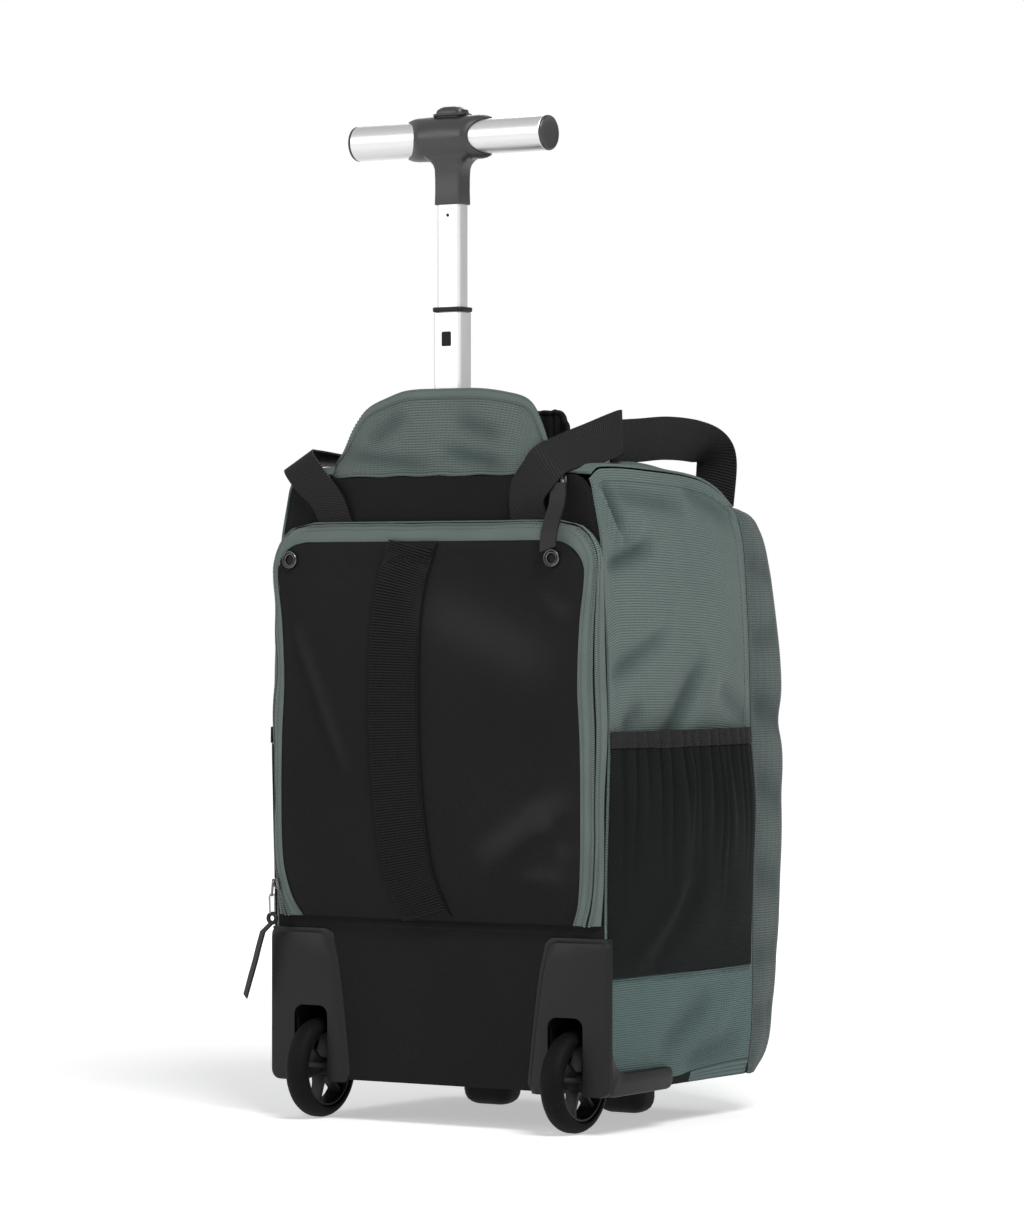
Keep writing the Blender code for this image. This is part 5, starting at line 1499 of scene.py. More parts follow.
@dataclass
class Underside:
    """Flat bottom of the bag and the base panel between the housings."""

    swell: float = 0.0035
    swell_share: float = 0.53

    def bottom_point(self, u: float, v: float) -> Vector:
        """Lower face of the bottom.

        Args:
            u: Share across the surface, from 0 to 1.
            v: Share up the surface, from 0 to 1.

        Returns:
            The place.
        """
        inset = FORM.cloth * 1.15 + FORM.gap + 0.0006
        edge = FORM.half_width(FORM.bottom) - inset
        back = FORM.back_y + FORM.cloth + FORM.gap * 2
        front = FORM.front_y(FORM.bottom) - FORM.cloth - FORM.gap * 3
        y = mix(back, front, v)
        corner = FORM.corner + FORM.cloth
        reach = edge
        if y > front - corner:
            rise = (y - front + corner) / corner
            reach = edge - corner * (1.0 - math.sqrt(max(0.0, 1.0 - rise * rise)))
        across = 2.0 * u - 1.0
        sag = 0.0085 * (1 - across ** 4) * math.sin(math.pi * clamp((y - 0.045) / 0.19)) if y > 0.045 else 0.0
        spot = Vector((across * max(reach, 0.02), y, FORM.bottom - sag))
        spot.z += 0.0012 * ripple(spot, 0.045, 15.0) * (1 - across ** 6) * smooth(y, 0.05, 0.09)
        return spot

    def base_point(self, u: float, v: float) -> Vector:
        """Back face of the base panel.

        Args:
            u: Share across the surface, from 0 to 1.
            v: Share up the surface, from 0 to 1.

        Returns:
            The place.
        """
        across = 2.0 * u - 1.0
        z = mix(FORM.bottom, FORM.base_seam, v)
        edge = FORM.half_width(z) - FORM.cloth * 1.15 - FORM.gap
        lift = max(0.0, 1.0 - (abs(across) / self.swell_share) ** 3)
        y = FORM.back_y - self.swell * lift * math.sin(math.pi * v) ** 0.5
        spot = Vector((across * edge, y, z))
        fade = smooth(v, 0.0, 0.12) * (1 - smooth(v, 0.90, 1.0)) * (1 - smooth(abs(across), 0.35, 0.6))
        folds = 0.0011 * ripple(spot, 0.060, 1.0) - 0.0010 * math.exp(-((z - 0.148) / 0.004) ** 2)
        spot.y -= folds * fade
        return spot

    def build(self, shop: Workshop) -> None:
        """Make both panels and the seam over the base.

        Args:
            shop: Workshop that makes the pieces.
        """
        shop.cloth("bottom_cloth", lambda u, v: self.bottom_point(1.0 - u, v), 100, 90, FORM.cloth,
                   PALETTE.knit,
                   ["bottom_panel"], keep=lambda spot: not WHEELS.takes(spot))
        shop.cloth("base_cloth", self.base_point, 120, 52, FORM.cloth, PALETTE.knit, ["base_panel"],
                   keep=lambda spot: not WHEELS.takes(spot))
        seam = [self.base_point(u, 1.0) + Vector((0, 0.0003, -0.0004)) for u in span(0.012, 0.988, 80)]
        shop.place("base_seam", tube(seam, 0.0008, 8), PALETTE.knit, Body.BAG)
        lines = [line_on(self.base_point, [(u, 0.955) for u in span(0.02, 0.98, 60)], 0.0001)]
        shop.stitches("base_stitches", lines, PALETTE.black_thread, 0.0032)


@dataclass
class BackPanel:
    """Black panel behind the padded cover, seen between the cover and the hood."""

    corner_x: float = 0.1180
    corner: float = 0.0240

    def edge(self, z: float) -> float:
        """Half width at a height, with the rounded shoulders.

        Args:
            z: Height.

        Returns:
            Half of the width.
        """
        inset = FORM.cloth * 1.15 + FORM.gap
        shoulder = FORM.panel_top - self.corner
        width = FORM.half_width(min(z, shoulder)) - inset
        if z > shoulder:
            rise = (z - shoulder) / self.corner
            width = mix(width, self.corner_x, 1.0 - math.sqrt(max(0.0, 1.0 - rise * rise)))
        return width

    def point(self, u: float, v: float) -> Vector:
        """Outer face of the panel, with rows drawn together in the shoulders.

        Args:
            u: Share across the surface, from 0 to 1.
            v: Share up the surface, from 0 to 1.

        Returns:
            The place.
        """
        low = FORM.base_seam + FORM.gap
        shoulder_share = (FORM.panel_top - self.corner - low) / (FORM.panel_top - low)
        if v > shoulder_share:
            t = (v - shoulder_share) / (1 - shoulder_share)
            z = FORM.panel_top - self.corner * (1 - math.sin(math.pi / 2 * t))
        else:
            z = mix(low, FORM.panel_top, v)
        across = 2.0 * u - 1.0
        spot = Vector((across * self.edge(z), FORM.back_y, z))
        show = smooth(z, 0.45, 0.462) * (1 - smooth(z, 0.482, 0.4928)) * (1 - smooth(abs(across), 0.90, 1.0))
        spot.y += show * (0.0013 * abs(ripple(spot, 0.040, 7.0)) + 0.0006)
        return spot

    def build(self, shop: Workshop) -> None:
        """Make the panel and its stitches.

        Args:
            shop: Workshop that makes the pieces.
        """
        shop.cloth("back_cloth", self.point, 90, 90, FORM.cloth, PALETTE.knit, ["back_panel"])
        lines = [line_on(self.point, [(u, v) for v in span(0.80, 0.97, 20)], 0.0001) for u in (0.015, 0.985)]
        shop.stitches("back_stitches", lines, PALETTE.black_thread, 0.0032)


@dataclass
class BackCover:
    """Padded cover with its twill gusset, zip line, ladder webbing and eyelets."""

    half: float = 0.1350
    top: float = 0.4460
    face_y: float = -0.0300
    edge_y: float = -0.0265
    foot_y: float = -0.0150
    corner: float = 0.0260
    padding: float = 0.0050
    out: float = 0.0118
    rise: float = 0.0098
    web_width: float = 0.0455
    ribs: float = 0.92
    web_wall: float = 0.0016
    eyelet_x: float = 0.1195
    eyelet_shift: float = -0.0060
    eyelet_z: float = 0.4300
    zip_share: float = 0.56
    zip_share_top: float = 0.86
    outer_x: Table = ((0.156, 0.1465), (0.190, 0.1490), (0.250, 0.1495), (0.302, 0.1522), (0.350, 0.1505),
                      (0.441, 0.1480), (0.446, 0.1480))
    sections: Table = ((0.00, 0.905, 0.05), (0.05, 0.958, 0.45), (0.14, 0.995, 0.88), (0.30, 1.005, 1.00),
                       (0.48, 1.000, 1.02), (0.62, 0.985, 1.00), (0.78, 1.000, 1.04), (0.90, 1.030, 1.02),
                       (1.00, 1.020, 0.94))
    web_line: Table = ((0.00, -0.030), (0.15, -0.122), (0.40, -0.184), (0.65, -0.196), (0.85, -0.165),
                       (1.00, -0.080))
    creases: tuple[Crease, ...] = (
        Crease((-0.128, 0.372), (-0.082, 0.268), 0.0062, -0.0024),
        Crease((-0.118, 0.376), (-0.072, 0.270), 0.0055, 0.0016),
        Crease((0.004, 0.392), (0.108, 0.352), 0.0200, 0.0022),
        Crease((0.052, 0.208), (0.124, 0.252), 0.0105, 0.0026),
        Crease((0.070, 0.192), (0.128, 0.232), 0.0080, -0.0026),
        Crease((0.096, 0.244), (0.126, 0.208), 0.0080, 0.0020),
        Crease((0.080, 0.196), (0.122, 0.192), 0.0070, 0.0018),
        Crease((0.060, 0.180), (0.118, 0.170), 0.0120, -0.0018),
        Crease((-0.110, 0.195), (-0.050, 0.180), 0.0140, -0.0014),
        Crease((0.098, 0.420), (0.126, 0.404), 0.0070, -0.0018),
        Crease((0.106, 0.406), (0.128, 0.386), 0.0060, 0.0014),
        Crease((-0.030, 0.428), (0.060, 0.434), 0.0080, -0.0010),
    )
    rim: list = field(default_factory=list)

    def share(self, z: float) -> float:
        """Height share of the cover."""
        return (z - FORM.base_seam) / (self.top - FORM.base_seam)

    def half_width(self, z: float) -> float:
        """Half width at a height, with the rounded top corners.

        Args:
            z: Height.

        Returns:
            Half of the width.
        """
        width = self.half * read_table(self.sections, self.share(z), 1)
        below = self.top - z
        if below < self.corner:
            lift = 1.0 - below / self.corner
            width -= self.corner * (1.0 - math.sqrt(max(0.0, 1.0 - lift * lift)))
        return width

    def point(self, across: float, v: float) -> Vector:
        """Outer face, across from -1 to 1 and v from the foot to the top.

        Args:
            across: From -1 at the left to 1 at the right.
            v: Share up the cover.

        Returns:
            The place.
        """
        z = mix(FORM.base_seam + FORM.gap, self.top, v)
        edge = mix(self.foot_y, self.edge_y, min(1.0, read_table(self.sections, self.share(z), 2)))
        rise = math.sin(math.pi * min(1.0, v * 0.97)) ** 0.45
        crown = (self.face_y - self.edge_y) * (1 - abs(across) ** 3.2) * rise
        wide = self.half_width(z)
        spot = Vector((across * wide, edge + crown, z))
        inside = min((1 - abs(across)) * wide, self.top - z)
        roll = 0.0026 * (1 - smooth(inside, 0.0, 0.010)) ** 1.5
        dent = dents_at(self.creases, spot.x, z)
        dent += 0.0009 * ripple(Vector((spot.x, 0.0, z)), 0.070, 11.0)
        spot.y -= dent * smooth(inside, 0.004, 0.016)
        spot.y += roll
        return spot

    def rows(self, count: int) -> list[float]:
        """Height shares of the rows, closer together in the rounded corners.

        Args:
            count: Number of rows.

        Returns:
            Shares from 0 to 1.
        """
        share = self.corner / (self.top - FORM.base_seam)
        bends = max(6, count // 5)
        straight = count - bends
        low = [(1.0 - share) * k / straight for k in range(straight + 1)]
        return low + [1.0 - share * math.cos(math.pi / 2 * k / bends) for k in range(1, bends)] + [1.0]

    def trace(self) -> None:
        """The cover's edge from the right foot over the top to the left foot, with outward directions."""
        right = []
        for v in self.rows(110):
            z = mix(FORM.base_seam + FORM.gap, self.top, v)
            edge = mix(self.foot_y, self.edge_y, min(1.0, read_table(self.sections, self.share(z), 2)))
            lift = max(0.0, 1.0 - (self.top - z) / self.corner)
            out = Vector((math.sqrt(max(0.0, 1.0 - lift * lift)), 0.0, lift))
            right.append((Vector((self.half_width(z), edge, z)), out))
        reach, y = right[-1][0].x, right[-1][0].y
        top = [(Vector((reach * (1 - 2 * k / 60), y, self.top)), Vector((0, 0, 1))) for k in range(1, 60)]
        left = [(Vector((-p.x, p.y, p.z)), Vector((-o.x, 0.0, o.z))) for p, o in reversed(right)]
        self.rim = right + top + left

    def gusset(self, index: int, share: float, lift: float = 0.0) -> Vector:
        """A place on the slanted gusset: share 0 at the cover's edge, 1 at the body.

        Args:
            index: Point of the cover's edge.
            share: Share across the gusset, 0 at the cover's edge.
            lift: How far off the surface.

        Returns:
            The place.
        """
        point, out = self.rim[index]
        start = point + out * (FORM.gap + 0.0002) + Vector((0, mix(0.0022, 0.0006, out.z), -0.0030 * out.z))
        aside = read_table(self.outer_x, point.z, 1) - abs(point.x)
        reach = mix(clamp(aside, self.out * 0.8, self.out * 2.4), self.rise + 0.0012, abs(out.z))
        end = Vector((point.x + out.x * reach, FORM.back_y - FORM.gap - FORM.thin * 0.8,
                      point.z + out.z * reach))
        slope = (end - start).normalized()
        normal = slope.cross(Vector((-out.z, 0.0, out.x))).normalized()
        if normal.dot(out) < 0.0:
            normal.negate()
        turn = self.zip_at(index)
        plump = mix(0.0032, 0.0046, out.z)
        roll = plump * math.sin(math.pi * clamp(share / turn)) ** 0.6
        outer = 0.0018 * math.sin(math.pi * clamp((share - turn) / (1 - turn))) ** 0.8
        wavy = 0.0019 * ripple(mix(start, end, share), 0.032, 12.0) * math.sin(math.pi * share)
        bridge = 0.0013 * math.exp(-((share - turn) / 0.12) ** 2)
        return mix(start, end, share) + normal * (roll + outer + bridge + wavy + lift)

    def zip_at(self, index: int) -> float:
        """Share of the gusset at which the zip lies."""
        return mix(self.zip_share, self.zip_share_top, self.rim[index][1].z)

    def facing(self, index: int, share: float) -> Vector:
        """Direction that the gusset faces.

        Args:
            index: Point of the cover's edge.
            share: Share across the gusset, 0 at the cover's edge.

        Returns:
            The direction, outward.
        """
        last = len(self.rim) - 1
        along = self.gusset(min(index + 1, last), share) - self.gusset(max(index - 1, 0), share)
        across = self.gusset(index, min(share + 0.02, 1.0)) - self.gusset(index, max(share - 0.02, 0.0))
        facing = across.cross(along).normalized()
        out = self.rim[index][1] + Vector((0, -1, 0))
        return facing if facing.dot(out) > 0 else -facing

    def gusset_line(self, aside: float, lift: float) -> Line:
        """A line along the gusset, a share aside of the zip.

        Args:
            aside: Share aside of the zip.
            lift: How far off the surface.

        Returns:
            The line with its facings.
        """
        indices = range(0, len(self.rim), 2)
        shares = [clamp(self.zip_at(k) + aside, 0.06, 0.97) for k in indices]
        facings = [self.facing(k, share) for k, share in zip(indices, shares)]
        return Line([self.gusset(k, share) + f * lift for k, share, f in zip(indices, shares, facings)],
                    facings)

    def web(self, u: float, v: float) -> Vector:
        """Face of the ladder webbing.

        Args:
            u: Share across the surface, from 0 to 1.
            v: Share up the surface, from 0 to 1.

        Returns:
            The place.
        """
        share = mix(0.012, 0.985, v)
        z = mix(FORM.base_seam, self.top, share)
        x = read_table(self.web_line, share, 1) * self.half + (2.0 * u - 1.0) * self.web_width / 2
        point = self.point(x / self.half_width(z), share)
        return point + Vector((0.0, -FORM.gap - 0.0003, 0.0))

    def build(self, shop: Workshop) -> None:
        """Make cover, gusset, zip line, webbing, eyelets and stitches.

        Args:
            shop: Workshop that makes the pieces.
        """
        self.trace()
        rows = self.rows(96)

        def face(u: float, v: float) -> Vector:
            """The cover on its drawn-together rows."""
            return self.point(2.0 * u - 1.0, rows[round(v * (len(rows) - 1))])

        # The fold mask gives the height of the cover's ridges, which the knit paints as a highlight.
        mesh, _, _ = shop.grid(face, 96, len(rows) - 1,
                               fold=lambda spot: dents_at(self.creases, spot.x, spot.z) / 0.0026)
        cover = shop.place("cover_pad", shop.thicken(mesh, self.padding, -1.0), PALETTE.knit, Body.BAG,
                           ["back_cover"], 60.0)
        last = len(self.rim) - 1
        shop.cloth("gusset_cover", lambda u, v: self.gusset(last - round(u * last), v), last, 18, FORM.thin,
                   PALETTE.twill, ["cover_gusset"])
        self.build_zip(shop)
        self.build_web(shop)
        self.build_eyelets(shop)

    def build_zip(self, shop: Workshop) -> None:
        """The zip's dark line, its ticks on both sides and the stitch rows.

        Args:
            shop: Workshop that makes the pieces.
        """
        last = len(self.rim) - 1
        half = 0.0009

        def strip(u: float, v: float) -> Vector:
            """Dark strip in the groove."""
            index = last - round(u * last)
            return self.gusset(index, self.zip_at(index) + (v - 0.5) * half * 100, 0.0004)

        shop.cloth("zip_line", strip, last, 2, 0.0007, PALETTE.dark, ["zip_coil"], offset=1.0, sheet=False)
        ticks = [self.gusset_line(-0.08, 0.0005), self.gusset_line(0.08, 0.0005)]
        shop.row("zip_ticks", ticks, Grain.BAR, 0.0017, (0.0009, 0.0018, 0.0008), PALETTE.zip_tooth)
        seams = [self.gusset_line(aside, 0.0003) for aside in (-0.44, -0.20, 0.20)]
        shop.stitches("zip_stitches", seams, PALETTE.green_thread, 0.0030, 0.0020)

    def build_web(self, shop: Workshop) -> None:
        """The ladder webbing, its ribs and the zigzag tack at its top.

        Args:
            shop: Workshop that makes the pieces.
        """
        shop.cloth("web_ladder", self.web, 20, 150, self.web_wall, PALETTE.ladder, ["cover_webbing"],
                   offset=1.0,
                   sheet=False)
        lift = self.web_wall + 0.0002
        ribs = line_on(self.web, [(0.5, v) for v in span(0.006, 0.992, 160)], lift)
        shop.row("web_ribs", [ribs], Grain.BAR, 0.00205, (0.0010, self.web_width * self.ribs, 0.0010),
                 PALETTE.web_rib)
        tack = [self.web(u, 0.952 + (0.010 if k % 2 else 0.0)) + Vector((0, -lift - 0.0007, 0))
                for k, u in enumerate(span(0.10, 0.90, 27))]
        shop.place("web_tack", tube(tack, 0.00035, 6), PALETTE.black_thread, Body.BAG)

    def build_eyelets(self, shop: Workshop) -> None:
        """Two rolled metal eyelets, each with a dark plug in its hole as painted shade.

        Args:
            shop: Workshop that makes the pieces.
        """
        profile = ((0.0037, 0.0026), (0.0037, 0.0000), (0.0040, -0.0008), (0.0045, -0.0010),
                   (0.0050, -0.0003), (0.0054, -0.0003), (0.0059, -0.0014), (0.0064, -0.0016),
                   (0.0069, -0.0010), (0.0071, 0.0002), (0.0064, 0.0006), (0.0044, 0.0007),
                   (0.0042, 0.0026))
        for word, side in SIDES:
            across = (side * self.eyelet_x + self.eyelet_shift) / self.half_width(self.eyelet_z)
            v = self.share(self.eyelet_z)
            step = 0.03
            along = self.point(across + step, v) - self.point(across - step, v)
            up = self.point(across, v + step) - self.point(across, v - step)
            facing = along.cross(up).normalized()
            seat = self.point(across, v) + facing * 0.0009
            shop.place(f"eyelet_{word}", turned(profile, seat, -facing, 40), PALETTE.eyelet, Body.BAG,
                       [f"grommet_{word}"])
            # Painted shade: a dark plug fills the eyelet's hole, standing in for the shade inside it.
            rings = ((0.00365, 0.0012), (0.00365, 0.0006))
            hole = turned(rings, seat, -facing, 24, closed=False)
            shop.place(f"eyelet_hole_{word}", hole, PALETTE.dark, Body.BAG)


@dataclass
class HoodPocket:
    """Green hood over the grip's pocket, its twill edge, black gathered back and floor."""

    half: float = 0.0970
    top: float = 0.5595
    seam_y: float = -0.0106
    bulge: float = 0.0036
    end_y: float = 0.0150
    lean: float = 0.0070
    corner: float = 0.0150
    back_y: float = 0.0300
    back_top: float = 0.5410
    floor_z: float = 0.4480
    edging: float = 0.0075
    edging_wall: float = 0.0030
    pull_in: float = 0.0055
    push_out: float = 0.0050
    flare: float = 0.0075
    outline: Table = ((0.00, 1.000), (0.28, 0.985), (0.45, 0.900), (0.60, 0.790), (0.68, 0.640),
                      (0.76, 0.430), (0.86, 0.200), (1.00, 0.120))
    outline_right: Table = ((0.00, 1.000), (0.28, 0.990), (0.45, 0.945), (0.60, 0.870), (0.68, 0.760),
                            (0.76, 0.560), (0.86, 0.260), (1.00, 0.140))
    creases: tuple[Crease, ...] = (
        Crease((-0.080, 0.510), (-0.010, 0.500), 0.0060, -0.0020),
        Crease((-0.060, 0.520), (-0.030, 0.540), 0.0070, -0.0018),
        Crease((0.010, 0.512), (0.060, 0.500), 0.0065, -0.0024),
        Crease((0.020, 0.535), (0.058, 0.522), 0.0075, -0.0018),
    )

    def path(self, u: float, grow: float = 0.0) -> tuple[float, float]:
        """Plan of the front from the left end to the right end.

        Args:
            u: Share across the surface, from 0 to 1.
            grow: How far the plan is moved outward.

        Returns:
            Place (X, Y).
        """
        half, seam = self.half + grow, self.seam_y - grow
        runs = (self.end_y - seam - self.corner, math.pi / 2 * self.corner, half - self.corner)
        along = abs(2.0 * u - 1.0) * sum(runs)
        side = 1.0 if u >= 0.5 else -1.0
        if along <= runs[2]:
            return side * along, seam
        along -= runs[2]
        if along <= runs[1]:
            angle = along / self.corner
            x = half - self.corner + self.corner * math.sin(angle)
            return side * x, seam + self.corner * (1.0 - math.cos(angle))
        return side * half, seam + self.corner + along - runs[1]

    def height(self, u: float) -> float:
        """Height of the top edge."""
        table = self.outline_right if u > 0.5 else self.outline
        return mix(FORM.panel_top, self.top, read_table(table, abs(2.0 * u - 1.0), 1))

    def point(self, u: float, z: float, out: float = 0.0) -> Vector:
        """Outer face of the front.

        Args:
            u: Share across the surface, from 0 to 1.
            z: Height.
            out: How far the face is moved outward.

        Returns:
            The place.
        """
        x, y = self.path(u, out)
        rise = (z - FORM.panel_top) / (self.top - FORM.panel_top)
        middle = max(0.0, 1.0 - (abs(x) / self.half) ** 3)
        swell = self.bulge * math.sin(math.pi * min(1.0, 0.15 + rise * 0.7)) ** 0.8
        y -= swell * middle * min(1.0, rise * 4.0)
        if x < 0.0:
            x -= self.flare * (1 - smooth(rise, 0.0, 0.34)) * smooth(-x, 0.055, self.half)
            x += self.pull_in * smooth(rise, 0.05, 0.45) * smooth(-x, 0.05, self.half)
        else:
            x += self.push_out * smooth(rise, 0.25, 0.80) * smooth(x, 0.02, 0.07)
        spot = Vector((x + self.lean * max(0.0, rise) ** 1.5, y, z))
        folds = 0.0016 * ripple(Vector((spot.x, 0, z)), 0.032, 14.0)
        folds += 0.0008 * math.sin(spot.x * 95.0 + z * 40.0)
        folds += dents_at(self.creases, spot.x, z)
        spot.y -= folds * middle * smooth(rise, 0.02, 0.25)
        return spot

    def edging_height(self, u: float) -> float:
        """Height of the twill edge, lower where the hood runs out."""
        room = (self.height(u) - FORM.panel_top) / (self.top - FORM.panel_top)
        return self.edging * min(1.0, 0.35 + 1.6 * room)

    def front(self, u: float, v: float) -> Vector:
        """Green face below the edging.

        Args:
            u: Share across the surface, from 0 to 1.
            v: Share up the surface, from 0 to 1.

        Returns:
            The place.
        """
        wave = 0.0004 * math.sin(u * 40.0)
        top = self.height(u) - self.edging_height(u) + 0.0022
        return self.point(u, mix(FORM.panel_top + FORM.gap + wave, top, v))

    def edge(self, u: float, v: float) -> Vector:
        """Twill edge, round in section.

        Args:
            u: Share across the surface, from 0 to 1.
            v: Share up the surface, from 0 to 1.

        Returns:
            The place.
        """
        top = self.height(u)
        z = mix(top - self.edging_height(u), top, v)
        return self.point(u, z, 0.0004 + 0.0011 * math.sin(math.pi * v) ** 0.7)

    def back(self, u: float, v: float) -> Vector:
        """Inner face of the gathered back.

        Args:
            u: Share across the surface, from 0 to 1.
            v: Share up the surface, from 0 to 1.

        Returns:
            The place.
        """
        runs = (self.back_y - self.end_y - self.corner - FORM.gap, math.pi / 2 * self.corner,
                self.half - self.corner)
        along = abs(2.0 * u - 1.0) * sum(runs)
        side = 1.0 if u >= 0.5 else -1.0
        if along <= runs[2]:
            x, y = along, self.back_y
        elif along <= runs[2] + runs[1]:
            angle = (along - runs[2]) / self.corner
            x, y = self.half - self.corner + self.corner * math.sin(angle), \
                self.back_y - self.corner * (1.0 - math.cos(angle))
        else:
            x, y = self.half, self.back_y - self.corner - (along - runs[2] - runs[1])
        across = abs(2.0 * u - 1.0)
        drop = max(0.0, (across - 0.78) / 0.22) ** 1.5
        top = mix(self.back_top, FORM.panel_top + 0.012, drop)
        z = mix(self.floor_z + FORM.thin + FORM.gap, top, v)
        gather = 0.5 - 0.5 * math.cos(2 * math.pi * 26 * u + 2.0 * noise.noise(Vector((u * 30, 0, 3))))
        y += (0.0016 * gather + 0.0006 * noise.noise(Vector((u * 60, v * 4, 1)))) * smooth(v, 0.35, 1.0)
        z += 0.0016 * noise.noise(Vector((u * 44, 0, 8))) * smooth(v, 0.8, 1.0)
        return Vector((side * x, y, z))

    def build(self, shop: Workshop) -> None:
        """Make front, edging, back, floor and stitches.

        Args:
            shop: Workshop that makes the pieces.
        """
        # The fold mask gives the depth of the hood's creases, which the ripstop paints as shade.
        shop.cloth("hood_face", self.front, 150, 34, FORM.cloth, PALETTE.ripstop_hood, ["hood_front"],
                   fold=lambda p: -dents_at(self.creases, p.x, p.z) / 0.0030)
        shop.cloth("hood_tape", self.edge, 150, 12, self.edging_wall, PALETTE.twill, ["hood_edging"],
                   sheet=False)
        shop.cloth("hood_gather", lambda u, v: self.back(1.0 - u, v), 260, 26, FORM.thin, PALETTE.knit,
                   ["hood_back"], offset=1.0, held="gathered")
        inner = self.half - FORM.cloth - FORM.gap
        low, high = FORM.back_y + FORM.cloth + 2 * FORM.gap, self.back_y - FORM.gap

        def floor(u: float, v: float) -> Vector:
            """Floor of the pocket."""
            return Vector((mix(-inner, inner, u), mix(low, high, v), self.floor_z + FORM.thin))

        shop.cloth("hood_base", floor, 70, 16, FORM.thin, PALETTE.knit, ["hood_floor"],
                   keep=lambda s: not (abs(s.x) < 0.0150 and abs(s.y - 0.0095) < 0.0110))
        hem = [self.back(u, 1.0) + Vector((0, 0.0006, 0)) for u in span(0.02, 0.98, 240)]
        shop.place("hood_elastic", tube(hem, 0.0019, 8), PALETTE.knit, Body.BAG)
        lines = [line_on(self.edge, [(u, v) for u in span(0.03, 0.97, 120)], SEAM_LIFT) for v in (0.12, 0.80)]
        lines.append(line_on(self.front, [(u, 0.05) for u in span(0.06, 0.94, 90)], SEAM_LIFT))
        shop.stitches("hood_stitches", lines, PALETTE.green_thread, 0.0030, 0.0021)


@dataclass
class Telescope:
    """Fixed tube and the two sliding stages."""

    y: float = 0.0095
    corner: float = 0.0028
    # Width, depth, wall, low end and high end of each tube
    fixed: tuple[float, ...] = (0.0290, 0.0210, 0.0016, 0.0332, 0.4498)
    lower: tuple[float, ...] = (0.0250, 0.0170, 0.0015, 0.2180, 0.6180)
    upper: tuple[float, ...] = (0.0212, 0.0132, 0.0014, 0.3566, 0.7366)
    latch_z: float = 0.59775
    pin_z: float = 0.6920

    def section(self, width: float, depth: float, z: float, corner: Optional[float] = None) -> list[Vector]:
        """A ring of the tube at a height."""
        return level_ring(rounded(width, depth, corner or self.corner), 0.0, self.y, z)

    def hollow(self, width: float, depth: float, wall: float, low: float, high: float) -> bpy.types.Mesh:
        """A hollow tube with slightly broken end edges.

        Args:
            width: Width.
            depth: Depth.
            wall: Wall.
            low: Low end.
            high: High end.

        Returns:
            The mesh.
        """
        ease = 0.0003
        inner = max(self.corner - wall, 0.0008)
        outside = [self.section(width - 2 * ease, depth - 2 * ease, low),
                   self.section(width, depth, low + ease),
                   self.section(width, depth, high - ease),
                   self.section(width - 2 * ease, depth - 2 * ease, high)]
        inside = [self.section(width - 2 * wall, depth - 2 * wall, high, inner),
                  self.section(width - 2 * wall, depth - 2 * wall, low, inner)]
        return skin(outside + inside, closed=True)

    def build(self, shop: Workshop) -> None:
        """Make the tubes, the collar, the latch and the pin.

        Args:
            shop: Workshop that makes the pieces.
        """
        for name, sizes, body, node in (("tube_fixed", self.fixed, Body.BAG, "outer_tube"),
                                        ("tube_lower", self.lower, Body.LOWER, "lower_tube"),
                                        ("tube_upper", self.upper, Body.UPPER, "upper_tube")):
            shop.place(name, self.hollow(*sizes), PALETTE.pole, body, [node], 30.0)
        collar = []
        for swell, z in ((0.0, 0.6184), (0.0006, 0.6188), (0.0008, 0.6202), (0.0007, 0.6214),
                         (0.0001, 0.6220)):
            collar.append(self.section(0.0254 + 2 * swell, 0.0174 + 2 * swell, z, self.corner + swell))
        for z in (0.6220, 0.6184):
            collar.append(self.section(0.0220, 0.0140, z, 0.0020))
        shop.place("collar_ring", skin(collar, closed=True), PALETTE.plastic, Body.LOWER, ["stage_collar"],
                   50.0)
        front = self.y - self.lower[1] / 2
        steps = ((0.0086, 0.0112, 0.0012), (0.0086, 0.0112, -0.0001), (0.0080, 0.0106, -0.0002),
                 (0.0066, 0.0092, -0.00012))
        latch = [[Vector((x, front + depth, self.latch_z + z)) for x, z in rounded(w, h, 0.0012)]
                 for w, h, depth in steps]
        shop.place("latch_pad", skin(latch), PALETTE.dark, Body.LOWER, ["latch_button"])
        pin_front = self.y - self.upper[1] / 2
        pin = ((0.0011, -0.0002), (0.0016, 0.0001), (0.0016, 0.0006))
        shop.place("pole_pin",
                   turned(pin, Vector((0.0, pin_front, self.pin_z)), Vector((0, 1, 0)), 20, False),
                   PALETTE.dark, Body.UPPER)


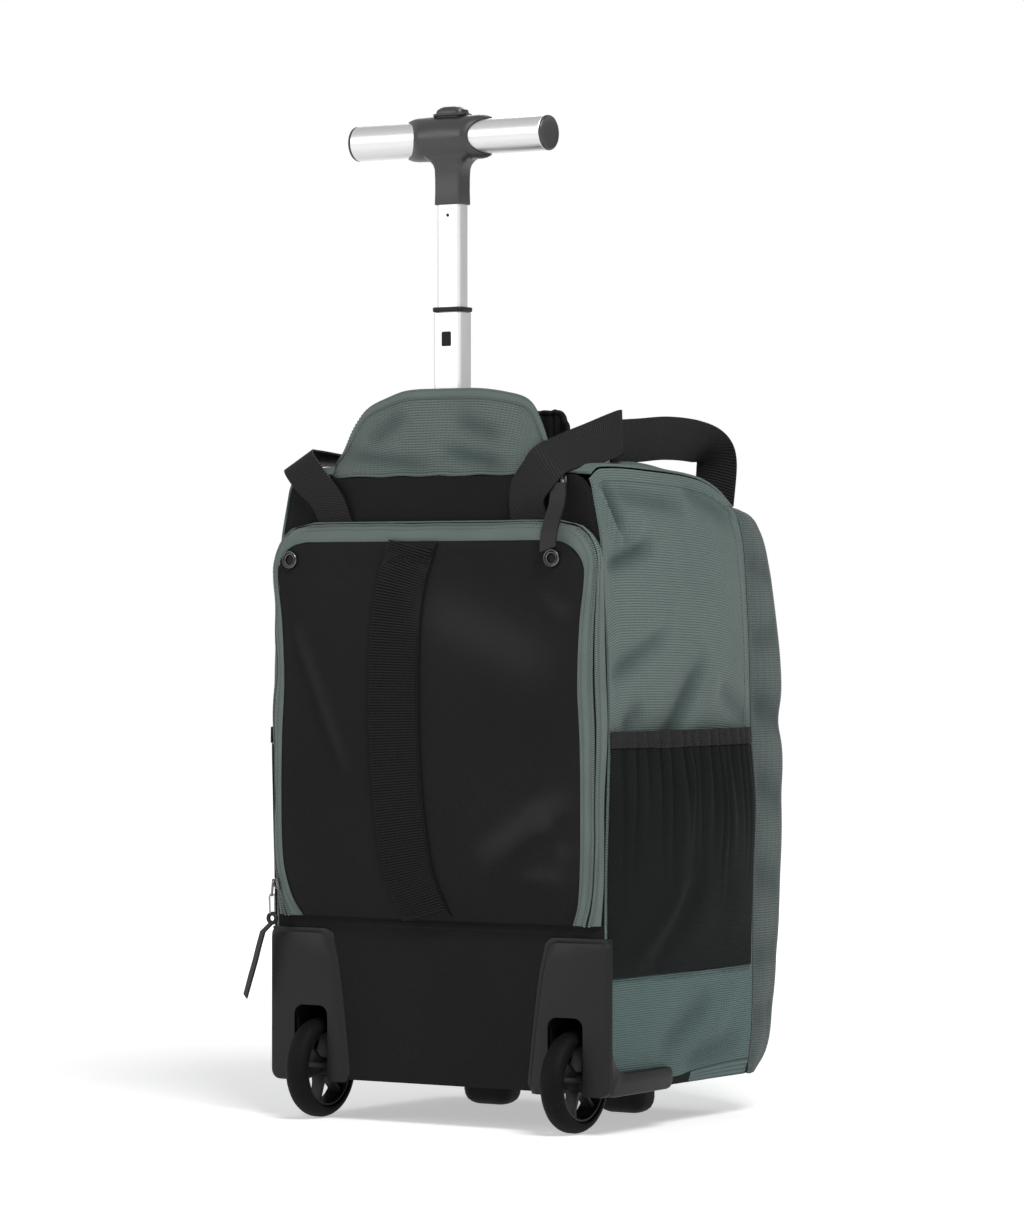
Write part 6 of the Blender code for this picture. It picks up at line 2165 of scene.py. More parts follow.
@dataclass
class Grip:
    """T grip: metal bar with end caps, moulded hub with its neck, and push button."""

    y: float = 0.0095
    z: float = 0.7508
    bar: float = 0.0134
    bar_half: float = 0.0860
    wall: float = 0.0014
    hub: float = 0.0176
    hub_reach: tuple[float, float] = (0.0405, 0.0360)
    hub_face: tuple[float, float] = (0.0262, 0.0222)
    neck_low: float = 0.7000

    def hub_mesh(self) -> bpy.types.Mesh:
        """Sleeve round the bar whose lips reach further out above and below.

        Returns:
            The mesh.
        """
        steps, across = 72, 18
        rings = []
        inner = self.bar + 0.0003
        for k in range(steps):
            angle = 2 * math.pi * k / steps
            rise = abs(math.sin(angle))
            share = 1 - math.sqrt(max(0.0, 1 - rise ** 2.2))
            ends = [mix(face, full, share) for face, full in zip(self.hub_face, self.hub_reach)]
            ring = []
            for n in range(across + 1):
                t = 2.0 * n / across - 1.0
                reach = ends[0] if t < 0 else ends[1]
                full = self.hub - 0.0012 * rise * abs(t)
                lip = smooth(abs(t), 0.80, 1.0)
                radius = mix(full, inner + 0.0007, lip ** 1.6)
                flat = 1.0 - 0.05 * max(0.0, math.cos(2 * angle)) * (1 - abs(t) ** 2)
                ring.append(self.around(reach * t, radius * flat, angle))
            for n in range(across, -1, -1):
                t = 2.0 * n / across - 1.0
                ring.append(self.around((ends[0] if t < 0 else ends[1]) * t, inner, angle))
            rings.append(ring)
        return skin(rings, closed=True)

    def around(self, x: float, radius: float, angle: float) -> Vector:
        """A place round the bar's axis."""
        return Vector((x, self.y + radius * math.cos(angle), self.z + radius * math.sin(angle)))

    def neck_mesh(self) -> bpy.types.Mesh:
        """Neck from the shoulders under the hub down to the tube.

        Returns:
            The mesh.
        """
        rows = ((0.0000, 0.0234, 0.0154, 0.0018), (0.0012, 0.0238, 0.0158, 0.0020),
                (0.0100, 0.0234, 0.0156, 0.0022), (0.0200, 0.0236, 0.0158, 0.0024),
                (0.0270, 0.0246, 0.0164, 0.0030), (0.0305, 0.0276, 0.0180, 0.0044),
                (0.0335, 0.0340, 0.0206, 0.0065), (0.0360, 0.0440, 0.0234, 0.0090),
                (0.0385, 0.0530, 0.0236, 0.0100), (0.0395, 0.0540, 0.0200, 0.0090))
        rings = [level_ring(rounded(width, depth, corner, 8), 0.0, self.y, self.neck_low + lift)
                 for lift, width, depth, corner in rows]
        inner, low = (level_ring(rounded(0.0215, 0.0135, 0.0016, 8), 0.0, self.y, self.neck_low + lift)
                      for lift in (0.0395, 0.0))
        return skin(rings + [inner, low], closed=True)

    def build(self, shop: Workshop) -> None:
        """Make bar, caps, hub, button and the rim round the button.

        Args:
            shop: Workshop that makes the pieces.
        """
        centre = Vector((0.0, self.y, self.z))
        axis = X_AXIS
        inner, half, r = self.bar - self.wall, self.bar_half, self.bar
        profile = ((r - 0.0003, -half), (r, -half + 0.0004), (r, half - 0.0004), (r - 0.0003, half),
                   (inner, half), (inner, -half))
        shop.place("bar_tube", turned(profile, centre, axis, 72), PALETTE.bar, Body.UPPER, ["grip_tube"],
                   30.0)
        for word, side in SIDES:
            cap = ((inner - 0.0005, -0.0110), (inner - 0.0005, 0.0003), (r - 0.0001, 0.0003),
                   (r + 0.0001, 0.0009), (r - 0.0003, 0.0018), (r - 0.0012, 0.0024), (r - 0.0022, 0.0020),
                   (r * 0.5, 0.0017), (r * 0.1, 0.0016))
            seat = centre + axis * side * half
            shop.place(f"bar_cap_{word}", turned(cap, seat, axis * side, 64, False), PALETTE.grip, Body.UPPER,
                       [f"grip_cap_{word}"], 50.0)
        hub = joined([self.hub_mesh(), self.neck_mesh()])
        shop.place("hub_shell", hub, PALETTE.grip, Body.UPPER, ["grip_hub"], 38.0)
        rows = ((0.0156, 0.0250, 0.0150), (0.0196, 0.0250, 0.0150), (0.0214, 0.0240, 0.0142),
                (0.0232, 0.0190, 0.0112), (0.0240, 0.0140, 0.0080))
        rings = [level_ring(rounded(w, d, min(0.0055, d * 0.45), 8), 0.0, self.y, self.z + lift)
                 for lift, w, d in rows]
        shop.place("button_cap", skin(rings), PALETTE.grip, Body.BUTTON, ["grip_button"], 30.0)
        rim = level_ring(rounded(0.0276, 0.0172, 0.0065, 8), 0.0, self.y, self.z + self.hub)
        shop.place("button_rim", tube(rim, 0.0011, 8, True), PALETTE.grip, Body.UPPER)


@dataclass
class Wheel:
    """Rubber tyres on spoked hubs with steel axles."""

    spokes: int = 6
    tyre_wall: float = 0.0086

    def hub_mesh(self, centre: Vector) -> bpy.types.Mesh:
        """Rim, boss and thin spokes.

        Args:
            centre: Middle of the wheel.

        Returns:
            The mesh.
        """
        axis = X_AXIS
        outer = WHEELS.radius - self.tyre_wall - 0.0003
        rim = ((outer, -0.0076), (outer, 0.0076), (outer - 0.0006, 0.0082), (outer - 0.0019, 0.0082),
               (outer - 0.0024, 0.0074), (outer - 0.0030, 0.0018), (outer - 0.0030, -0.0018),
               (outer - 0.0024, -0.0074), (outer - 0.0019, -0.0082), (outer - 0.0006, -0.0082))
        boss = ((0.0034, -0.0115), (0.0066, -0.0115), (0.0074, -0.0105), (0.0078, 0.0), (0.0074, 0.0105),
                (0.0066, 0.0115), (0.0034, 0.0115))
        spoke = ((0.0066, 0.0021, 0.0062), (0.0120, 0.0014, 0.0052), (0.0220, 0.0012, 0.0044),
                 (outer - 0.0020, 0.0020, 0.0052))
        parts = [turned(rim, centre, axis, 72), turned(boss, centre, axis, 40)]
        for k in range(self.spokes):
            angle = 2 * math.pi * (k + 0.25) / self.spokes
            out = Vector((0, math.cos(angle), math.sin(angle)))
            side = axis.cross(out)
            rings = []
            for radius, half, deep in spoke:
                rings.append([centre + out * radius + side * half * a + axis * deep * b
                              for a, b in ((1, 1), (-1, 1), (-1, -1), (1, -1))])
            parts.append(skin(rings))
        return joined(parts)

    def build(self, shop: Workshop) -> None:
        """Make both wheels and their axles.

        Args:
            shop: Workshop that makes the pieces.
        """
        axis = X_AXIS
        r, half = WHEELS.radius, WHEELS.width / 2
        low = r - self.tyre_wall
        side = ((r - 0.0002, 0.28), (r - 0.0009, 0.52), (r - 0.0022, 0.74), (r - 0.0040, 0.90),
                (r - 0.0060, 0.985), (r - 0.0072, 1.0), (low + 0.0007, 0.99), (low + 0.0001, 0.93),
                (low, 0.84))
        tyre = [(radius, half * share) for radius, share in side]
        tyre += [(radius, -half * share) for radius, share in reversed(side)]
        for word, side in SIDES:
            body = Body.WHEEL_LEFT if side < 0 else Body.WHEEL_RIGHT
            centre = Vector((side * WHEELS.x, 0.0, WHEELS.radius))
            shop.place(f"tyre_{word}", turned(tyre, centre, axis, 120), PALETTE.rubber, body,
                       [f"wheel_tyre_{word}"], 45.0)
            shop.place(f"hub_{word}", self.hub_mesh(centre), PALETTE.plastic, body, [f"wheel_hub_{word}"],
                       35.0)
            reach = WHEELS.well_half + WHEELS.wall * 0.6 - FORM.gap
            rod = ((0.0020, -reach), (0.0029, -reach + 0.0008), (0.0029, reach - 0.0008), (0.0020, reach))
            shop.place(f"rod_{word}", turned(rod, centre, axis, 28, False), PALETTE.dim_steel, Body.BAG,
                       [f"axle_{word}"])


@dataclass
class Housings:
    """Moulded housings: chamfered back plate, side guard with its skid, and the well round the wheel."""

    in_top: float = 0.0995
    in_bottom: float = 0.0800
    top: float = 0.1470
    bottom: float = 0.0290
    side_y: float = -0.0065
    chamfer: float = 0.0052

    def plate_outline(self, inset: float, ease: float) -> list[tuple[float, float]]:
        """Outline of the plate with the wheel's arch cut into it.

        Args:
            inset: How far the inner and the top edge are drawn in.
            ease: How far the outer edge is drawn in.

        Returns:
            Places (X, Z) round the plate.
        """
        out = WHEELS.out_x - ease
        top = self.top - inset * 0.8
        bend = 0.0075
        points = [(out, top - 0.006)]
        for angle in quarter(5, 1):
            points.append((out - 0.006 + 0.006 * math.cos(angle), top - 0.006 + 0.006 * math.sin(angle)))
        turn = 0.0095
        inner = self.in_top - 0.0040 + inset
        for angle in quarter(6):
            points.append((inner + turn - turn * math.sin(angle), top - turn * (1 - math.cos(angle))))
        for share in (0.14, 0.30, 0.5, 0.75, 0.93):
            z = mix(top - turn, self.bottom, share)
            points.append((mix(self.in_top - 0.0040, self.in_bottom, share ** 0.72) + inset, z))
        points.append((self.in_bottom + inset + 0.005, self.bottom))
        left, right = WHEELS.x - WHEELS.well_half, WHEELS.x + WHEELS.well_half
        arch = WHEELS.well_top - 0.0005
        points.append((left, self.bottom))
        for angle in quarter(6):
            points.append((left + bend * (1 - math.cos(angle)), arch - bend + bend * math.sin(angle)))
        for angle in quarter(6):
            points.append((right - bend * (1 - math.sin(angle)), arch - bend * (1 - math.cos(angle))))
        points.append((right, self.bottom))
        for angle in quarter(5):
            points.append((out - bend * (1 - math.sin(angle)), self.bottom + bend * (1 - math.cos(angle))))
        return points

    def plate(self, side: int) -> bpy.types.Mesh:
        """Chamfered plate with a softened face edge.

        Args:
            side: -1 for the left, 1 for the right.

        Returns:
            The mesh.
        """
        back, front = FORM.back_y - 0.0002, WHEELS.back_y
        layers = ((0.0, 0.0, back), (0.08, 0.0, back - 0.0007), (0.55, 0.0003, front + 0.0018),
                  (0.80, 0.0010, front + 0.0008), (0.93, 0.0020, front + 0.0002), (1.0, 0.0034, front))
        rings = []
        for share, ease, y in layers:
            outline = self.plate_outline(self.chamfer * share, ease)
            rings.append([Vector((side * x, y, z)) for x, z in outline])
        return layered(rings)

    def guard(self, side: int) -> bpy.types.Mesh:
        """Side guard that runs into the skid, with rounded outer edges.

        Args:
            side: -1 for the left, 1 for the right.

        Returns:
            The mesh.
        """
        start = FORM.back_y - 0.0004
        outline = [(start, self.bottom + 0.0070), (start + 0.0012, self.bottom + 0.0028),
                   (start + 0.0050, self.bottom), (WHEELS.skid_front - 0.008, self.bottom + 0.0005)]
        for angle in quarter(4, 1):
            outline.append((WHEELS.skid_front - 0.008 + 0.008 * math.sin(angle),
                            self.bottom + 0.0085 - 0.008 * math.cos(angle)))
        outline.append((WHEELS.skid_front - 0.0005, WHEELS.skid_top - 0.003))
        outline.append((WHEELS.skid_front - 0.0035, WHEELS.skid_top))
        curve = 0.0200
        for angle in quarter(10):
            outline.append((self.side_y + curve * (1.0 - math.sin(angle)),
                            WHEELS.skid_top + curve * (1.0 - math.cos(angle))))
        outline += [(self.side_y, self.top - 0.003), (self.side_y - 0.002, self.top), (start, self.top)]
        layers = ((0.0, WHEELS.out_x - 0.0115), (0.0, WHEELS.out_x - 0.0020), (0.0006, WHEELS.out_x - 0.0007),
                  (0.0018, WHEELS.out_x))
        rings = []
        for inset, x in layers:
            ring = []
            for k, (y, z) in enumerate(outline):
                before, after = Vector(outline[k - 1]), Vector(outline[(k + 1) % len(outline)])
                run = (after - before).normalized()
                inward = Vector((-run.y, run.x))
                ring.append(Vector((side * x, y + inward.x * inset, z + inward.y * inset)))
            rings.append(ring)
        return layered(rings)

    def box(self, low: Sequence[float], high: Sequence[float], bevel: float) -> bpy.types.Mesh:
        """A box with broken edges.

        Args:
            low: Corner with the lowest numbers.
            high: Corner with the highest numbers.
            bevel: Width of the broken edges.

        Returns:
            The mesh.
        """
        work = bmesh.new()
        bmesh.ops.create_cube(work, size=1.0)
        size = Vector(high) - Vector(low)
        bmesh.ops.scale(work, vec=size, verts=work.verts)
        bmesh.ops.translate(work, vec=(Vector(high) + Vector(low)) / 2, verts=work.verts)
        bmesh.ops.bevel(work, geom=work.edges, offset=bevel, segments=2, profile=0.5, affect="EDGES")
        return mesh_of(work)

    def well(self, side: int) -> list[bpy.types.Mesh]:
        """Walls and roof of the well.

        Args:
            side: -1 for the left, 1 for the right.

        Returns:
            One mesh for each wall.
        """
        half, wall = WHEELS.well_half, WHEELS.wall
        y0, y1 = WHEELS.back_y + 0.0006, WHEELS.radius + WHEELS.clearance
        z0, z1 = self.bottom + 0.0004, WHEELS.well_top
        parts = []
        for x0, x1 in ((WHEELS.x - half - wall, WHEELS.x - half), (WHEELS.x + half, WHEELS.x + half + wall)):
            low, high = sorted((side * x0, side * x1))
            parts.append(self.box((low, y0, z0), (high, y1 + wall, z1 + wall), 0.0006))
        low, high = sorted((side * (WHEELS.x - half - 0.0002), side * (WHEELS.x + half + 0.0002)))
        parts.append(self.box((low, y0, z1), (high, y1 + wall, z1 + wall), 0.0006))
        parts.append(self.box((low, y1, z0), (high, y1 + wall, z1 + 0.0002), 0.0006))
        return parts

    def build(self, shop: Workshop) -> None:
        """Make both housings.

        Args:
            shop: Workshop that makes the pieces.
        """
        for word, side in SIDES:
            low, high = sorted((side * (WHEELS.x + WHEELS.well_half), side * (WHEELS.out_x - 0.0100)))
            skid = self.box((low, WHEELS.back_y + 0.001, self.bottom + 0.0006),
                            (high, WHEELS.skid_front - 0.003, WHEELS.skid_top - 0.0004), 0.0012)
            parts = [self.plate(side), self.guard(side), skid] + self.well(side)
            shop.place(f"housing_{word}", joined(parts), PALETTE.plastic, Body.BAG,
                       [f"wheel_housing_{word}"], 32.0)


@dataclass
class Feet:
    """Two rounded front feet."""

    x: float = 0.0620
    y: float = 0.1600
    width: float = 0.0440
    depth: float = 0.0300
    height: float = 0.0306

    def build(self, shop: Workshop) -> None:
        """Make both feet with a flat sole and rounded sides.

        Args:
            shop: Workshop that makes the pieces.
        """
        rows = ((0.0000, 0.0100), (0.0004, 0.0085), (0.0016, 0.0056), (0.0040, 0.0026), (0.0075, 0.0008),
                (0.0120, 0.0), (0.0270, 0.0), (0.0306, 0.0008))
        for word, side in SIDES:
            rings = []
            for z, inset in rows:
                outline = rounded(self.width - 2 * inset, self.depth - 2 * inset,
                                  max(0.0105 - inset * 0.7, 0.003), 8)
                rings.append(level_ring(outline, side * self.x, self.y, z))
            shop.place(f"foot_{word}", skin(rings), PALETTE.dark, Body.BAG, [f"front_foot_{word}"], 50.0)


@dataclass
class MeshPockets:
    """Gathered mesh pockets with their elastic hems."""

    top: float = 0.3010
    hem: float = 0.0125
    hem_wall: float = 0.0024
    wall: float = 0.0012
    back_share: float = 0.004
    front_share: float = 0.975
    bulge: float = 0.0150
    hem_bulge: float = 0.0090
    gathers: float = 15.0
    depth: float = 0.0024
    folds: tuple[Crease, ...] = (
        Crease((0.022, 0.128), (0.072, 0.192), 0.0095, 0.0042),
        Crease((0.050, 0.126), (0.092, 0.190), 0.0105, -0.0034),
        Crease((0.070, 0.200), (0.080, 0.286), 0.0080, 0.0026),
    )

    def swell(self, u: float, v: float) -> float:
        """How far the pocket stands off the side.

        Args:
            u: Share across the surface, from 0 to 1.
            v: Share up the surface, from 0 to 1.

        Returns:
            The distance.
        """
        ends = max(0.0, math.sin(math.pi * u)) ** 0.55
        rows = ((0.0, 0.0), (0.25, 0.86), (0.5, 1.0), (0.8, 0.82), (1.0, self.hem_bulge / self.bulge))
        return self.bulge * ends * read_table(rows, v, 1)

    def gather(self, side: int, u: float, v: float) -> float:
        """Height of the gathers below the hem.

        Args:
            side: -1 for the left, 1 for the right.
            u: Share across the surface, from 0 to 1.
            v: Share up the surface, from 0 to 1.

        Returns:
            The height, below zero in a valley.
        """
        phase = 2 * math.pi * self.gathers * u + 2.4 * noise.noise(Vector((u * 9, v * 1.5, side * 2)))
        length = 0.30 + 0.35 * noise.noise(Vector((u * 8, side * 3.0, 5.0)))
        return self.depth * math.sin(phase) * smooth(v, 0.62 - length, 1.02)

    def gather_shade_at(self, side: int, spot: Vector) -> float:
        """How deep a place lies in a gather, from 0 to 1, the mask of the painted shade in the gathers.

        Args:
            side: -1 for the left, 1 for the right.
            spot: A place in the wheel frame.

        Returns:
            The depth.
        """
        depth = (spot.y - FORM.back_y) / (FORM.seam_y(spot.z) - FORM.back_y)
        u = clamp((depth - self.back_share) / (self.front_share - self.back_share))
        v = clamp((spot.z - FORM.lower_seam) / (self.top - FORM.lower_seam))
        return -self.gather(side, u, v) / self.depth

    def point(self, side: int, u: float, v: float, extra: float = 0.0) -> Vector:
        """Inner face of the pocket.

        Args:
            side: -1 for the left, 1 for the right.
            u: Share across the surface, from 0 to 1.
            v: Share up the surface, from 0 to 1.
            extra: How far the face is moved outward.

        Returns:
            The place.
        """
        depth = mix(self.back_share, self.front_share, u)
        z = mix(FORM.lower_seam + FORM.gap * 3, self.top, v)
        ends = math.sin(math.pi * u) ** 0.5 if 0 < u < 1 else 0.0
        gather = self.gather(side, u, v) * ends
        soft = 0.0022 * noise.noise(Vector((u * 5, v * 3.2, side * 4 + 7))) * ends * smooth(v, 0.02, 0.2)
        y = mix(FORM.back_y, FORM.seam_y(z), depth)
        fold = dents_at(self.folds, y, z) if side > 0 else 0.0
        shelf = FORM.gap + 0.0003 + self.swell(u, v) + extra
        return FORM.side_point(side, depth, z, max(0.0004, shelf + gather + soft + fold * ends))

    def build(self, shop: Workshop) -> None:
        """Make both pockets with hems and stitches.

        Args:
            shop: Workshop that makes the pieces.
        """
        share = 1.0 - self.hem / (self.top - FORM.lower_seam)
        for word, side in SIDES:
            face = faced(side, lambda u, v, s=side: self.point(s, u, v * share * 0.998))
            hem = faced(side, lambda u, v, s=side: self.point(s, u, mix(share, 1.0, v), -0.0003))
            # The fold mask gives the depth of the gathers' valleys, which the mesh paints as shade.
            shop.cloth(f"pocket_{word}", face, 150, 60, self.wall, PALETTE.mesh, [f"mesh_pocket_{word}"],
                       offset=1.0, held="gathered", rests_on=[f"side_{word}"],
                       fold=lambda spot, s=side: self.gather_shade_at(s, spot))
            shop.cloth(f"pocket_band_{word}", hem, 130, 6, self.hem_wall, PALETTE.tape,
                       [f"pocket_hem_{word}"],
                       offset=1.0, sheet=False)
            lift = self.hem_wall + 0.0001
            lines = [line_on(hem, [(u, v) for u in span(0.02, 0.98, 90)], lift) for v in (0.14, 0.30)]
            shop.stitches(f"pocket_stitches_{word}", lines, PALETTE.black_thread, 0.0028, 0.0019)


@dataclass
class CarryHandles:
    """Two carry handles of ribbed webbing."""

    width: float = 0.0300
    width_right: float = 0.0335
    wall: float = 0.0016
    right: Table = (
        (0.00, 0.454, -0.0030, 0.9125, 0.651, -0.0030, 0.9125),
        (0.06, 0.455, -0.0150, 0.950, 0.645, -0.0200, 0.935),
        (0.11, 0.480, -0.0200, 0.979, 0.640, -0.0300, 0.953),
        (0.17, 0.548, -0.0280, 1.008, 0.705, -0.0340, 0.976),
        (0.22, 0.603, -0.0240, 1.030, 0.755, -0.0150, 0.996),
        (0.28, 0.668, 0.060, 1.050, 0.800, 0.060, 1.007), (0.34, 0.715, 0.183, 1.072, 0.812, 0.183, 1.014),
        (0.40, 0.757, 0.300, 1.091, 0.800, 0.300, 1.026), (0.44, 0.758, 0.362, 1.094, 0.778, 0.350, 1.034),
        (0.46, 0.735, 0.385, 1.090, 0.752, 0.370, 1.031), (0.49, 0.700, 0.362, 1.080, 0.716, 0.345, 1.026),
        (0.53, 0.684, 0.395, 1.074, 0.694, 0.390, 1.024), (0.60, 0.716, 0.520, 1.078, 0.712, 0.520, 1.026),
        (0.72, 0.760, 0.700, 1.086, 0.738, 0.700, 1.030), (0.82, 0.805, 0.880, 1.080, 0.738, 0.880, 1.030),
        (0.90, 0.845, 1.000, 1.056, 0.718, 0.990, 1.030), (0.95, 0.862, 1.048, 1.020, 0.690, 1.020, 1.010),
        (1.00, 0.850, 1.045, 0.947, 0.665, 1.020, 0.947))
    left: Table = (
        (0.00, -0.705, -0.0030, 0.9125, -0.510, -0.0030, 0.9125),
        (0.08, -0.750, -0.0180, 0.945, -0.560, -0.0180, 0.962),
        (0.16, -0.850, -0.0240, 0.972, -0.669, -0.0200, 1.006),
        (0.22, -0.920, -0.0150, 1.000, -0.753, -0.0100, 1.034),
        (0.28, -0.945, 0.040, 1.006, -0.770, 0.050, 1.036),
        (0.36, -0.925, 0.200, 1.013, -0.735, 0.200, 1.029),
        (0.55, -0.850, 0.450, 1.016, -0.655, 0.450, 1.030),
        (0.75, -0.820, 0.720, 1.018, -0.625, 0.720, 1.030),
        (0.90, -0.815, 0.900, 1.000, -0.620, 0.900, 1.004),
        (1.00, -0.815, 0.965, 0.975, -0.620, 0.965, 0.978))

    @staticmethod
    def spot(x: float, y: float, z: float) -> Vector:
        """A place given as shares of the body's half width, side depth and height."""
        return Vector((FORM.half * x, FORM.back_y + (FORM.seam_y0 - FORM.back_y) * y,
                       FORM.bottom + (FORM.top - FORM.bottom) * z))

    def ribbon(self, table: Table, width: float) -> PointOf:
        """The strap's face along its table.

        Args:
            table: Rows of the strap's upper and lower edge.
            width: Width.

        Returns:
            The surface.
        """
        def point(u: float, v: float) -> Vector:
            """A place on the strap.

            Args:
                u: Share across the surface, from 0 to 1.
                v: Share up the surface, from 0 to 1.

            Returns:
                The place.
            """
            upper = self.spot(*(read_table(table, v, column) for column in (1, 2, 3)))
            lower = self.spot(*(read_table(table, v, column) for column in (4, 5, 6)))
            reach = (lower - upper).normalized() * width
            return (upper + lower) / 2 + reach * (u - 0.5)
        return point

    def build(self, shop: Workshop) -> None:
        """Make both handles with their edge stitches.

        Args:
            shop: Workshop that makes the pieces.
        """
        for word, table, width in (("right", self.right, self.width_right), ("left", self.left, self.width)):
            face = self.ribbon(table, width)
            shop.cloth(f"handle_{word}", face, 8, 150, self.wall, PALETTE.webbing, [f"carry_strap_{word}"],
                       offset=1.0, sheet=False)
            lift = self.wall + 0.0001
            lines = [line_on(face, [(u, v) for u in span(0.08, 0.92, 12)], lift) for v in (0.012, 0.030)]
            shop.stitches(f"handle_stitches_{word}", lines, PALETTE.black_thread, 0.0028, 0.0019)


@dataclass
class ZipPulls:
    """Zip sliders with their loops and the two rubber tabs."""

    cover: BackCover
    left_z: float = 0.1790
    right: tuple[float, float, float] = (0.1130, -0.0104, 0.4880)
    wire: float = 0.0008
    # Width and length of each wire loop
    ring_left: tuple[float, float] = (0.0062, 0.0125)
    ring_right: tuple[float, float] = (0.0058, 0.0125)
    link: tuple[float, float] = (0.0040, 0.0150)
    eye_radius: float = 0.0036
    tab_wall: float = 0.0016
    fall_left: Table = ((-0.1530, -0.0252, 0.1430), (-0.1562, -0.0254, 0.1330), (-0.1600, -0.0256, 0.1200),
                        (-0.1640, -0.0258, 0.1080), (-0.1690, -0.0260, 0.0925))
    fall_right: Table = ((0.1126, -0.0176, 0.4865), (0.1132, -0.0180, 0.4780), (0.1135, -0.0204, 0.4700),
                         (0.1140, -0.0270, 0.4600), (0.1146, -0.0330, 0.4500), (0.1150, -0.0352, 0.4430),
                         (0.1152, -0.0358, 0.4365))

    def slider(self, seat: Vector, facing: Vector) -> bpy.types.Mesh:
        """Slider body with its raised bridge.

        Args:
            seat: Middle of its foot.
            facing: Direction that the surface faces.

        Returns:
            The mesh.
        """
        up = (Vector((0, 0, 1)) - facing * facing.z).normalized()
        across = up.cross(facing).normalized()
        rings = []
        for lift, w, h in ((0.0, 0.0058, 0.0086), (0.0004, 0.0065, 0.0095), (0.0013, 0.0065, 0.0095),
                           (0.0017, 0.0056, 0.0084)):
            rings.append([seat + across * a + up * b + facing * lift for a, b in rounded(w, h, 0.0022, 4)])
        arch = ((-0.0034, 0.0012), (-0.0028, 0.0028), (-0.0008, 0.0033), (0.0014, 0.0033), (0.0032, 0.0026),
                (0.0038, 0.0012))
        bridge = [seat + up * a + facing * b for a, b in arch]
        return joined([skin(rings), tube(bridge, 0.0009, 8)])

    def loop(self, top: Vector, hang: Vector, facing: Vector, width: float, length: float) -> bpy.types.Mesh:
        """A closed wire loop with round ends.

        Args:
            top: Upper end.
            hang: Direction in which it hangs.
            facing: Direction that the surface faces.
            width: Width.
            length: Length.

        Returns:
            The mesh.
        """
        across = hang.cross(facing).normalized()
        radius = width / 2
        points = []
        for k in range(28):
            angle = 2 * math.pi * k / 28
            shift = radius if math.cos(angle) < 0 else length - radius
            points.append(top + hang * (shift + radius * math.cos(angle)) + across * radius * math.sin(angle))
        return tube(points, self.wire, 10, True)

    def tab(self, path: Sequence[Vector], width: Vector, wall: float, slant: float) -> bpy.types.Mesh:
        """A flat tab along a path, its tip cut at a slant.

        Args:
            path: Points of the middle line.
            width: Width, as a direction with a length.
            wall: Wall.
            slant: How far the tip's corners are drawn along the tab.

        Returns:
            The mesh.
        """
        rings = []
        last = len(path) - 1
        for k, spot in enumerate(path):
            run = (path[min(k + 1, last)] - path[max(k - 1, 0)]).normalized()
            deep = run.cross(width).normalized() * wall / 2
            half = width / 2
            tip = run * slant if k == last else Vector()
            ease = 0.75 if k in (0, last) else 1.0
            rings.append([spot + half + deep * ease + tip, spot - half + deep * ease - tip,
                          spot - half - deep * ease - tip, spot + half - deep * ease + tip])
        return skin(rings)

    def build(self, shop: Workshop) -> None:
        """Make sliders, loops and tabs on both sides.

        Args:
            shop: Workshop that makes the pieces.
        """
        index = min(range(len(self.cover.rim)), key=lambda k: (self.cover.rim[k][0].x > 0,
                                                               abs(self.cover.rim[k][0].z - self.left_z)))
        facing = self.cover.facing(index, 0.5)
        seat = self.cover.gusset(index, 0.5, 0.0010)
        shop.place("slider_left", self.slider(seat, facing), PALETTE.dim_steel, Body.BAG,
                   ["zip_slider_left"], 40.0)
        hang = Vector((-0.02, -0.10, -1.0)).normalized()
        top = seat + facing * 0.0044 + Vector((0, 0, 0.0040))
        ring = self.loop(top, hang, facing, *self.ring_left)
        shop.place("pull_ring_left", ring, PALETTE.dim_steel, Body.BAG, ["zip_ring_left"])
        side = hang.cross(facing).normalized()
        low = top + hang * 0.0112
        link = self.loop(low, Vector((0.06, -0.06, -1.0)).normalized(), side, *self.link)
        shop.place("pull_link_left", link, PALETTE.steel, Body.BAG, ["zip_link_left"])
        eye = low + Vector((0.0008, -0.0008, -0.0160))
        r = self.eye_radius
        ring_path = [eye + Vector((r * math.sin(a), 0.0, r * math.cos(a) - 0.0026))
                     for a in (2 * math.pi * k / 20 for k in range(20))]
        loop = tube(ring_path, 0.0017, 10, True)
        fall = [eye + Vector((-0.0006, 0, -0.0062))] + [Vector(spot) for spot in self.fall_left]
        tab = self.tab(fall, Vector((0.0064, -0.0036, 0.0)), self.tab_wall, 0.0016)
        shop.place("pull_tab_left", joined([loop, tab]), PALETTE.tab, Body.BAG, ["puller_left"])
        seat = Vector(self.right)
        out = Vector((0, -1, 0))
        shop.place("slider_right", self.slider(seat, out), PALETTE.dim_steel, Body.BAG, ["zip_slider_right"],
                   40.0)
        fall_way = Vector((0.0, -0.20, -1.0)).normalized()
        start = seat + out * 0.0046 + Vector((0, 0, 0.0010))
        ring = self.loop(start, fall_way, out, *self.ring_right)
        shop.place("pull_ring_right", ring, PALETTE.dim_steel, Body.BAG, ["zip_ring_right"])
        path = [Vector(spot) for spot in self.fall_right]
        tab = self.tab(path, Vector((0.0150, -0.0022, 0.0)), self.tab_wall, -0.0022)
        shop.place("pull_tab_right", tab, PALETTE.tab, Body.BAG, ["puller_right"])


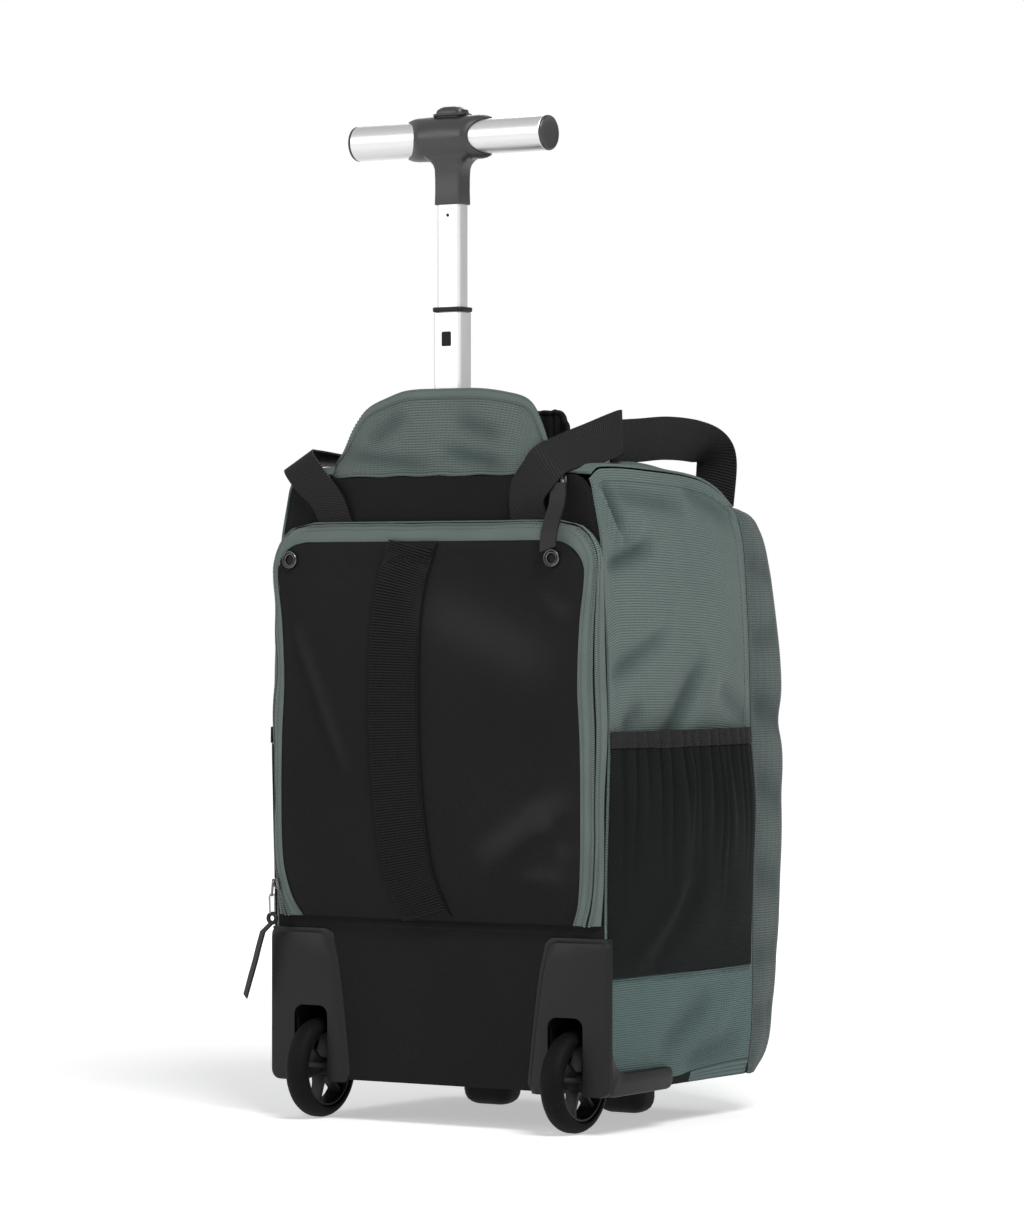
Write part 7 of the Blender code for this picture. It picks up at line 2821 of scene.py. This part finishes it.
@dataclass
class Studio:
    """Pale floor, soft light and the camera."""

    eye: tuple[float, float, float] = (2.1252, -3.1798, 0.3881)
    azimuth: float = 33.0
    focal_px: float = 5030.0
    image_height: float = 1229.0
    sensor: float = 36.0
    glow: float = 0.20
    shine: float = 0.94
    dark_share: float = 0.42
    bright_side: tuple[float, float, float] = (-0.52, -0.80, 0.05)
    floor_glow: float = 0.46
    floor_glow_far: float = 0.90
    floor_reach: float = 16.0
    floor_drop: float = 0.0004
    aim: tuple[float, float, float] = (0.0, 0.0, 0.30)
    # Name, place, size and power of each lamp
    lamps: tuple = (("key", (2.1, -1.5, 3.2), 1.5, 112.0), ("fill", (-1.6, -2.6, 1.6), 1.2, 16.0),
                    ("rear", (-1.2, 2.4, 2.4), 1.2, 24.0))

    def build(self, shop: Workshop) -> None:
        """Make floor, light and camera.

        Args:
            shop: Workshop that makes the pieces.
        """
        scene = bpy.context.scene
        scene.view_settings.view_transform = "Standard"
        camera = bpy.data.cameras.new("camera")
        camera.sensor_width = self.sensor
        camera.lens = self.sensor * self.focal_px / self.image_height
        camera.clip_end = 60.0
        eye = bpy.data.objects.new("camera", camera)
        eye.location = Vector(self.eye) + shop.shift
        eye.rotation_euler = (math.pi / 2, 0.0, math.radians(self.azimuth))
        scene.collection.objects.link(eye)
        scene.camera = eye
        mesh = bpy.data.meshes.new("floor")
        reach = self.floor_reach
        mesh.from_pydata([(-reach, -reach, 0), (reach, -reach, 0), (reach, reach, 0), (-reach, reach, 0)], [],
                         [(0, 1, 2, 3)])
        mesh.materials.append(self.floor_material())
        floor = bpy.data.objects.new("floor", mesh)
        floor.location.z = -self.floor_drop
        scene.collection.objects.link(floor)
        self.build_world(scene)
        for name, place, size, power in self.lamps:
            light = bpy.data.lights.new(name, "AREA")
            light.size = size
            light.energy = power
            lamp = bpy.data.objects.new(name, light)
            lamp.location = place
            aim = Vector(self.aim) - Vector(place)
            lamp.rotation_euler = aim.to_track_quat("-Z", "Y").to_euler()
            scene.collection.objects.link(lamp)

    def floor_material(self) -> bpy.types.Material:
        """White floor that glows a little more far from the bag, so that its edge is lost.

        Returns:
            The material.
        """
        pale = bpy.data.materials.new("pale_floor")
        nodes = Nodes(pale)
        place = nodes.add("ShaderNodeTexCoord").outputs["Object"]
        reach = Num(nodes, nodes.add("ShaderNodeVectorMath", {"operation": "LENGTH"},
                                     {0: place}).outputs["Value"])
        near, far = (self.floor_glow,) * 3, (self.floor_glow_far,) * 3
        glow = nodes.blend((reach - 0.7) / 1.6, near, far)
        nodes.close((0.80, 0.80, 0.81), 0.9, None, 0.0, {"Emission Color": glow, "Emission Strength": 1.0,
                                                        "Specular IOR Level": 0.0})
        return pale

    def build_world(self, scene: bpy.types.Scene) -> None:
        """White surroundings that light the cloth less than they show behind it.

        Args:
            scene: The scene that it lights.
        """
        world = bpy.data.worlds.new("world")
        nodes = Nodes(world)
        rays = nodes.add("ShaderNodeLightPath").outputs
        way = nodes.add("ShaderNodeTexCoord").outputs["Generated"]
        toward = nodes.add("ShaderNodeVectorMath", {"operation": "DOT_PRODUCT"},
                           {0: way, 1: self.bright_side})
        sheen = nodes.add("ShaderNodeMapRange", None,
                          {"Value": toward.outputs["Value"], "From Min": -1.0,
                           "To Min": self.shine * self.dark_share, "To Max": self.shine})
        shine = nodes.add("ShaderNodeMix", None,
                          {0: rays["Is Glossy Ray"], 2: self.glow, 3: sheen.outputs[0]})
        seen = nodes.add("ShaderNodeMix", None, {0: rays["Is Camera Ray"], 2: shine.outputs[0], 3: 1.0})
        back = nodes.add("ShaderNodeBackground", None, {0: (1.0, 1.0, 1.0, 1.0), 1: seen.outputs[0]})
        nodes.add("ShaderNodeOutputWorld", None, {0: back.outputs[0]})
        scene.world = world


def main() -> None:
    """Build and dress every sub-assembly in order."""
    logging.basicConfig(level=logging.INFO, format="%(name)s: %(message)s")
    shop = Workshop()
    Studio().build(shop)
    cover = BackCover()
    for assembly in (SidePanels(), TopPanel(), FrontCompartment(), Underside(), BackPanel(), cover,
                     HoodPocket(),
                     Telescope(), Grip(), Wheel(), Housings(), Feet(), MeshPockets(), CarryHandles(),
                     ZipPulls(cover)):
        assembly.build(shop)
        LOG.info("%s done", type(assembly).__name__)


if __name__ == "__main__":
    main()
